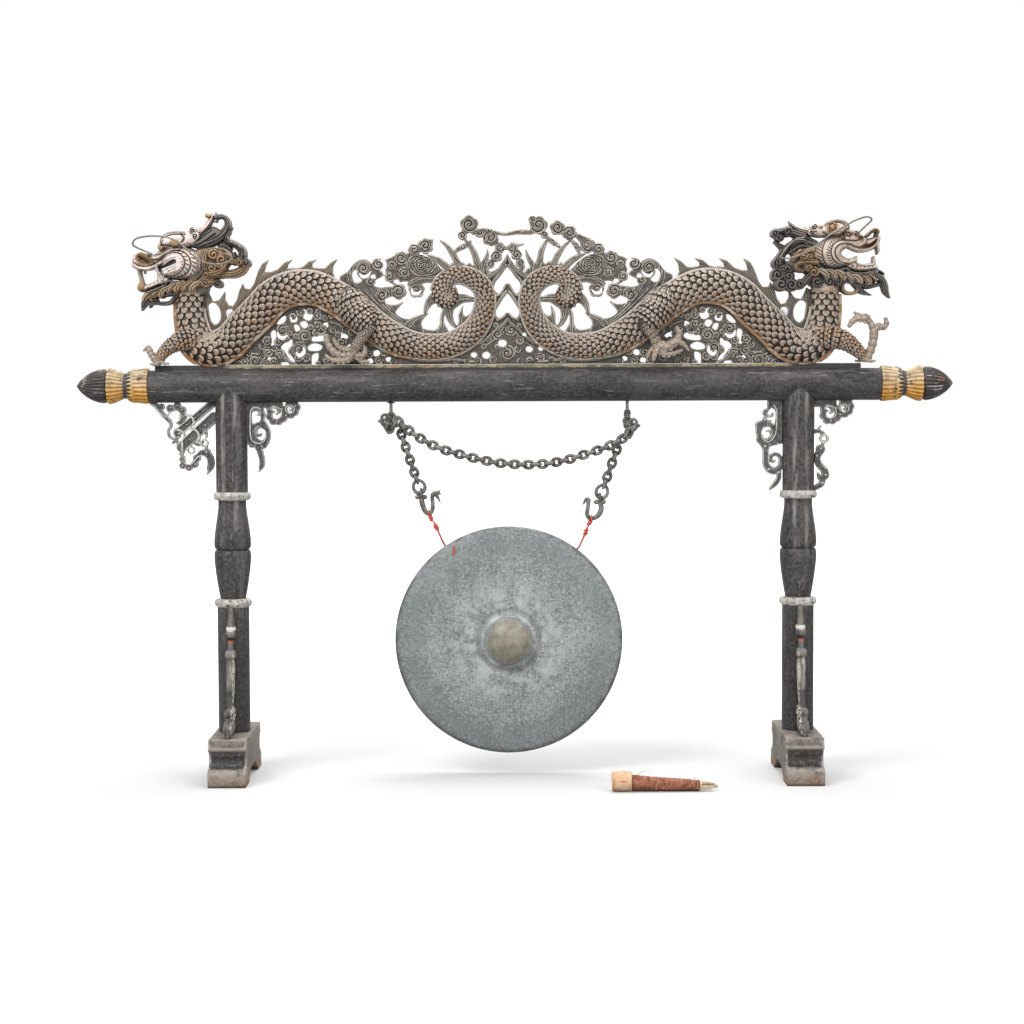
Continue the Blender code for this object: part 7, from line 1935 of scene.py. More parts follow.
def make_low_clouds(side, suffix):
    """The openwork under the hump: a dark board full of rolled clouds."""
    r = Relief((50, -2), (284, 68), 0.5)
    arch = trail((227, 367), (241, 353), (255, 339), (269, 324), (282, 310), (295, 303), (311, 302), (328, 304), (346, 312), (366, 326), (384, 340), (400, 348), (424, 353), (446, 353), (456, 356), (456, 367))
    r.join(r.patch(arch), 0.12, 0.10, 5, 0.0)
    r.join(r.stroke(trail((398, 355), (412, 359), (430, 361), (450, 360)), [2.4, 3.0, 3.0, 2.0]), 0.4, 0.3, 1.3, 0.3)
    windows = [
        ((301, 309), (308, 311), (313, 315), (310, 320), (304, 318)),
        ((300, 323), (305, 321), (308, 325), (304, 328)),
        ((294, 325), (298, 325), (300, 329), (296, 331)),
        ((277, 323), (282, 317), (286, 316), (285, 321), (280, 324)),
        ((271, 332), (275, 330), (276, 338), (273, 346), (270, 342), (271, 337)),
        ((281, 346), (291, 339), (292, 345), (288, 350), (295, 361), (291, 361), (285, 352)),
        ((312, 337), (322, 333), (329, 336), (325, 340), (313, 341)),
        ((308, 346), (315, 343), (322, 346), (319, 350), (309, 350)),
        ((312, 355), (318, 353), (317, 361), (312, 364)),
        ((322, 325), (327, 322), (328, 327), (324, 328)),
        ((340, 332), (348, 336), (345, 339), (341, 338)),
        ((346, 347), (350, 344), (351, 349), (348, 351)),
        ((245, 363), (250, 362), (249, 366), (246, 366)),
        ((281, 362), (289, 362), (287, 365), (283, 365)),
        ((263, 363), (266, 362), (266, 365), (263, 366)),
        ((267, 358), (270, 356), (271, 360), (268, 361)),
        ((373, 352), (378, 350), (380, 354), (375, 356)),
        ((367, 360), (371, 358), (373, 362), (368, 363)),
        ((386, 358), (390, 357), (391, 361), (387, 361)),
    ]
    for window in windows:
        r.pierce(r.patch(trail(*window)))
    rolled = spots(
        (300.6, 312.5, 4.6, 40, 1), (318, 316, 5, 140, -1), (319, 311, 3.2, 0, 1), (283, 330, 7.2, 120, -1), (290, 333, 3.2, 0, 1),
        (296, 336, 3.2, 0, 1), (286, 338, 4.2, 200, 1), (278, 341.5, 4.4, 60, 1), (318, 325.6, 5.2, 20, -1), (311, 327, 3.2, 0, 1),
        (324, 328, 3.2, 0, 1), (316, 332.5, 4, 90, 1), (305, 336, 7.4, 300, 1), (333, 330, 3.6, 30, 1), (338, 334.5, 3.4, 0, 1),
        (342, 342.5, 5.4, 100, 1), (299, 349, 8.2, 200, 1), (291, 351, 3.4, 0, 1), (298, 357.5, 4.2, 90, 1), (306, 357.5, 5, 10, 1),
        (267, 340, 5.2, 150, 1), (268, 351.5, 5.4, 60, 1), (274, 348, 3.6, 0, 1), (280, 353.5, 5.4, 300, 1), (255, 360.5, 9.4, 20, 1),
        (262, 356, 3.8, 0, 1), (267, 363, 4.2, 0, 1), (273.5, 360.5, 4.4, 160, 1), (244, 361, 5, 20, 1), (327.5, 360.5, 5.2, 40, 1),
        (334.5, 362, 4.2, 0, 1), (318, 363.5, 3.4, 0, 1), (350, 358, 5, 0, 1), (358, 352, 4.4, 80, 1), (344, 352, 4, 0, 1),
        (293, 317, 4.2, 200, 1), (362, 361, 4.6, 0, 1), (369, 353, 5.0, 60, 1), (379, 361, 4.8, 200, -1), (372, 343, 4.2, 0, 1),
        (384, 352, 4.4, 90, 1), (393, 362, 3.8, 30, 1), (332, 315, 4.0, 10, 1), (343, 324, 3.8, 80, -1), (352, 332, 4.0, 150, 1),
        (325, 318, 3.4, 220, 1), (262, 346, 3.6, 60, 1), (249, 353, 3.6, 0, 1), (238, 363, 3.8, 0, -1), (310, 311, 3.4, 70, 1),
    )
    for u, w, radius, start, hand in rolled:
        r.cloud(u, w, radius, start, hand, 0.38, 0.36, 5 if radius > 4.5 else 0, 0.2)
    r.pierce(r.stroke(trail((277.5, 332), (279, 336), (283, 337.5), (287, 335)), [1.6, 3.4, 3.6, 1.6]))
    r.pierce(r.stroke(trail((296, 352), (299, 355), (303.5, 352), (303.5, 347)), [1.6, 3.6, 3.6, 1.4]))
    r.pierce(r.stroke(trail((290.4, 317), (292, 320.6), (296, 320), (296.6, 316.6)), [1.4, 2.4, 2.4, 1.2]))
    r.join(r.stroke(trail((276, 353), (283, 356), (289, 361), (296, 363.5)), [3, 3.4, 3.6, 2.4]), 0.4, 0.3, 1.6)
    r.join(r.stroke(trail((316, 333), (322, 334), (326, 331)), [2.6, 2.6, 2.0]), 0.45, 0.3, 1.2)
    r.join(r.stroke(trail((330, 322), (337, 324), (342, 327), (343, 333)), [1.6, 1.7, 1.7, 1.3]), 0.3, 0.3, 0.8)
    r.groove(trail((236, 362), (250, 348), (264, 334), (278, 320), (290, 311)), 0.5, -0.2)
    clear_of_body(r)
    on_strip(r)
    dress(r.crest_board("carved_low_clouds_" + suffix, side, FRET_HALF, FRET_WOOD, lip=0.30, edge=1.0), STAND, "grey_green_fretwork", "low_clouds_" + suffix)


def make_shoulder_clouds(side, suffix):
    """The bank of clouds between the hump and the tail, with flames that lick along the back."""
    r = Relief((56, 22), (176, 130), 0.5)
    flame_bank = trail(
        (340, 279), (348, 272), (357, 262), (364, 260), (370, 262), (374, 266), (380, 270), (384, 276), (372, 283), (380, 288), (392, 287),
        (396, 292), (386, 303), (396, 305), (404, 302), (399, 308), (396, 313), (402, 318), (412, 320), (414, 326), (424, 329), (436, 330),
        (442, 322), (446, 332), (440, 345), (415, 340), (395, 332), (375, 318), (356, 300),
    )
    r.join(r.patch(flame_bank), 0.22, 0.25, 6, 0.1)
    r.join(r.patch(trail((384, 262), (396, 256), (408, 254), (422, 256), (434, 262), (440, 268), (446, 274), (440, 281), (426, 279), (414, 283), (404, 282), (394, 285), (388, 280), (386, 272))), 0.26, 0.25, 5, 0.1)
    r.join(r.patch(trail((408, 284), (414, 279), (424, 276), (437, 277), (447, 274), (452, 282), (440, 285), (428, 283.5), (418, 286), (410, 287.5))), 0.42, 0.35, 3, 0.3)
    rolled = spots(
        (364, 269, 7.6, 250, 1, 0), (379, 265, 6.4, 20, -1, 0), (371, 281.5, 5.2, 90, 1, 5), (390, 277.5, 5.4, 120, 1, 5), (402, 259, 7.4, 200, 1, 6),
        (405, 273.5, 6.4, 330, 1, 6), (415, 251, 6.6, 60, 1, 6), (426, 247, 8.2, 330, -1, 6), (383, 295.5, 8.0, 150, 1, 5), (399, 292, 8.2, 20, 1, 5),
        (417, 290.5, 8.2, 200, 1, 5), (411, 266, 5, 90, 1, 0), (393, 266, 4.6, 200, 1, 0),
    )
    for u, w, radius, start, hand, lobes in rolled:
        r.cloud(u, w, radius, start, hand, 0.45, 0.40, lobes, 0.2)
    r.join(r.patch(trail((421, 243), (427, 240.5), (433.5, 240.5), (433, 245), (430, 249), (424, 252), (419, 250))), 0.5, 0.35, 3, 0.2)
    r.spiral(*trail((426, 246.5))[0], 4.6, 1.3, 0, 1, 0.6, 0.45)
    big = trail((410, 258), (420, 255.5), (430, 259), (437, 266), (440, 272), (433, 275), (424, 277), (414, 275.5), (409, 268))
    r.join(r.patch(big), 0.62, 0.36, 5, 0.2)
    for hand in (0.0, 1.0):
        coil = []
        for k in range(44):
            share = k / 43
            reach = lerp(12.4, 1.2, share) + 0.5 * math.sin(k * 1.9)
            angle = 0.5 + hand * math.pi + share * 2 * math.pi * 2.3
            coil.append((AXIS_COLUMN - 423.4 + reach * 1.12 * math.cos(angle), TOP_ROW - 266 + reach * 0.80 * math.sin(angle)))
        r.groove(coil, 0.62, 0.42)
    windows = [
        ((353, 273), (357, 270), (358, 276), (362, 281), (356, 283), (353, 278)),
        ((371, 276), (375, 275), (376, 279), (372, 278.6)),
        ((378, 284), (384, 281), (389, 283), (385, 286), (379, 286)),
        ((394, 281), (398, 280), (400, 283), (396, 284)),
        ((385, 300), (391, 297.5), (393, 301), (388, 304)),
    ]
    for window in windows:
        r.pierce(r.patch(trail(*window)))
    r.pierce(r.stroke(trail((360, 274), (363, 277), (368, 276), (371, 272)), [1.4, 3, 3, 1.2]))
    r.pierce(r.stroke(trail((381, 260.5), (385, 263), (385, 268), (381, 271)), [1.4, 3.4, 3.4, 1.4]))
    r.pierce(r.stroke(trail((412, 289), (413, 293), (418, 294), (421.5, 291)), [1.4, 3.2, 3.2, 1.4]))
    hair_grooves(
        r,
        [
            ((352, 268), (349, 276), (354, 288), (366, 300)), ((356, 262), (352, 272), (358, 286), (370, 298), (382, 310)),
            ((366, 290), (380, 304), (396, 318), (412, 328)), ((372, 288), (386, 306), (402, 320), (420, 331)),
            ((388, 304), (396, 314), (410, 324), (426, 333)), ((350, 282), (360, 295), (374, 309)), ((380, 288), (386, 300)),
            ((416, 325), (428, 332), (438, 334)), ((439, 325), (440, 333), (434, 337)),
        ],
        0.5,
        0.26,
    )
    r.groove(trail((408, 285), (416, 280.5), (426, 278), (440, 279.5)), 0.5, 0.3)
    clear_of_body(r)
    dress(r.crest_board("carved_shoulder_clouds_" + suffix, side, FRET_HALF, FRET_WOOD, lip=0.30, edge=1.0), STAND, "grey_green_fretwork", "shoulder_clouds_" + suffix)


def flame(relief, places, widths, level=0.45, crown=0.4, tint=0.5):
    relief.join(relief.stroke(trail(*places), widths), level, crown, 2.2, tint)
    relief.groove(trail(*places), 0.45, 0.16)


def make_heart_panel():
    """The middle of the crest: two stacked spade openings, their clouds, and the branches that arch over them."""
    r = Relief((-96, -2), (86, 156), 0.5)
    half = [(0, 112), (4, 105), (9, 98), (16, 93), (23, 88), (28, 76), (30, 58), (36, 44), (48, 29), (60, 17), (72, 9), (72, 0), (0, 0)]
    r.join(r.patch(half + [(-u, w) for u, w in half[-2:0:-1]], False), 0.16, 0.12, 5, 0.0)
    spades = [
        [(0, 99), (3, 95.5), (7.5, 89), (12, 84), (13.6, 79), (12.6, 75), (9, 72), (5.5, 74), (2.6, 78), (0, 83)],
        [(0, 73), (4, 68), (8.5, 61), (11.5, 56), (11.6, 51), (8.6, 48), (5, 49.5), (2.2, 51), (0, 54)],
    ]
    for spade in spades:
        both = spade + [(-u, w) for u, w in spade[-2:0:-1]]
        r.pierce(r.patch(both, False))
        for sign in (1, -1):
            line = [(sign * (u + 1.6), w + (1.2 if k < 5 else -1.6)) for k, (u, w) in enumerate(spade)]
            r.join(r.stroke(line[:6], 3.0), 0.5, 0.35, 1.3, 0.5)
            r.join(r.stroke(line[5:], 2.4), 0.45, 0.3, 1.1, 0.5)
    for sign in (1, -1):
        r.join(r.stroke([(0, 110), (sign * 4, 101), (sign * 10, 94), (sign * 17, 89), (sign * 24, 84)], [2.4, 3, 3.2, 3.2, 2.6]), 0.55, 0.4, 1.5, 0.5)
        r.join(r.stroke([(0, 47), (sign * 4, 42), (sign * 10, 37.5), (sign * 18, 30), (sign * 28, 23.5), (sign * 38, 25)], [3.0, 3.2, 3.2, 3.2, 3, 1.8]), 0.6, 0.35, 1.5, 0.5)
        r.join(r.stroke([(sign * 3, 40), (sign * 9, 33), (sign * 16, 24.5), (sign * 26, 20)], [1.6] * 4), 0.4, 0.25, 0.8, 0.4)
        r.join(r.stroke([(sign * 30, 4.5), (sign * 46, 6), (sign * 60, 8.5), (sign * 70, 8)], [2, 3.4, 3.2, 1.6]), 0.45, 0.35, 1.6, 0.5)
        r.join(r.stroke([(sign * 24, 33), (sign * 34, 27), (sign * 44, 24)], [2.2, 3, 1.4]), 0.5, 0.35, 1.4, 0.5)
    rolled = spots(
        (498, 334.5, 6.4, 200, 1, 5), (511.5, 330.5, 6.4, 340, -1, 5), (507.5, 353.5, 8.6, 90, 1, 5), (540.5, 358, 5, 0, 1, 5), (489, 340, 3.4, 0, 1, 0),
        (520, 341, 4.6, 20, 1, 0), (493, 360, 4, 90, 1, 0), (478, 361.6, 4.0, 0, 1, 0), (467, 361.4, 3.6, 60, 1, 0), (530, 361, 4.0, 200, 1, 0),
        (552, 360.6, 4.0, 20, -1, 0), (498, 347.4, 3.4, 20, 1, 0), (518, 349.6, 3.8, 90, 1, 0), (534, 342.4, 3.0, 0, 1, 0), (484, 346.6, 3.2, 60, 1, 0),
        (520, 326.6, 3.0, 90, 1, 0), (496, 325.6, 3.0, 90, 1, 0), (520, 361.8, 3.6, 90, 1, 0), (563, 361.6, 3.2, 90, 1, 0), (456, 362.6, 3.0, 90, 1, 0),
    )
    for u, w, radius, start, hand, lobes in rolled:
        r.cloud(u, w, radius, start, hand, 0.36, 0.34, lobes, 0.2)
    for hole in spots((502.5, 343.5, 4.4), (529.5, 349.5, 3.6), (541, 349, 2.6), (474, 355, 3.1), (486.5, 355.5, 4.2), (524.5, 335, 2.2)):
        r.pierce(r.disc(hole[0], hole[1], hole[2] * 0.94, 5, 0.08, 0.6, 0.85))
    rolled = spots(
        (470, 226, 9.6, 200, 1, 5), (463, 237, 4.6, 0, 1, 0), (480, 234.5, 4.6, 20, 1, 0), (491, 239, 8.6, 340, 1, 6), (500.5, 249, 5.6, 180, 1, 5),
        (497, 257.5, 6, 0, 1, 5), (490.5, 265, 4.6, 90, 1, 0), (513.5, 249, 5.6, 0, -1, 5), (517, 256, 5.6, 180, -1, 5), (520.5, 264, 4.4, 90, 1, 0),
        (539, 227, 9.6, 330, -1, 5), (545, 236.5, 3.8, 0, 1, 0), (558, 229.5, 7.8, 200, 1, 5), (570, 234.5, 7.8, 20, 1, 5), (533, 221.5, 4, 0, 1, 0),
    )
    for u, w, radius, start, hand, lobes in rolled:
        r.cloud(u, w, radius, start, hand, 0.48, 0.42, lobes, 0.25)
    for line, widths in (
        (((474, 234), (484, 231.5), (495, 233.5), (506, 235.5), (518, 233.5), (532, 234)), [4.5, 5, 4, 3.6, 5, 4.6]),
        (((495, 243), (501, 247), (507, 249.5), (514, 248), (524, 245.5)), [5, 5.4, 3.6, 4.6, 1.4]),
        (((471, 243), (466, 247), (459, 250), (456, 253)), [3, 5, 5, 2.6]),
        (((548, 239), (553, 243.5), (559, 247.5)), [3, 5.4, 3.6]),
        (((572, 242), (577, 248), (580, 255.5)), [3, 5.4, 2.6]),
        (((579, 238), (586, 243), (592, 248)), [6, 9, 7]),
        (((520, 262), (523, 268), (519, 272), (516, 268)), [4, 5, 4, 2]),
    ):
        r.join(r.stroke(trail(*line), widths), 0.42, 0.36, 2.2, 0.3)
    for centre in ((463, 248.5), (555, 244.5), (577, 248.5), (490, 232), (524, 234)):
        u, w = trail(centre)[0]
        r.spiral(u, w, 3.0, 1.0, 40, 1, 0.5, 0.35)
    flames = [
        (((441, 241.6), (447.6, 247), (453, 254.4), (457.4, 263), (462, 272)), [1.4, 4.6, 6.2, 7.0, 8.5]),
        (((463.6, 239.4), (470, 246), (475, 255), (478, 265), (481, 276)), [1.4, 4.6, 6.4, 7.2, 8.5]),
        (((488, 251), (487.6, 257), (484.6, 264), (482, 274)), [1.4, 3.8, 5.4, 7]),
        (((428, 256), (436, 259.6), (444, 265), (451, 272)), [1.6, 5.6, 7.0, 8]),
        (((549.6, 239.4), (545.0, 246), (541.6, 254), (540, 263), (537, 273)), [1.4, 4.4, 6.0, 7.0, 8.5]),
        (((571.4, 242), (564.0, 248.4), (558.6, 256), (554.6, 264), (551, 272)), [1.4, 4.4, 6.0, 7.0, 8.5]),
        (((526.5, 251.4), (528.4, 258), (532, 264.6), (536, 272)), [1.4, 4.0, 5.4, 7]),
        (((585.6, 255.4), (577, 259), (569.6, 264), (563, 271)), [1.6, 5.6, 7.0, 8]),
        (((497, 272), (489, 276), (484, 282)), [2, 4.4, 5]),
        (((519, 272), (527, 277), (531, 284)), [2, 4.4, 5]),
    ]
    for line, widths in flames:
        flame(r, line, widths)
    r.join(r.patch(trail(
        (448, 271), (452, 263.5), (455, 265.5), (457.5, 261), (460.5, 265.5), (463.5, 262.6), (466, 266), (470, 263.4), (473.5, 266.6),
        (477, 262), (480, 267.4), (484, 267), (489, 270), (492, 276), (488, 285), (480, 280), (466, 275), (456, 275)), False), 0.34, 0.3, 3, 0.5)
    r.join(r.patch(trail(
        (564, 271), (562, 263), (558, 266), (556, 261), (553, 265.4), (550, 262), (546, 265), (542, 261.6), (538, 266), (534, 262.6),
        (532, 268), (527, 270), (524, 276), (530, 286), (540, 280), (554, 275)), False), 0.34, 0.3, 3, 0.5)
    hair_grooves(r, [((455, 259), (463, 266), (472, 272)), ((470, 256), (476, 265), (482, 276)), ((483, 262), (486, 272), (487, 282)), ((545, 258), (540, 266), (536, 276)), ((533, 262), (532, 272), (531, 282))])
    clear_of_body_pair(r)
    on_strip(r)
    dress(r.crest_board("carved_heart_panel", -1, FRET_HALF, FRET_WOOD, lip=0.30, edge=1.0), STAND, "grey_green_fretwork", "heart_panel")


def clear_of_body_pair(relief):
    clear_of_body(relief)
    relief.u = -relief.u
    clear_of_body(relief)
    relief.u = -relief.u


FIN_EDGE = [
    (305, 74), (299.5, 77.5), (297, 71), (294.5, 66), (288.5, 67), (285, 72), (282, 76), (282.4, 68), (279, 62), (275, 61), (271, 67), (268, 77),
    (264.5, 83.5), (262.4, 78.5), (257, 78), (253, 84), (249.6, 96), (246, 103), (239.6, 107), (242.4, 100), (243, 94.5), (237, 95),
    (230, 97.5), (223.6, 104.5), (215.6, 107), (220, 101.6), (220.6, 98), (212, 97.6), (205.6, 99.6), (199.6, 105), (191, 107), (196, 102.5),
    (195.5, 99), (190, 98), (183, 98.5), (177.6, 104), (170.6, 107.5), (174.6, 101), (175, 94), (172.5, 88), (174, 76), (188, 80),
    (205, 85), (225, 82), (240, 74), (255, 58), (270, 45), (285, 30), (302, 30),
]


def make_fin(side, suffix):
    """The back fin: pointed flames, combed with grooves that run out to their tips."""
    r = Relief((164, 24), (312, 112), 0.5)
    r.join(r.patch(FIN_EDGE, False), 0.35, 0.4, 5, 0.0)
    r.pierce(r.patch([(299, 62), (294, 64.5), (289, 60), (287, 53), (288.5, 46), (293, 43), (297, 47), (298.5, 54)]))
    r.pierce(r.patch([(281, 57), (276.5, 58), (274, 54), (277, 49), (281, 51)]))
    lines = []
    for tip, root in (
        ((299, 76), (303, 62)), ((282, 75), (286, 62)), ((264.5, 82), (278, 58)), ((240.5, 106), (254, 76)), ((217, 106.5), (230, 88)),
        ((192.5, 106.6), (208, 91)), ((172, 107), (184, 88)),
    ):
        for shift in (-5.5, -2.5, 0.5, 3.5):
            lines.append([(tip[0] + shift * 0.25, tip[1] - 1.5 - abs(shift) * 0.8), (lerp(tip[0], root[0], 0.5) + shift * 0.8 - 1.5, lerp(tip[1], root[1], 0.5)), (root[0] + shift * 1.7, root[1] - 2)])
    for line in lines:
        r.groove(line, 0.5, 0.28)
    hairs(r, 0.10, 0.40, 90, 2.4, 4.2, 0.5, 0.9)
    r.tint = np.full(r.u.shape, 0.75 if side < 0 else 0.0)
    if side > 0:
        r.u = r.u - np.clip((r.w - 84) / 22, 0, 1) * 1.6
    else:
        r.u = r.u - np.clip((r.w - 84) / 22, 0, 1) * 1.2
    for k in range(7, 24):
        share = k / 24
        row = flowing(SPINE, 3)[int(share * 30)]
        r.groove([(row[0] - 18, row[1] + 16), (row[0] - 8, row[1] + 20)], 0.4, 0.14)
    clear_of_body(r)
    dress(r.crest_board("carved_fin_" + suffix, side, FIN_HALF, FIN_WOOD, lip=0.45, edge=1.2, rubbed=1.1, rim=0.6), STAND, "grey_green_fretwork")


make_strip()
for flank, word in ((-1, "left"), (1, "right")):
    make_low_clouds(flank, word)
    make_shoulder_clouds(flank, word)
    make_fin(flank, word)
make_heart_panel()


# Dragons' bodies: an underlying form, the scales laid over it, the lines along back and belly, and the legs

FLATNESS = 0.80


def body_route(side, count=900):
    """Rows of (out, up, half width), with the directions along and to the back, along a dragon."""
    rows = evenly(flowing(SPINE, 10), count)
    tangent = np.gradient(rows[:, :2], axis=0)
    tangent /= np.linalg.norm(tangent, axis=1)[:, None]
    back = np.stack([tangent[:, 1], -tangent[:, 0]], axis=1)
    return rows, tangent, back


def to_world(side, flat, forward):
    """World places of points given in the drawing's plane and forward of it, for a body seen square on."""
    flat = np.array(flat, float)
    flat[:, 0] = leaning(side, flat[:, 0])
    forward = np.broadcast_to(np.asarray(forward, float), (len(flat),))
    return np.stack(
        [CREST_X + side * flat[:, 0] * SQUARE, PLANE - forward * SQUARE, BEAM_TOP + CREST_LIFT + flat[:, 1] * RISE], axis=1
    )


def scale_piece(name="scale", wide=0.475, tip=0.58, lift=0.33):
    """One scale: a rounded tongue that rises towards its scuffed pale tip; its sides and sunk root are marked dark as
    painted shade.
    """
    pile = Pile()
    steps, shells = 14, ((1.0, -0.16, 0), (1.0, 0.02, 1), (0.90, 0.10, 2), (0.66, 0.15, 3), (0.34, 0.17, 4))
    points, wear_and_shade = [], []
    for share, high, kind in shells:
        for k in range(steps):
            angle = 2 * math.pi * k / steps
            x, y = math.sin(angle), math.cos(angle)
            rise = lift * (0.5 + 0.5 * y * share) ** 1.3 if kind else 0.0
            x *= 1.0 if y > 0 else 1 - 0.30 * abs(y)
            points.append((wide * share * x, tip * share * y, high + rise))
            # the rim of the tip is marked pale for rubbing; the sides and the root, under the row before, are marked
            # dark, a painted shade
            wear_and_shade.append((-0.9, -0.5, 0.85, 0.10, -0.05)[kind] if y > -0.25 else -0.8)
    faces = []
    for i in range(len(shells) - 1):
        for k in range(steps):
            n = (k + 1) % steps
            faces.append((i * steps + n, i * steps + k, (i + 1) * steps + k, (i + 1) * steps + n))
    top = len(shells) - 1
    faces.append(tuple(top * steps + k for k in range(steps - 1, -1, -1)))
    faces.append(tuple(range(steps)))
    pile.add(points, faces, wear_and_shade)
    return pile.made(name, SCALE_WOOD, 50)


def scaled_skin(route, tangent, out, wide, deep, pitch, seed, clear=None, edge=1.1, row_step=0.78, jitter=0.06, rust=0.0):
    """Places, axes, sizes and tints of staggered scales round a body. out is the direction to the back."""
    chance = random.Random(seed)
    reach = np.concatenate([[0.0], np.cumsum(np.linalg.norm(np.diff(route, axis=0), axis=1))])
    places, axes, sizes, tints = [], [], [], []
    here, row = 0.0, 0
    while here < reach[-1]:
        i = min(int(np.searchsorted(reach, here)), len(route) - 1)
        w, d = wide[i], deep[i]
        step = pitch(wide[i], here / reach[-1])
        count = max(6, 2 * int(round(math.pi * (w + d) / step / 2)))
        front = np.cross(out[i], tangent[i])
        for k in range(count):
            angle = 2 * math.pi * (k + 0.5 * (row % 2)) / count
            c, s = math.cos(angle), math.sin(angle)
            if abs(c) > edge:
                continue
            place = route[i] + out[i] * w * c + front * d * s
            normal = unit(out[i] * c / w + front * s / d)
            if clear is not None and clear(place, normal):
                continue
            along = unit(tangent[i] - normal * (tangent[i] @ normal))
            across = np.cross(along, normal)
            spin = chance.uniform(-jitter, jitter)
            across, along = across * math.cos(spin) + along * math.sin(spin), along * math.cos(spin) - across * math.sin(spin)
            size = step * chance.uniform(0.97, 1.07)
            places.append(place)
            axes.append((across, along, normal))
            sizes.append((size, size, size))
            tints.append(0.26 - 0.22 * c + chance.uniform(-0.10, 0.10) + rust)
        here += step * row_step
        row += 1
    return places, axes, sizes, tints


def strip_clear(place, normal):
    """True where a scale would run into the plinth strip or the beam."""
    low = STRIP_HEIGHT + 0.003
    return (abs(place[1] - PLANE) < 0.0175 and place[2] < low) or (
        math.hypot(place[1] - PLANE, place[2] - BEAM_HEIGHT) < BEAM_RADIUS + 0.004
    )


def above_beam(obj):
    """Keeps a piece's points off the beam and the plinth strip by lifting them just clear."""
    low = STRIP_HEIGHT + 0.0005
    for corner in obj.data.vertices:
        x, y, z = corner.co
        if abs(y - PLANE) < 0.0155:
            if z < low:
                corner.co.z = low
        else:
            floor = BEAM_HEIGHT + math.sqrt(max((BEAM_RADIUS + 0.0005) ** 2 - (y - PLANE) ** 2, 0.0))
            if z < floor and abs(y - PLANE) < BEAM_RADIUS:
                corner.co.z = floor
    return obj


# Limbs as (out, up, forward, half width), in squares
LIMBS = {
    -1: {
        "arm": [(312, 30, 4, 12), (323, 28, 8, 10), (334, 24, 9, 7.6), (345, 15, 9, 5.4), (351.4, 6, 8, 4.2)],
        "thigh": [(160, 73, 6, 9), (157, 66, 9, 14), (153, 58, 10.5, 15.6), (146, 49, 12, 13), (139, 42, 13, 8.4)],
        "shin": [(138, 42, 13.6, 6.6), (143, 34, 13.6, 5.2), (149, 25, 13.4, 4.6), (155, 16, 13, 4.4)],
    },
    1: {
        "arm": [(312, 29, 4, 12), (325, 28, 8, 10.6), (339, 23.6, 9, 8.4), (351, 14, 9, 6.0), (359, 6.5, 8, 4.2)],
        "thigh": [(160, 73, 6, 9), (157, 66, 9, 14), (153, 58, 10.5, 15.6), (146, 49, 12, 13), (140, 42, 13, 8.4)],
        "shin": [(140, 42, 13.6, 6.4), (145, 35, 13.6, 5.2), (150, 28, 13.4, 4.6), (153, 20, 13, 4.6)],
    },
}
# Talons: places, half width at the root and at the tip, and how many knobs run along it
TALONS = {
    -1: [
        ([(351.4, 6, 8), (354, 9, 9.6), (357.6, 14.6, 10), (360, 19.4, 10)], 3.9, 3.2, 4),
        ([(358.4, 18, 10), (361.6, 19.4, 10), (364.4, 17.4, 9.6)], 2.6, 1.2, 2),
        ([(350, 5.4, 12), (354, 3.6, 12.4), (358, 3.8, 12)], 2.4, 1.0, 2),
        ([(348, 7, 4), (344, 4.4, 4), (340, 4.2, 4.4)], 2.0, 0.9, 2),
        ([(348, 6, 12), (344, 4.2, 13), (340.6, 4.0, 13)], 2.0, 0.9, 2),
        ([(156, 15, 13), (163, 12.2, 13.4), (171, 14, 13.4), (177, 19, 13), (180.6, 25, 12.4), (181.4, 30, 12)], 5.6, 3.2, 6),
        ([(156, 14, 14.6), (160, 8.6, 15), (168, 6.6, 15), (176, 7.6, 14.4), (182, 11.4, 13.6)], 4.0, 1.8, 6),
        ([(156, 15, 12.4), (151, 11.4, 12.4), (145, 11.8, 12.4), (143, 17, 12.2), (145, 21.4, 12)], 4.4, 2.0, 5),
        ([(158, 17, 16.4), (165, 18, 16.6), (171, 22, 16), (174, 27.6, 15)], 3.6, 1.8, 5),
        ([(152, 12, 11), (147, 6.4, 11.4), (140, 5.2, 11.4)], 3.4, 1.6, 4),
    ],
    1: [
        ([(360, 7, 9), (363.6, 15, 10), (366, 24, 10.6), (367, 33, 10.6)], 4.2, 4.2, 4),
        ([(367, 31, 10.6), (364.6, 40, 10.8), (358.6, 46.8, 10.6), (351.6, 50, 10.2), (347.4, 52, 10)], 4.4, 1.4, 5),
        ([(359, 46.6, 10.4), (350, 46.8, 11), (345, 43.4, 11.4), (342.4, 39.6, 11.2)], 4.4, 2.4, 4),
        ([(366.6, 35, 10.6), (371.6, 38.4, 10.6), (376, 37.8, 10.4), (379.2, 40.6, 10.2), (378.6, 45.6, 10)], 4.0, 2.2, 4),
        ([(357, 7.6, 5), (352.6, 4.6, 5), (348.4, 4.4, 5.2)], 2.2, 1.0, 2),
        ([(359, 6, 12), (363, 4.2, 12.4), (368, 4.4, 12)], 2.4, 1.0, 2),
        ([(153, 21, 13), (159, 19.4, 13.6), (166, 20.4, 13.6), (172, 25.6, 13.2), (174.6, 32, 12.6), (172.4, 36.8, 12)], 5.4, 2.8, 6),
        ([(153, 18, 14.6), (150, 12, 15), (148.6, 6.4, 14.8)], 4.2, 2.0, 3),
        ([(154, 17, 12.4), (160, 12.4, 13), (168, 12.4, 13), (177, 15.4, 12.6)], 4.2, 1.6, 5),
        ([(166, 22, 15.4), (174, 24, 15.6), (180, 20.6, 15), (184, 15.6, 14.4)], 3.4, 1.2, 5),
        ([(152, 20, 11), (146, 15, 11.4), (142, 8, 11.2)], 3.6, 1.6, 4),
    ],
}


def limb_route(side, stations, per_leg=10):
    rows = flowing(stations, per_leg)
    world = np.array([crest(side, u, w, f) for u, w, f, _ in rows])
    return world, rows[:, 3] * SQUARE


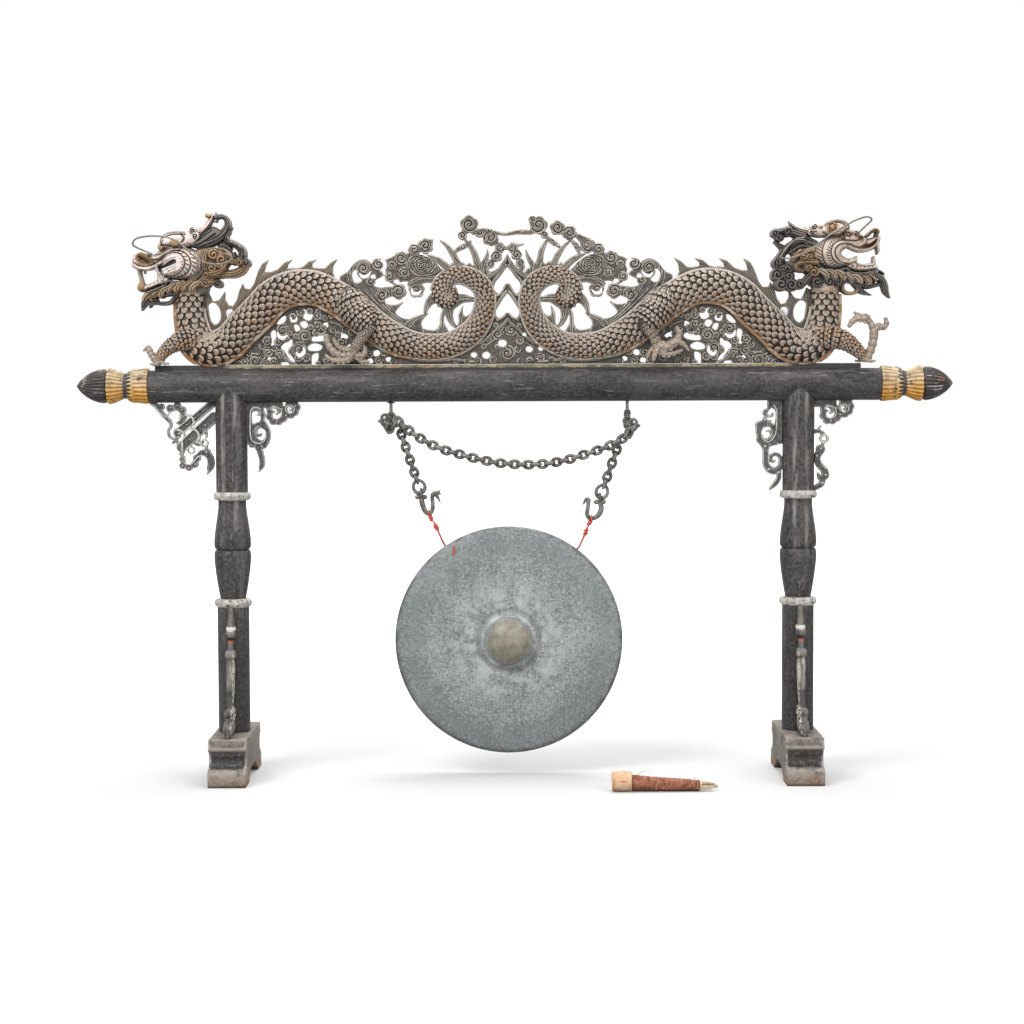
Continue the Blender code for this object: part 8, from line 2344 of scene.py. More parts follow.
def talon(pile, side, points, start, end, knobs):
    """A curved, knuckled claw through (out, up, forward) places."""
    rows = evenly(flowing(points, 6), 14 * max(knobs, 2))
    world = np.array([crest(side, *row) for row in rows])
    share = np.linspace(0, 1, len(world))
    half = lerp(start, end, share) * (1 + 0.10 * np.sin(share * knobs * 2 * math.pi)) * SQUARE
    pile.sweep(world, half, sides=14, wear_and_shade=-0.1)
    for k in range(knobs * 3):
        at = min(int((k / 3 + 0.30) / knobs * len(world)), len(world) - 2)
        turn = math.radians((-70, 0, 70)[k % 3])
        size = half[at] * 0.44
        rise = half[at] * 0.78
        spot = world[at] + np.array([0, -rise * math.cos(turn), rise * math.sin(turn)])
        knob = [spot + (world[at + 1] - world[at]) * t for t in (-0.8, 0, 0.8)]
        pile.sweep(np.array(knob), size, sides=8, wear_and_shade=0.55, tint=0.1)


def edge_cord(pile, world, out, half, reach, offset, wide, deep, first, last, wear_and_shade, tint):
    """A cord in front and one behind along the body's back or belly. reach is in half widths, offset forward of the plane."""
    pick = np.arange(int(len(world) * first), int(len(world) * last), 4)
    for sign in (-1, 1):
        away = np.minimum(half[pick] * 0.30, offset)
        route = world[pick] + out[pick] * (half[pick] * reach)[:, None]
        route[:, 1] += sign * away
        pile.sweep(route, wide, deep, sides=12, wear_and_shade=wear_and_shade, tint=tint)


def make_dragon_body(side, suffix, seed):
    rows, tangent, back = body_route(side)
    flat_tangent = np.stack([side * tangent[:, 0], np.zeros(len(rows)), tangent[:, 1]], axis=1)
    flat_back = np.stack([side * back[:, 0], np.zeros(len(rows)), back[:, 1]], axis=1)
    world = to_world(side, rows[:, :2], 0.0)
    half = rows[:, 2] * SQUARE
    core = Pile()
    pick = np.arange(0, len(rows), 6)
    # painted shade: the core under the scales and the legs is marked dark, so the gaps between scales read as shade
    core.sweep(world[pick], half[pick] * 0.90, half[pick] * 0.90 * FLATNESS, sides=36, wear_and_shade=-0.8)
    for stations in LIMBS[side].values():
        route, radius = limb_route(side, stations)
        core.sweep(route, radius * 0.88, sides=22, wear_and_shade=-0.6)
    body = above_beam(core.made("dragon_core_" + suffix, SCALE_WOOD, 60))
    dress(body, STAND, "taupe_scale_wood", "dragon_body_" + suffix)

    places, axes, sizes, tints = scaled_skin(
        world, flat_tangent, flat_back, half * 0.93, half * 0.93 * FLATNESS,
        lambda wide, at: (0.0042 + wide * 0.335) * (1.18 if at < 0.075 else 1.0), seed, strip_clear, 0.95, 0.77, 0.05, 0.04 if side < 0 else -0.04,
    )
    obj = laid("dragon_scales_" + suffix, scale_piece(), places, axes, sizes, SCALE_WOOD, 0.05, seed, 50, tints)
    dress(obj, STAND, "taupe_scale_wood")

    places, axes, sizes, tints = [], [], [], []
    for name, stations in LIMBS[side].items():
        route, radius = limb_route(side, stations)
        along = np.gradient(route, axis=0)
        along /= np.linalg.norm(along, axis=1)[:, None]
        out = np.array([unit(np.cross([0, 1, 0], t)) for t in along])
        grade = {"arm": 0.0122, "thigh": 0.0138, "shin": 0.0086}[name]
        more = scaled_skin(route, along, out, radius * 0.93, radius * 0.93, lambda wide, at: max(0.0072, grade * min(1.0, 0.35 + wide * 26)),
                           seed + 7, strip_clear, 1.1, 0.74, 0.16, 0.22 if name == "arm" else -0.16)
        for total, extra in zip((places, axes, sizes, tints), more):
            total += extra
    obj = laid("leg_scales_" + suffix, scale_piece(tip=0.56), places, axes, sizes, SCALE_WOOD, 0.12, seed + 9, 50, tints)
    dress(obj, STAND, "taupe_scale_wood")

    lines = Pile()
    edge_cord(lines, world, flat_back, half, 0.965, 0.0118, 0.0046, 0.0027, 0.045, 0.90, 0.6, 0.0)
    edge_cord(lines, world, -flat_back, half, 0.975, 0.0130, 0.0062, 0.0030, 0.02, 0.62, 0.3, 1.0)
    edge_cord(lines, world, -flat_back, half, 0.975, 0.0118, 0.0040, 0.0026, 0.60, 0.93, 0.6, 0.0)
    # painted shade: dark bands along the back and the belly, tucked under the cords
    pick = np.arange(int(len(rows) * 0.02), int(len(rows) * 0.93), 4)
    lines.sweep(world[pick] + flat_back[pick] * (half[pick] * 0.93)[:, None], 0.0040, half[pick] * 0.26, sides=14, wear_and_shade=-0.2)
    lines.sweep(world[pick] - flat_back[pick] * (half[pick] * 0.93)[:, None], 0.0040, half[pick] * 0.26, sides=14, wear_and_shade=-0.2)
    edge = above_beam(lines.made("dragon_edge_lines_" + suffix, LINE_WOOD, 60))
    dress(edge, STAND, "taupe_scale_wood")

    claws = Pile()
    for points, start, end, knobs in TALONS[side]:
        talon(claws, side, points, start, end, knobs)
    dress(above_beam(claws.made("dragon_claws_" + suffix, SCALE_WOOD, 60)), STAND, "taupe_scale_wood")


# Flames round the tail's curl, as outlines on the picture's left half
TAIL_FLAMES = [
    [(436, 291), (431, 294), (426.4, 300), (424, 308), (424.6, 318), (428.4, 311), (433, 305), (440, 302)],
    [(444, 306), (450, 300), (457, 295.4), (464, 294.6), (473, 297.6), (483, 299.6), (473, 302.6), (464, 303.6), (457, 308), (450, 312)],
    [(440, 305), (447, 305), (456, 305), (454, 311), (453.6, 318), (456, 324.6), (460.4, 329.6), (452.6, 327), (447.6, 321), (444.6, 314)],
    [(404, 326), (409, 320), (415, 316.4), (422, 314.4), (429, 313.4), (424.4, 318.4), (421.6, 324), (424.6, 334), (412, 331)],
    [(437, 334), (439.6, 326), (440.2, 318), (441.8, 312), (446, 308), (444.8, 315), (444.6, 323), (449, 334)],
    [(455, 331), (458.6, 323), (459, 314), (463.6, 306), (463, 313), (466, 316.4), (471, 314), (474, 318), (472, 324), (464, 331)],
    [(428, 300), (422, 306), (416, 314), (412, 322), (408, 325), (411, 316), (417, 306), (424, 298)],
]


def make_tail_flames(side, suffix):
    """Combed flames that lick out of the tail's curl and the hollow of the back."""
    r = Relief((20, 28), (108, 80), 0.45)
    for outline in TAIL_FLAMES[:6]:
        r.join(r.patch(trail(*outline)), 0.30, 0.42, 3.0, 0.3)
    for line in (
        ((438, 296), (431, 300), (427, 307), (425.4, 315)), ((450, 306), (458, 299.6), (467, 298.6), (479, 299.8)), ((449, 309), (450, 317), (454, 324), (458.6, 328.6)),
        ((410, 326), (415, 320), (421, 317), (426, 315)), ((442.6, 332), (442.6, 322), (443.4, 314), (445.2, 310)), ((460, 328), (461.4, 318), (463, 310)),
        ((463, 328), (466, 322), (470.4, 317)),
    ):
        r.groove(trail(*line), 0.55, 0.30)
    clear_of_body(r, 0.86)
    dress(r.crest_board("carved_tail_flames_" + suffix, side, 0.0085, FRET_WOOD, lip=0.30, edge=0.9), STAND, "grey_green_fretwork")


def line_finish():
    """Pale ridge lines; the belly band is dashed in ochre, white and verdigris."""
    paint = Paint("edge_line_wood")
    band, wear_and_shade = paint.mark("tint"), paint.mark("wear_and_shade")
    colour = paint.mixed(paint.span(paint.noise(18, 4), 0.38, 0.62), seen(176, 172, 166), seen(190, 176, 164))
    colour = paint.mixed(paint.maths("MULTIPLY", paint.span(paint.noise(34, 5), 0.56, 0.66), 0.55), colour, seen(150, 124, 102))
    dash = paint.span(paint.noise(44, 3, 0.5), 0.50, 0.58)
    ochre = paint.mixed(dash, seen(150, 118, 88), seen(196, 176, 158))
    ochre = paint.mixed(paint.span(paint.noise(28, 3, 0.5), 0.56, 0.62), ochre, seen(176, 122, 78))
    inward = paint.maths("ABSOLUTE", paint.maths("SUBTRACT", paint.part_of(0), CREST_X))
    green = paint.maths("MULTIPLY", paint.span(inward, 0.37, 0.33), paint.span(paint.noise(40, 2, 0.4), 0.52, 0.56))
    ochre = paint.mixed(green, ochre, seen(142, 150, 138))
    colour = paint.mixed(paint.span(band, 0.1, 0.5), colour, ochre)
    # painted shade: crevices and the marked bands darkened
    dark = paint.maths("MAXIMUM", paint.painted_crevice_shade(0.005), paint.span(wear_and_shade, -0.05, -0.2))
    colour = paint.mixed(paint.maths("MULTIPLY", dark, 0.85), colour, seen(58, 50, 44))
    paint.bump(paint.noise(110, 4), 0.3, 0.0005)
    return paint.done(colour, 0.6)


LINE_WOOD = line_finish()
for flank, word, seed in ((-1, "left", 21), (1, "right", 35)):
    make_dragon_body(flank, word, seed)
    make_tail_flames(flank, word)


# Dragons' heads: thick carved forms, domed alike on both faces


def painted_finish(name, pale, pale_other):
    """Carving painted pale, ochre and slate by its tint, with scuffed pale ridges and painted shade in its hollows."""
    paint = Paint(name)
    wear_and_shade, tint = paint.mark("wear_and_shade"), paint.mark("tint")
    broad = paint.span(paint.noise(26, 5), 0.38, 0.62)
    light = paint.mixed(broad, pale, pale_other)
    ochre = paint.mixed(paint.span(paint.noise(34, 4), 0.38, 0.62), seen(186, 152, 108), seen(156, 126, 94))
    slate = paint.mixed(paint.span(paint.noise(30, 4), 0.38, 0.62), seen(78, 80, 82), seen(104, 98, 92))
    colour = paint.mixed(paint.span(tint, 0.2, 0.42), light, ochre)
    colour = paint.mixed(paint.span(tint, 0.62, 0.85), colour, slate)
    fleck = paint.span(paint.noise(85, 5, 0.65), 0.54, 0.66)
    colour = paint.mixed(paint.maths("MULTIPLY", fleck, 0.6), colour, seen(150, 112, 86))
    ridge = paint.mixed(paint.span(tint, 0.2, 0.42), seen(228, 219, 212), seen(188, 164, 132))
    ridge = paint.mixed(paint.span(tint, 0.62, 0.85), ridge, seen(140, 135, 129))
    rubbed = paint.maths("MULTIPLY", paint.span(wear_and_shade, 0.12, 0.8), paint.span(paint.noise(60, 4), 0.25, 0.6, 0.35, 1.0))
    colour = paint.mixed(rubbed, colour, ridge)
    # painted shade: hollows and crevices darkened, softly on pale and ochre paint, strongly on slate
    dark = paint.maths("MAXIMUM", paint.painted_crevice_shade(0.012, 0.3, 0.8), paint.span(wear_and_shade, -0.10, -0.55))
    soft = paint.mixed(paint.span(tint, 0.62, 0.85), seen(128, 108, 95), seen(50, 47, 45))
    strength = paint.span(tint, 0.2, 0.8, 0.58, 0.88)
    colour = paint.mixed(paint.maths("MULTIPLY", dark, strength), colour, soft)
    # painted shade again, wider and deeper, where the carving is most shut in
    deepest = paint.painted_crevice_shade(0.020, 0.66, 1.0)
    colour = paint.mixed(paint.maths("MULTIPLY", deepest, 0.6), colour, seen(60, 52, 46))
    paint.bump(paint.noise(120, 5, 0.6), 0.3, 0.0005)
    return paint.done(colour, paint.span(paint.noise(30, 3), 0.3, 0.7, 0.42, 0.66))


PALE_HEAD = painted_finish("pale_lacquered_wood", seen(238, 228, 221), seen(216, 196, 184))
TAN_HEAD = painted_finish("pale_lacquered_wood_tan", seen(220, 206, 194), seen(196, 172, 152))
MANE_PAINT = painted_finish("ochre_mane_wood", seen(184, 170, 148), seen(160, 144, 120))


RIGHT_TOP_ROW = TOP_ROW - 2.8


class HeadDrawing:
    """Draws a thick relief in the picture's own columns and rows."""

    def __init__(self, side, low, high):
        self.side = side
        corners = [self.at(*low), self.at(*high)]
        us, ws = [c[0] for c in corners], [c[1] for c in corners]
        self.relief = Relief((min(us), min(ws)), (max(us), max(ws)), 0.5)

    def at(self, column, row):
        if self.side < 0:
            return AXIS_COLUMN - 0.4 - column, TOP_ROW - row
        return column + 1.3 - AXIS_COLUMN, RIGHT_TOP_ROW - row

    def line(self, points):
        return [self.at(*p) for p in points]

    def form(self, points, level, crown, rounding, tint=0.0):
        self.relief.join(self.relief.patch(self.line(points)), level, crown, rounding, tint)

    def lock(self, points, widths, level, crown, tint=0.0, grooves=0, rounding=None):
        """A strand of hair or a jaw's bar, combed with grooves."""
        widths = np.broadcast_to(np.array(widths, float), (len(points),))
        self.relief.join(self.relief.stroke(self.line(points), widths), level, crown, rounding or max(widths) * 0.45, tint)
        if grooves:
            flat = np.array(self.line(points))
            along = np.gradient(flat, axis=0)
            along /= np.linalg.norm(along, axis=1)[:, None]
            across = np.stack([-along[:, 1], along[:, 0]], axis=1)
            for k in range(grooves):
                share = (k + 1) / (grooves + 1) - 0.5
                self.relief.groove(flat + across * (widths * share)[:, None], 0.42, 0.10 * (1 if crown > 0.3 else 0.7))

    def ball(self, column, row, radius, level, crown, tint=0.0, tall=1.0):
        u, w = self.at(column, row)
        self.relief.join(self.relief.disc(u, w, radius, 0, 0, 0, tall), level, crown, radius, tint)

    def curl(self, column, row, radius, level, crown, tint=0.0, start=0.0, hand=1, lobes=0):
        u, w = self.at(column, row)
        self.relief.join(self.relief.disc(u, w, radius, lobes, 0.14), level, crown, radius * 0.6, tint)
        self.relief.spiral(u, w, radius * 0.70, 1.1, start, hand * -self.side, max(0.45, radius * 0.11), 0.16)

    def sunk(self, points, depth, rounding, tint=None):
        field = self.relief.patch(self.line(points))
        inside = field > 0
        self.relief.rise = np.where(inside, self.relief.rise - depth * np.clip(field / rounding, 0, 1), self.relief.rise)
        if tint is not None:
            self.relief.tint = np.where(inside, tint, self.relief.tint)

    def cut(self, points, depth=0.10, width=0.5):
        self.relief.groove(self.line(points), width, depth)

    def ridge(self, points, height=0.08, width=0.8, tint=None):
        self.relief.groove(self.line(points), width, -height)
        if tint is not None:
            near = self.relief.stroke(self.line(points), width * 1.6) > 0
            self.relief.tint = np.where(near, tint, self.relief.tint)

    def hole(self, points):
        self.relief.pierce(self.relief.patch(self.line(points)))

    def arc(self, centre, radius, first, last, count=14, tall=1.0):
        """Columns and rows round a centre, from one clock angle in degrees to another, nought to the picture's right."""
        turns = np.radians(np.linspace(first, last, count))
        return [(centre[0] + radius * math.cos(a), centre[1] + radius * tall * math.sin(a)) for a in turns]

    def dashes(self, centre, low, high, first, last, count, depth=0.10, tall=1.0):
        for degrees in np.linspace(first, last, count):
            a = math.radians(degrees)
            ends = [(centre[0] + r * math.cos(a + 0.10 * (r > low)), centre[1] + r * tall * math.sin(a + 0.10 * (r > low))) for r in (low, high)]
            self.cut([ends[0], ((ends[0][0] + ends[1][0]) / 2, (ends[0][1] + ends[1][1]) / 2), ends[1]], depth, 0.34)

    def pits(self, places, radius=0.55, depth=0.14):
        for place in places:
            u, w = self.at(*place)
            self.relief.rise -= depth * np.exp(-(((self.relief.u - u) ** 2 + (self.relief.w - w) ** 2) / radius**2))

    def board(self, name, half, paint, node=None, slot="pale_lacquered_wood", lip=0.06, rubbed=2.2, rim=0.30):
        r = self.relief
        obj = r.crest_board(name, self.side, half, paint, lip=lip, edge=0.6, crease=60, rubbed=rubbed, rim=rim)
        for corner in obj.data.vertices:
            x, y, z = corner.co
            share = 1 - abs(y - PLANE) / 5.8
            corner.co.x = CREST_X + (x - CREST_X) * share
            eye = BEAM_TOP + CREST_LIFT - 23 * RISE
            corner.co.z = eye + (z - eye) * share
        return dress(obj, STAND, slot, *([node] if node else []))


def make_left_head():
    d = HeadDrawing(-1, (129, 211), (219, 295))
    c = (173.5, 264.0)
    d.form([(171, 246.5), (180, 245.5), (190, 247.5), (198, 252), (203, 259), (203.6, 266), (200.5, 273), (194, 278), (184, 280), (174, 279.6),
            (165, 278), (160, 275), (158.5, 270), (161, 264), (160, 258), (164, 251)], 0.10, 0.88, 17)
    d.form([(131.6, 263), (133, 257), (134.6, 252.6), (140, 250.6), (147, 252), (152, 254.6), (157, 252), (163, 248), (170, 245), (178, 246),
            (176, 255), (172, 260), (166, 263), (160, 266.4), (154, 268.8), (146, 270.6), (138, 269.4), (133.4, 267.4)], 0.14, 0.46, 8)
    d.form([(160, 243.4), (161, 238), (165, 234), (172, 231.5), (180, 231.4), (188, 231.6), (196, 229), (201, 233), (199, 242), (190, 247.4),
            (178, 249), (168, 249), (162, 247.6)], 0.24, 0.46, 8)
    d.lock([(186, 240), (194, 236.6), (202, 231.4), (208, 225.6), (211.6, 220), (213, 216.6)], [10, 9, 7.4, 6, 4.6, 3.8], 0.10, 0.40)
    d.ball(216, 221, 2.2, 0.15, 0.2)
    d.lock([(166, 279.5), (160, 281.6), (153, 284.6), (145, 287.8)], [8.4, 6.4, 5.8, 5.4], 0.16, 0.42)
    d.form([(157.4, 273), (162, 271.4), (167, 273), (168, 282), (163, 285), (157.6, 283)], 0.2, 0.4, 5)
    d.lock([(138.4, 266), (139, 271), (140.4, 277), (141.6, 283)], [4.6, 3.4, 3.2, 4.2], 0.10, 0.34, 0.35)
    d.ball(141.6, 286.6, 4.6, 0.14, 0.42, 0.5, 1.1)
    d.lock([(156, 266), (158, 271), (161.4, 276), (163, 280)], [3.8, 3.6, 3.6, 3.2], 0.34, 0.34, 0.1)
    d.lock([(144, 268.4), (144.6, 273)], [2.2, 1.4], 0.10, 0.2, 0.1)
    d.ball(209.8, 216.2, 4.4, 0.10, 0.34, 0.5, 0.62)
    d.lock([(204.4, 258), (203.8, 266), (200.6, 273.8), (194, 279.6), (184, 282.2), (174, 282), (167.4, 280.6), (165.4, 284.4), (156, 288.6), (147, 291.4)],
           [2.4, 3.2, 3.4, 3.6, 3.6, 3.4, 3.2, 3.2, 3, 2.4], 0.42, 0.20, 1.0, 0, 1.4)
    # mouth, lips and the rings of the cheek
    d.ridge([(132.4, 264.4), (138, 267.8), (146, 268.8), (154, 266.4), (161, 263), (167, 259.4), (172, 256.6), (177, 257), (180.2, 261), (180, 266), (176.6, 270), (170, 272), (164, 273.4)], 0.10, 1.1)
    d.cut([(133.6, 262), (140, 265.6), (148, 266), (156, 262.6), (163, 258.4), (170, 253.8), (178, 253), (183.6, 257.6), (184.8, 264), (182, 270.4), (175, 275), (165, 276.4)], 0.12, 0.55)
    d.ridge([(152, 257.6), (158, 257), (164, 253), (171, 249.4), (179, 249.2)], 0.07, 0.9)
    d.cut([(153, 260), (159, 259.2), (165, 255.4), (172, 251.4), (180, 250.8), (187, 254.6), (190.6, 261), (190, 268), (185.6, 274), (177, 277.2)], 0.13, 0.6)
    d.cut([(154, 255.4), (160, 254), (166, 250.4)], 0.10, 0.5)
    d.cut(d.arc(c, 24.2, -48, 96), 0.07, 0.45)
    d.ridge(d.arc(c, 27.4, -50, 112), 0.05, 0.8)
    d.dashes(c, 12.6, 15.4, -70, 120, 12, 0.10)
    d.dashes(c, 19.4, 22.6, -76, 108, 17, 0.11)
    d.dashes(c, 7.6, 9.6, -60, 140, 11, 0.06)
    d.pits(d.arc(c, 25.6, -40, 100, 18), 0.4, 0.07)
    d.hole([(158.6, 269.8), (162.4, 266.6), (167, 263.4), (171, 260.6), (174.6, 259.6), (176, 262), (174, 264.8), (169, 267), (164.6, 269.2), (161, 271.4)])
    d.sunk([(135.6, 258), (138, 254), (143, 253.2), (149, 256.4), (154, 260.4), (155.6, 263.8), (150, 266), (142, 266.4), (136.6, 262.6)], 0.34, 5, 0.5)
    d.ridge([(134.6, 258), (137, 253), (143, 251.8), (149, 254.8), (154.4, 259)], 0.10, 0.9)
    d.cut([(139, 256), (143, 259), (149, 263)], 0.10, 0.6)
    d.ball(149.6, 254.4, 2.0, 0.5, 0.2, 0.9)
    d.ball(161, 247, 3.2, 0.5, 0.16, 0.5)
    # eye, brow and horn
    d.ball(166.6, 241.4, 5.6, 0.66, 0.16, 0.0, 0.62)
    d.ball(174.8, 243.2, 4.6, 0.72, 0.16, 0.55, 0.82)
    d.ridge([(160.4, 243.6), (164, 246.4), (170, 247.6), (177.4, 248), (181, 245)], 0.07, 0.8)
    d.cut([(161, 245.6), (166, 245.2), (171, 246), (177, 247)], 0.10, 0.5)
    d.ridge([(160.6, 243), (161.6, 238), (166, 234), (175, 232.2), (185, 232.4)], 0.12, 1.0, 0.9)
    d.cut([(163, 241.6), (164, 238.2), (168.4, 236), (177, 234.6), (186, 235)], 0.10, 0.5)
    d.cut([(182, 235), (184.6, 238.4), (182.4, 242)], 0.14, 0.8)
    d.curl(193.4, 230.6, 3.7, 0.58, 0.14, 0.0, 90, -1)
    d.curl(196, 236.4, 3.7, 0.60, 0.14, 0.0, 270, 1)
    d.pits([(200, 233), (188, 243.6), (190.4, 243.8), (150, 284.4), (154, 283), (158, 281.4), (162, 280.6), (148, 287.2), (153, 286), (158, 284.4), (163, 283)], 0.5, 0.16)
    d.cut([(204, 232.4), (209, 227), (212, 221)], 0.08, 0.45)
    d.board("dragon_head_left", 0.0560, PALE_HEAD, "head_left")

    m = HeadDrawing(-1, (138, 210), (252, 312))
    slate, ochre = 1.0, 0.5
    m.form([(188, 246), (196, 238), (205, 232), (213, 227), (219, 229), (225, 234), (223, 241), (214, 246), (203, 249)], 0.36, 0.4, 7, slate)
    for line in (((192, 244), (202, 238), (212, 231)), ((196, 246), (206, 241), (216, 234)), ((202, 247), (212, 243), (221, 237)), ((194, 241), (203, 235), (211, 229))):
        m.cut(line, 0.12, 0.6)
    m.lock([(208, 243), (217, 239), (224, 233.4), (228, 226), (226.6, 219.4), (221.4, 216.8), (216, 217.8)], [9, 10, 9, 6.6, 5.6, 5, 3.4], 0.30, 0.42, slate, 2)
    m.lock([(217.4, 218.6), (216.2, 213.6)], [3.4, 1.2], 0.3, 0.2, slate)
    m.hole([(216, 221), (220, 220), (223.6, 221.6), (223, 224), (218, 224.4)])
    m.lock([(222, 246), (228, 249), (233, 256), (234, 262)], [8, 8, 8, 6], 0.25, 0.35, slate, 1)
    m.lock([(232.6, 227.8), (229, 231.6), (226, 236.6), (228, 241.4), (235, 244.6), (241, 249), (242.6, 254.6), (240, 260), (234, 263)],
           [1.4, 3.8, 5.6, 6.4, 7, 8, 8, 7, 5], 0.24, 0.42, slate, 2)
    m.ridge([(229.6, 232.4), (227.2, 237), (231, 242), (238, 245), (244, 250.4), (245, 256)], 0.12, 0.8)
    m.hole([(231, 249.4), (234, 248.8), (236, 250.4), (234, 252.4), (231.4, 252)])
    m.form([(196, 250), (206, 247), (216, 248), (228, 253), (234, 260), (230, 266), (224, 271), (214, 276), (204, 280), (196, 284), (188, 286), (186, 262)], 0.34, 0.3, 6, 0.6)
    m.lock([(196, 283), (204, 277.6), (213, 275.6), (223, 274), (233, 273.6), (241, 270.4), (246.4, 264)], [8, 8, 8, 8.4, 8.6, 8.4, 6], 0.34, 0.42, ochre, 3)
    m.lock([(226, 259), (233, 262), (240, 261.4)], [6, 6.4, 5], 0.36, 0.4, ochre, 1)
    m.curl(245.6, 262.6, 4.8, 0.44, 0.34, 0.9, 60, 1)
    m.curl(239, 262, 4.2, 0.5, 0.34, ochre, 160, -1)
    for column, row, radius, start, hand in (
        (213.4, 254.6, 6.2, 200, -1), (221.6, 259.6, 6.4, 90, 1), (211.4, 267.6, 6.0, 300, 1),
    ):
        m.curl(column, row, radius, 0.52, 0.42, ochre, start, hand)
    for leaf, widths in (
        ([(203, 252), (205, 257), (203.6, 263), (205, 270)], [3, 6, 6, 3]), ([(217, 266), (222, 267), (226, 263), (231, 262.4)], [4, 6.4, 6.4, 4]),
        ([(226, 254), (230, 257), (233, 262)], [4, 6, 4]), ([(206, 273), (212, 273.6), (219, 271.6), (225, 268.6)], [4, 6.6, 6.4, 3]),
    ):
        m.lock(leaf, widths, 0.50, 0.42, ochre, 1)
    m.hole([(226.4, 266), (229, 263.6), (231.4, 266), (231, 269.6), (226.8, 269.6)])
    m.lock([(184, 286), (194, 283.6), (204, 281.6), (212, 281.6), (217.6, 283.4)], [8, 8.6, 8, 7, 5], 0.4, 0.4, ochre, 2)
    m.curl(217.4, 283.4, 4.4, 0.46, 0.34, 0.9, 200, -1)
    m.curl(205, 283, 4.6, 0.56, 0.3, ochre, 20, 1)
    m.form([(174, 283), (190, 281), (206, 281), (208, 291), (200, 295), (182, 296), (172, 293)], 0.36, 0.2, 4, slate)
    for k, (column, row) in enumerate(((193, 287), (186, 286.4), (178.4, 286.4), (170.6, 288), (162.4, 291.6), (154, 294.4), (146.6, 296.6))):
        m.lock([(column + 5, row - 4.6), (column + 0.6, row - 2), (column - 2.4, row + 2.2), (column - 1.2, row + 4.6)],
               [5.4, 7.2, 6.4 + k % 3, 2.6], 0.58 - 0.03 * k, 0.32, 0.30 + 0.05 * (k % 3), 1 + k % 2)
    m.lock([(152, 294), (146, 299), (143, 304), (141.4, 309.8)], [9, 8, 5, 0.9], 0.30, 0.34, slate, 2)
    m.lock([(148, 300), (150, 304), (149, 307)], [4, 3, 1], 0.24, 0.24, slate)
    m.lock([(147, 303), (155, 302.4), (162, 303), (169, 302), (174, 297.6)], [3.6, 3.8, 4.2, 3.8, 4], 0.30, 0.3, slate, 1)
    m.lock([(150, 297), (157, 296), (164, 295), (172, 293)], [3.6, 3.2, 3.2, 5], 0.3, 0.3, slate)
    m.curl(153.6, 300, 3.4, 0.4, 0.3, slate, 40, 1)
    m.curl(176, 295.4, 3.6, 0.4, 0.3, slate, 140, 1)
    m.board("dragon_mane_left", 0.0470, MANE_PAINT, "mane_left", "ochre_mane_wood", rubbed=1.9, rim=0.10)


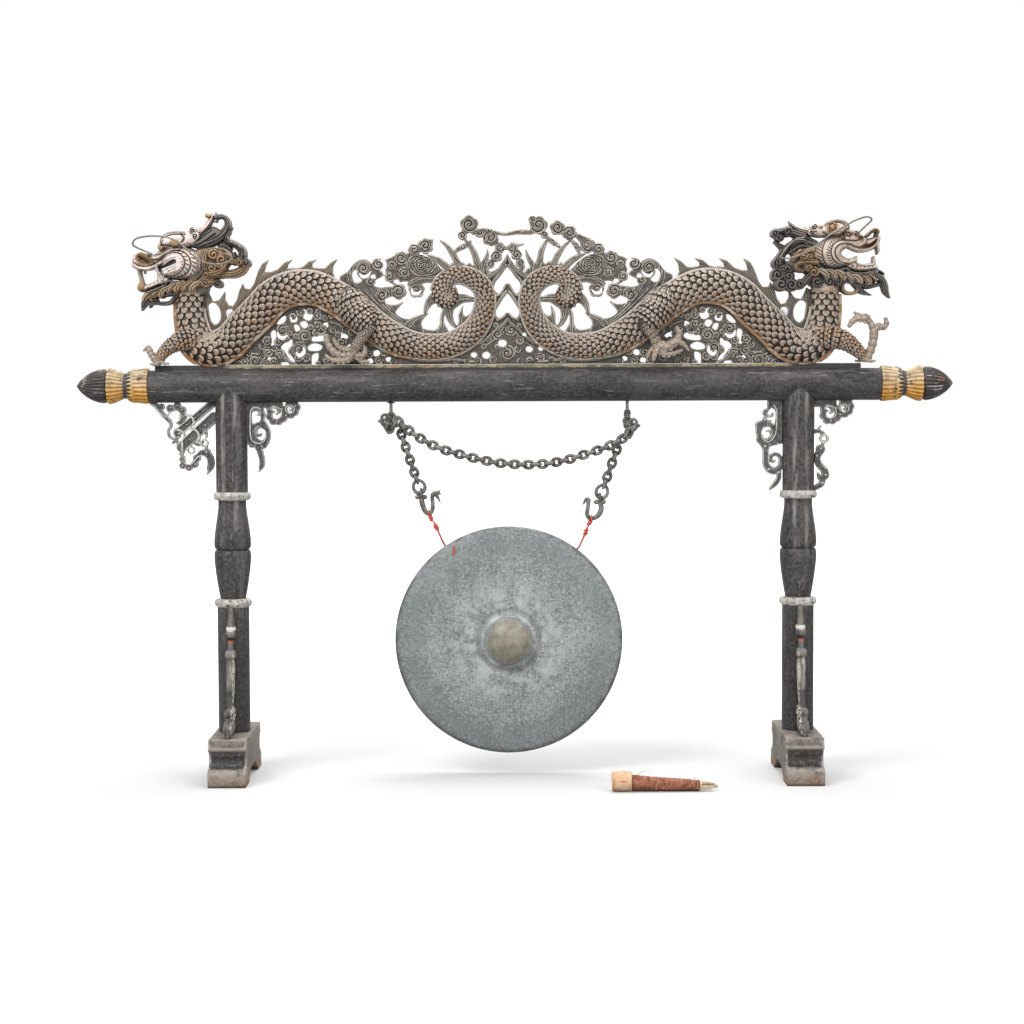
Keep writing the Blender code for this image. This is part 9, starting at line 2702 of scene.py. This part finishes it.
def make_right_head():
    d = HeadDrawing(1, (787, 216), (884, 276))
    c = (845, 252.6)
    d.form([(812, 257), (812.6, 249), (817, 243), (825, 238), (834, 235.6), (843, 237), (849, 242), (847, 247), (843, 250), (843.4, 256), (849, 259),
            (855, 261), (853, 267), (846, 266), (836, 268.4), (826, 267.6), (817.4, 263)], 0.10, 0.88, 15)
    d.form([(836, 239), (841, 234), (847, 230.6), (854, 230.4), (858.6, 232), (861.6, 236), (866, 238.4), (872, 237), (877, 235.6), (879.6, 237.6),
            (878.2, 243), (873.4, 248.6), (866, 251.8), (858, 252), (851, 249.4), (845, 247), (838, 247)], 0.14, 0.48, 8)
    d.form([(807, 231), (810, 225.6), (816, 223.4), (822, 224.4), (827, 221.4), (834, 219.2), (842, 220), (847.4, 223.4), (848.8, 228), (845, 232.4),
            (838, 236.4), (828, 237), (818, 237), (810, 235)], 0.24, 0.46, 8)
    d.lock([(816, 231.6), (806, 230.8), (798, 228.4), (793, 225), (789.4, 221.2)], [9.4, 8, 6, 4, 1.6], 0.12, 0.36, 0.0, 1)
    d.form([(848, 258.4), (855.4, 257.6), (856.6, 262.4), (863, 263.6), (872, 262.4), (875.4, 264.4), (877.2, 269), (868, 271), (858, 271.4), (850.6, 270), (845, 266)], 0.2, 0.40, 4.5, 0.05)
    d.lock([(811.6, 249), (812.2, 257), (816.4, 263.6), (824, 268.8), (836, 270.4), (845, 268), (850, 271.6), (858, 273.2), (868, 272.4), (877.6, 269.6)],
           [2.6, 3.2, 3.4, 3.6, 3.6, 3.4, 3.2, 3.2, 3, 2.2], 0.42, 0.20, 1.0, 0, 1.4)
    d.lock([(873.4, 263.4), (873.4, 259), (873, 256)], [3.4, 2.6, 1], 0.2, 0.24, 0.1)
    d.lock([(855, 259.6), (855.4, 256.4)], [3.4, 2], 0.3, 0.24, 0.1)
    d.lock([(876.4, 244), (877.4, 250), (876.6, 254)], [4, 3.2, 1], 0.14, 0.3, 0.1)
    d.lock([(866, 236), (870, 232), (874, 229.6), (877, 231.4), (875.6, 235)], [3.4, 4, 4.4, 4, 3], 0.16, 0.34, 0.5, 1)
    # cheek rings, lips and mouth
    d.ridge([(878.6, 238.6), (875.4, 244.4), (868.4, 249.4), (861, 250.8), (854, 249.6), (848, 246.8), (841.4, 247), (837.6, 251), (838.6, 256.6), (844, 259.6), (851, 261.6)], 0.10, 1.1)
    d.cut([(876, 238.8), (872.4, 243.2), (866, 246.8), (859.6, 247.8), (853, 246), (847, 243.6), (839.4, 244), (834.6, 249), (834.8, 256), (840, 261.4), (848, 263.4)], 0.12, 0.5)
    d.cut([(862, 238), (855, 240.6), (847, 240.2), (838, 240.6), (831.6, 246), (830.4, 254), (834.6, 261.4), (843, 265.2)], 0.12, 0.6)
    d.cut(d.arc((842, 252), 20.5, 120, 238, 14), 0.12, 0.6)
    d.ridge(d.arc((842, 252), 27.6, 125, 215, 14), 0.06, 0.9)
    d.dashes((842, 252), 13.2, 16.0, 110, 250, 14, 0.10)
    d.dashes((842, 252), 22.0, 25.4, 125, 232, 14, 0.11)
    d.pits([(852, 265.6), (856, 266.4), (860, 266.8), (864, 267), (868, 266.6), (872, 266.4), (849, 263.6), (845, 262.6)], 0.55, 0.14)
    d.cut([(850, 262.6), (854.6, 262), (857, 265), (865, 266), (874, 264.6)], 0.10, 0.5)
    d.hole([(840.6, 252.4), (842.4, 250), (846, 249.6), (850, 252), (855, 253.8), (855, 256), (851, 257.6), (846, 257), (842, 255.4)])
    d.sunk([(861, 243.4), (868, 243), (874, 239.6), (877, 239.4), (873.6, 245.4), (866, 248.6), (860, 247.6)], 0.26, 3, 0.5)
    d.lock([(857, 245.4), (862.4, 243), (865, 238.6)], [2.6, 3.4, 1.6], 0.52, 0.2, 0.0)
    for column, row, radius, start in ((847.6, 233.6, 4.4, 0), (855.2, 234, 3.6, 120), (859.6, 237, 2.8, 0), (842, 238.4, 3, 60)):
        d.curl(column, row, radius, 0.46, 0.2, 0.35, start, 1)
    # eye, brow and horn
    d.ball(831.6, 227, 5.0, 0.70, 0.14, 0.62)
    d.cut(d.arc((831.6, 227), 3.0, 0, 330, 12), 0.10, 0.5)
    d.ball(838.6, 228.4, 4.6, 0.66, 0.12, 0.0, 0.7)
    d.ridge([(824, 224.6), (827, 222.4), (834, 220.2), (842, 221), (847, 224.6), (848, 228)], 0.12, 1.1, 0.9)
    d.cut([(828, 224.6), (834, 222.6), (841, 223.4), (845, 226.4)], 0.10, 0.5)
    d.ridge([(823, 230), (828, 233.6), (836, 233.4), (843, 230.6)], 0.07, 0.8)
    d.cut([(822, 232), (828, 235.4), (837, 235), (845, 231.6)], 0.10, 0.5)
    d.curl(813.4, 227, 3.9, 0.56, 0.16, 0.0, 90, 1)
    d.curl(811, 232.6, 3.2, 0.56, 0.14, 0.0, 270, -1)
    d.ball(820, 226.8, 1.8, 0.6, 0.12, 0.5)
    d.cut([(806, 228.4), (799, 226.4), (793.4, 223.4)], 0.10, 0.5)
    d.board("dragon_head_right", 0.0560, TAN_HEAD, "head_right")

    m = HeadDrawing(1, (772, 224), (893, 299))
    slate, ochre = 1.0, 0.5
    m.form([(812, 238), (803, 233), (797, 233), (793, 239), (790, 246), (786, 252), (784, 262), (788, 272), (796, 270), (804, 272), (812, 278), (822, 276), (822, 250), (818, 242)], 0.34, 0.3, 7, slate)
    for line in (((812, 241), (803, 238), (796, 240)), ((812, 245), (802, 243), (792, 248)), ((810, 248), (800, 248), (790, 254))):
        m.cut(line, 0.12, 0.6)
    m.lock([(804, 236), (797, 234), (790, 231.4), (783, 230.4), (777, 232)], [8, 8, 7.4, 6.6, 5.4], 0.28, 0.4, slate, 2)
    for column, row, radius, start, hand, tint in (
        (776.6, 232.6, 4.8, 0, 1, slate), (788.4, 231, 5.6, 180, -1, slate), (780.4, 237, 4.4, 90, 1, slate), (778.4, 262, 5.8, 20, 1, slate),
        (778.6, 274, 7.2, 200, 1, slate), (789, 275.4, 6.2, 40, -1, slate), (782, 283.4, 7.2, 90, 1, slate), (792, 284, 6.8, 300, 1, slate),
        (800, 283.4, 5.4, 0, 1, slate), (789, 267.6, 5, 150, 1, slate), (784, 268, 4.4, 0, 1, slate),
    ):
        m.curl(column, row, radius, 0.34, 0.4, tint, start, hand)
    m.hole([(784.4, 240.6), (787.4, 238.8), (790, 240.4), (788.8, 243.6), (785.6, 243.8)])
    m.lock([(774.8, 241.4), (780, 244.4), (784.4, 249), (781.4, 255), (777.8, 260), (777.6, 266)], [1.4, 3.8, 6.4, 7, 7, 6], 0.28, 0.42, slate, 2)
    m.lock([(785, 250), (790, 243.6), (797, 240.8), (804, 240.6), (806.4, 244)], [4.6, 4.4, 4.6, 4.4, 3], 0.46, 0.36, slate, 1)
    m.hole([(785.6, 257), (788, 253.6), (792, 253.6), (792.4, 257), (789, 260), (786, 260)])
    m.lock([(813, 249.6), (805, 251.6), (798, 254.6), (794, 260)], [7, 7, 6, 3.4], 0.5, 0.4, ochre, 2)
    m.lock([(816, 261.6), (807, 261.4), (799, 262.6), (796.6, 267.6), (803, 270)], [7, 6.6, 5.6, 5, 3.6], 0.52, 0.4, ochre, 2)
    for column, row, radius, start, hand in ((804, 257.6, 4.4, 0, 1), (810, 256, 4.6, 120, 1), (808, 266.6, 4.6, 60, -1), (814, 271, 5.6, 200, 1), (801, 252, 3.8, 90, 1)):
        m.curl(column, row, radius, 0.56, 0.38, ochre, start, hand)
    m.hole([(796, 272.6), (802.6, 272.2), (801, 275.6), (796.4, 279.6)])
    m.lock([(815, 272), (808, 278), (802, 285.6)], [8, 8, 4], 0.44, 0.4, slate, 2)
    m.form([(810, 276), (826, 274), (843, 275), (845, 283), (836, 286), (818, 287), (809, 284)], 0.34, 0.24, 4, slate)
    m.curl(817, 281, 6, 0.5, 0.36, slate, 60, 1)
    m.curl(829, 280.6, 5.4, 0.46, 0.36, slate, 200, -1)
    m.curl(838, 282, 4.6, 0.46, 0.34, slate, 0, 1)
    for k, (column, row) in enumerate(((824, 273.4), (832, 274), (840.4, 274.4), (849, 277), (857.4, 278.6), (865.6, 278.6), (873.6, 276.4))):
        m.lock([(column - 5, row - 3.6), (column - 0.6, row - 2), (column + 2.4, row + 2), (column + 1.2, row + 4.4)],
               [5.4, 7.4, 6.4 + k % 3, 2.6], 0.60 - 0.03 * k, 0.32, 0.22 + 0.05 * (k % 3), 1 + k % 2)
    m.lock([(872, 273.6), (880, 277.6), (884.4, 284.6), (886, 291), (889.4, 297.2)], [6, 6.8, 6, 4.4, 1.0], 0.34, 0.4, slate, 2)
    m.lock([(853, 280), (858, 286), (862, 291), (870.6, 294.4)], [6, 5.6, 4.4, 1.0], 0.34, 0.38, slate, 1)
    m.lock([(842, 282.6), (842.4, 288.6), (847, 292.4), (855, 291.8), (858, 287.4)], [3.6, 3.4, 3.4, 3.4, 3], 0.3, 0.3, ochre)
    m.lock([(857, 282.6), (866, 285.4), (876, 284), (882, 282)], [5, 6, 5, 4], 0.3, 0.34, slate, 1)
    m.hole([(874.4, 281.4), (877, 280.2), (879, 281.6), (876.4, 283)])
    m.lock([(880, 271), (883, 273.6), (880, 276)], [2.4, 2.2, 3], 0.3, 0.2, slate)
    m.board("dragon_mane_right", 0.0470, MANE_PAINT, "mane_right", "ochre_mane_wood", rubbed=1.9, rim=0.10)


LEFT_WHISKER = [
    (355, 113, 12.0), (365, 117, 17), (374, 122, 24), (371, 128, 30), (359, 130.5, 36), (344, 130, 40), (330, 125.4, 42),
    (317, 114, 43), (306, 105.6, 43), (293, 102.6, 42), (280, 104.4, 41), (275.4, 109.6, 40), (280, 115.4, 38), (291, 118.6, 36), (301, 116.6, 34),
    (306, 111, 32), (303.6, 105.4, 31),
]
RIGHT_WHISKER = [
    (350, 130.6, 10.0), (357, 137, 15), (364, 144, 18), (359, 147, 22), (349, 144, 28), (341, 140, 33), (321, 128, 38), (303, 114, 41),
    (286, 107, 42), (275, 107, 42), (280, 116, 40), (288, 124, 38), (297, 127, 36),
]


def make_whisker(side, suffix, route):
    pile = Pile()
    rows = flowing(route, 8)
    world = np.array([crest(side, u, w, f) for u, w, f in rows])
    share = np.linspace(0, 1, len(world))
    pile.sweep(world, 0.0024 * np.minimum(1.0, 0.75 + share * 4) * (1 - 0.25 * share**3), sides=12, wear_and_shade=0.3)
    dress(pile.made("whisker_wire_" + suffix, WIRE, 60), STAND, "wrought_iron", "whisker_" + suffix)


def make_collars():
    """The plain band at the top of each neck, under the mane, with a bead below it."""
    for side, suffix in ((-1, "left"), (1, "right")):
        pile = Pile()
        rows = np.array([(318, 84.0), (318, 79.0), (317.8, 73.6)])
        world = to_world(side, rows, 0.0)
        pile.sweep(world, np.array([13.4, 14.4, 15.0]) * SQUARE, np.array([13.4, 14.4, 15.0]) * SQUARE * 0.84, sides=40, tint=0.0, round_ends=False)
        ring = [
            (CREST_X + side * (317.8 * SQUARE) + 15.4 * SQUARE * math.cos(a), PLANE + 15.4 * SQUARE * 0.84 * math.sin(a), BEAM_TOP + CREST_LIFT + 73.0 * RISE)
            for a in np.linspace(0, 2 * math.pi, 48, endpoint=False)
        ]
        pile.sweep(np.array(ring), 0.0020, sides=10, toward=(0, 0, 1), wear_and_shade=0.6, tint=0.5, closed=True)
        dress(pile.made("neck_collar_" + suffix, TAN_HEAD, 50), STAND, "taupe_scale_wood")


WIRE = simple_finish("whisker_wire", seen(118, 110, 98), seen(142, 132, 116), 60, 0.5, 0.2, 0.0003)
make_left_head()
make_right_head()
make_whisker(-1, "left", LEFT_WHISKER)
make_whisker(1, "right", RIGHT_WHISKER)
make_collars()


# Floor and light


def make_floor():
    """A wide pale floor that runs off into white, and keeps the soft shadows."""
    mesh = bpy.data.meshes.new("floor")
    mesh.from_pydata([(-40, -12, 0), (40, -12, 0), (40, 60, 0), (-40, 60, 0)], [], [(0, 1, 2, 3)])
    paint = Paint("floor_paper", 0.9)
    paint.shader.inputs["Specular IOR Level"].default_value = 0.0
    rays = paint.tree.nodes.new("ShaderNodeLightPath")
    camera_ray = rays.outputs["Is Camera Ray"]
    paper = paint.maths("ADD", FLOOR_BOUNCE, paint.maths("MULTIPLY", camera_ray, FLOOR_PAPER - FLOOR_BOUNCE))
    paint.feed(paint.shader.inputs["Base Color"], paper)
    far = paint.span(paint.part_of(1), 0.3, 2.4, FLOOR_LIFT, FAR_LIFT)
    lift = paint.maths("MULTIPLY", rays.outputs["Is Camera Ray"], far)
    paint.shader.inputs["Emission Color"].default_value = (1.0, 1.0, 1.0, 1.0)
    paint.feed(paint.shader.inputs["Emission Strength"], lift)
    mesh.materials.append(paint.material)
    floor = bpy.data.objects.new("floor", mesh)
    bpy.context.scene.collection.objects.link(floor)


def soft_light(name, place, target, size, power, colour=(1.0, 1.0, 1.0)):
    data = bpy.data.lights.new(name, "AREA")
    data.shape = "RECTANGLE"
    data.size, data.size_y = size
    data.energy = power
    data.color = colour
    obj = bpy.data.objects.new(name, data)
    obj.location = place
    obj.rotation_euler = (Vector(target) - Vector(place)).to_track_quat("-Z", "Y").to_euler()
    bpy.context.scene.collection.objects.link(obj)


def make_light():
    world = bpy.data.worlds.new("studio")
    bpy.context.scene.world = world
    world.use_nodes = True
    tree = world.node_tree
    back = tree.nodes["Background"]
    rays = tree.nodes.new("ShaderNodeLightPath")
    seen_directly = tree.nodes.new("ShaderNodeMath")
    seen_directly.operation = "MAXIMUM"
    tree.links.new(rays.outputs["Is Camera Ray"], seen_directly.inputs[0])
    tree.links.new(rays.outputs["Is Glossy Ray"], seen_directly.inputs[1])
    level = tree.nodes.new("ShaderNodeMapRange")
    level.inputs["To Min"].default_value = WORLD_LIGHT
    level.inputs["To Max"].default_value = 1.0
    tree.links.new(seen_directly.outputs[0], level.inputs["Value"])
    tree.links.new(level.outputs["Result"], back.inputs["Strength"])
    back.inputs["Color"].default_value = (1.0, 1.0, 1.0, 1.0)
    soft_light("key", (-2.6, -3.4, 4.2), (0.0, 0.0, 0.8), (2.6, 2.6), KEY_POWER)
    soft_light("fill", (3.4, -4.0, 2.2), (0.0, 0.0, 0.8), (3.0, 3.0), FILL_POWER)
    soft_light("top", (0.6, 0.6, 4.6), (0.0, 0.0, 0.8), (3.2, 2.4), TOP_POWER)


FLOOR_LIFT, FAR_LIFT = 0.10, 1.0
FLOOR_PAPER, FLOOR_BOUNCE = 0.70, 0.40
WORLD_LIGHT = 0.48
KEY_POWER, FILL_POWER, TOP_POWER = 190, 80, 140
make_floor()
make_light()
bpy.context.scene.view_settings.view_transform = "Standard"
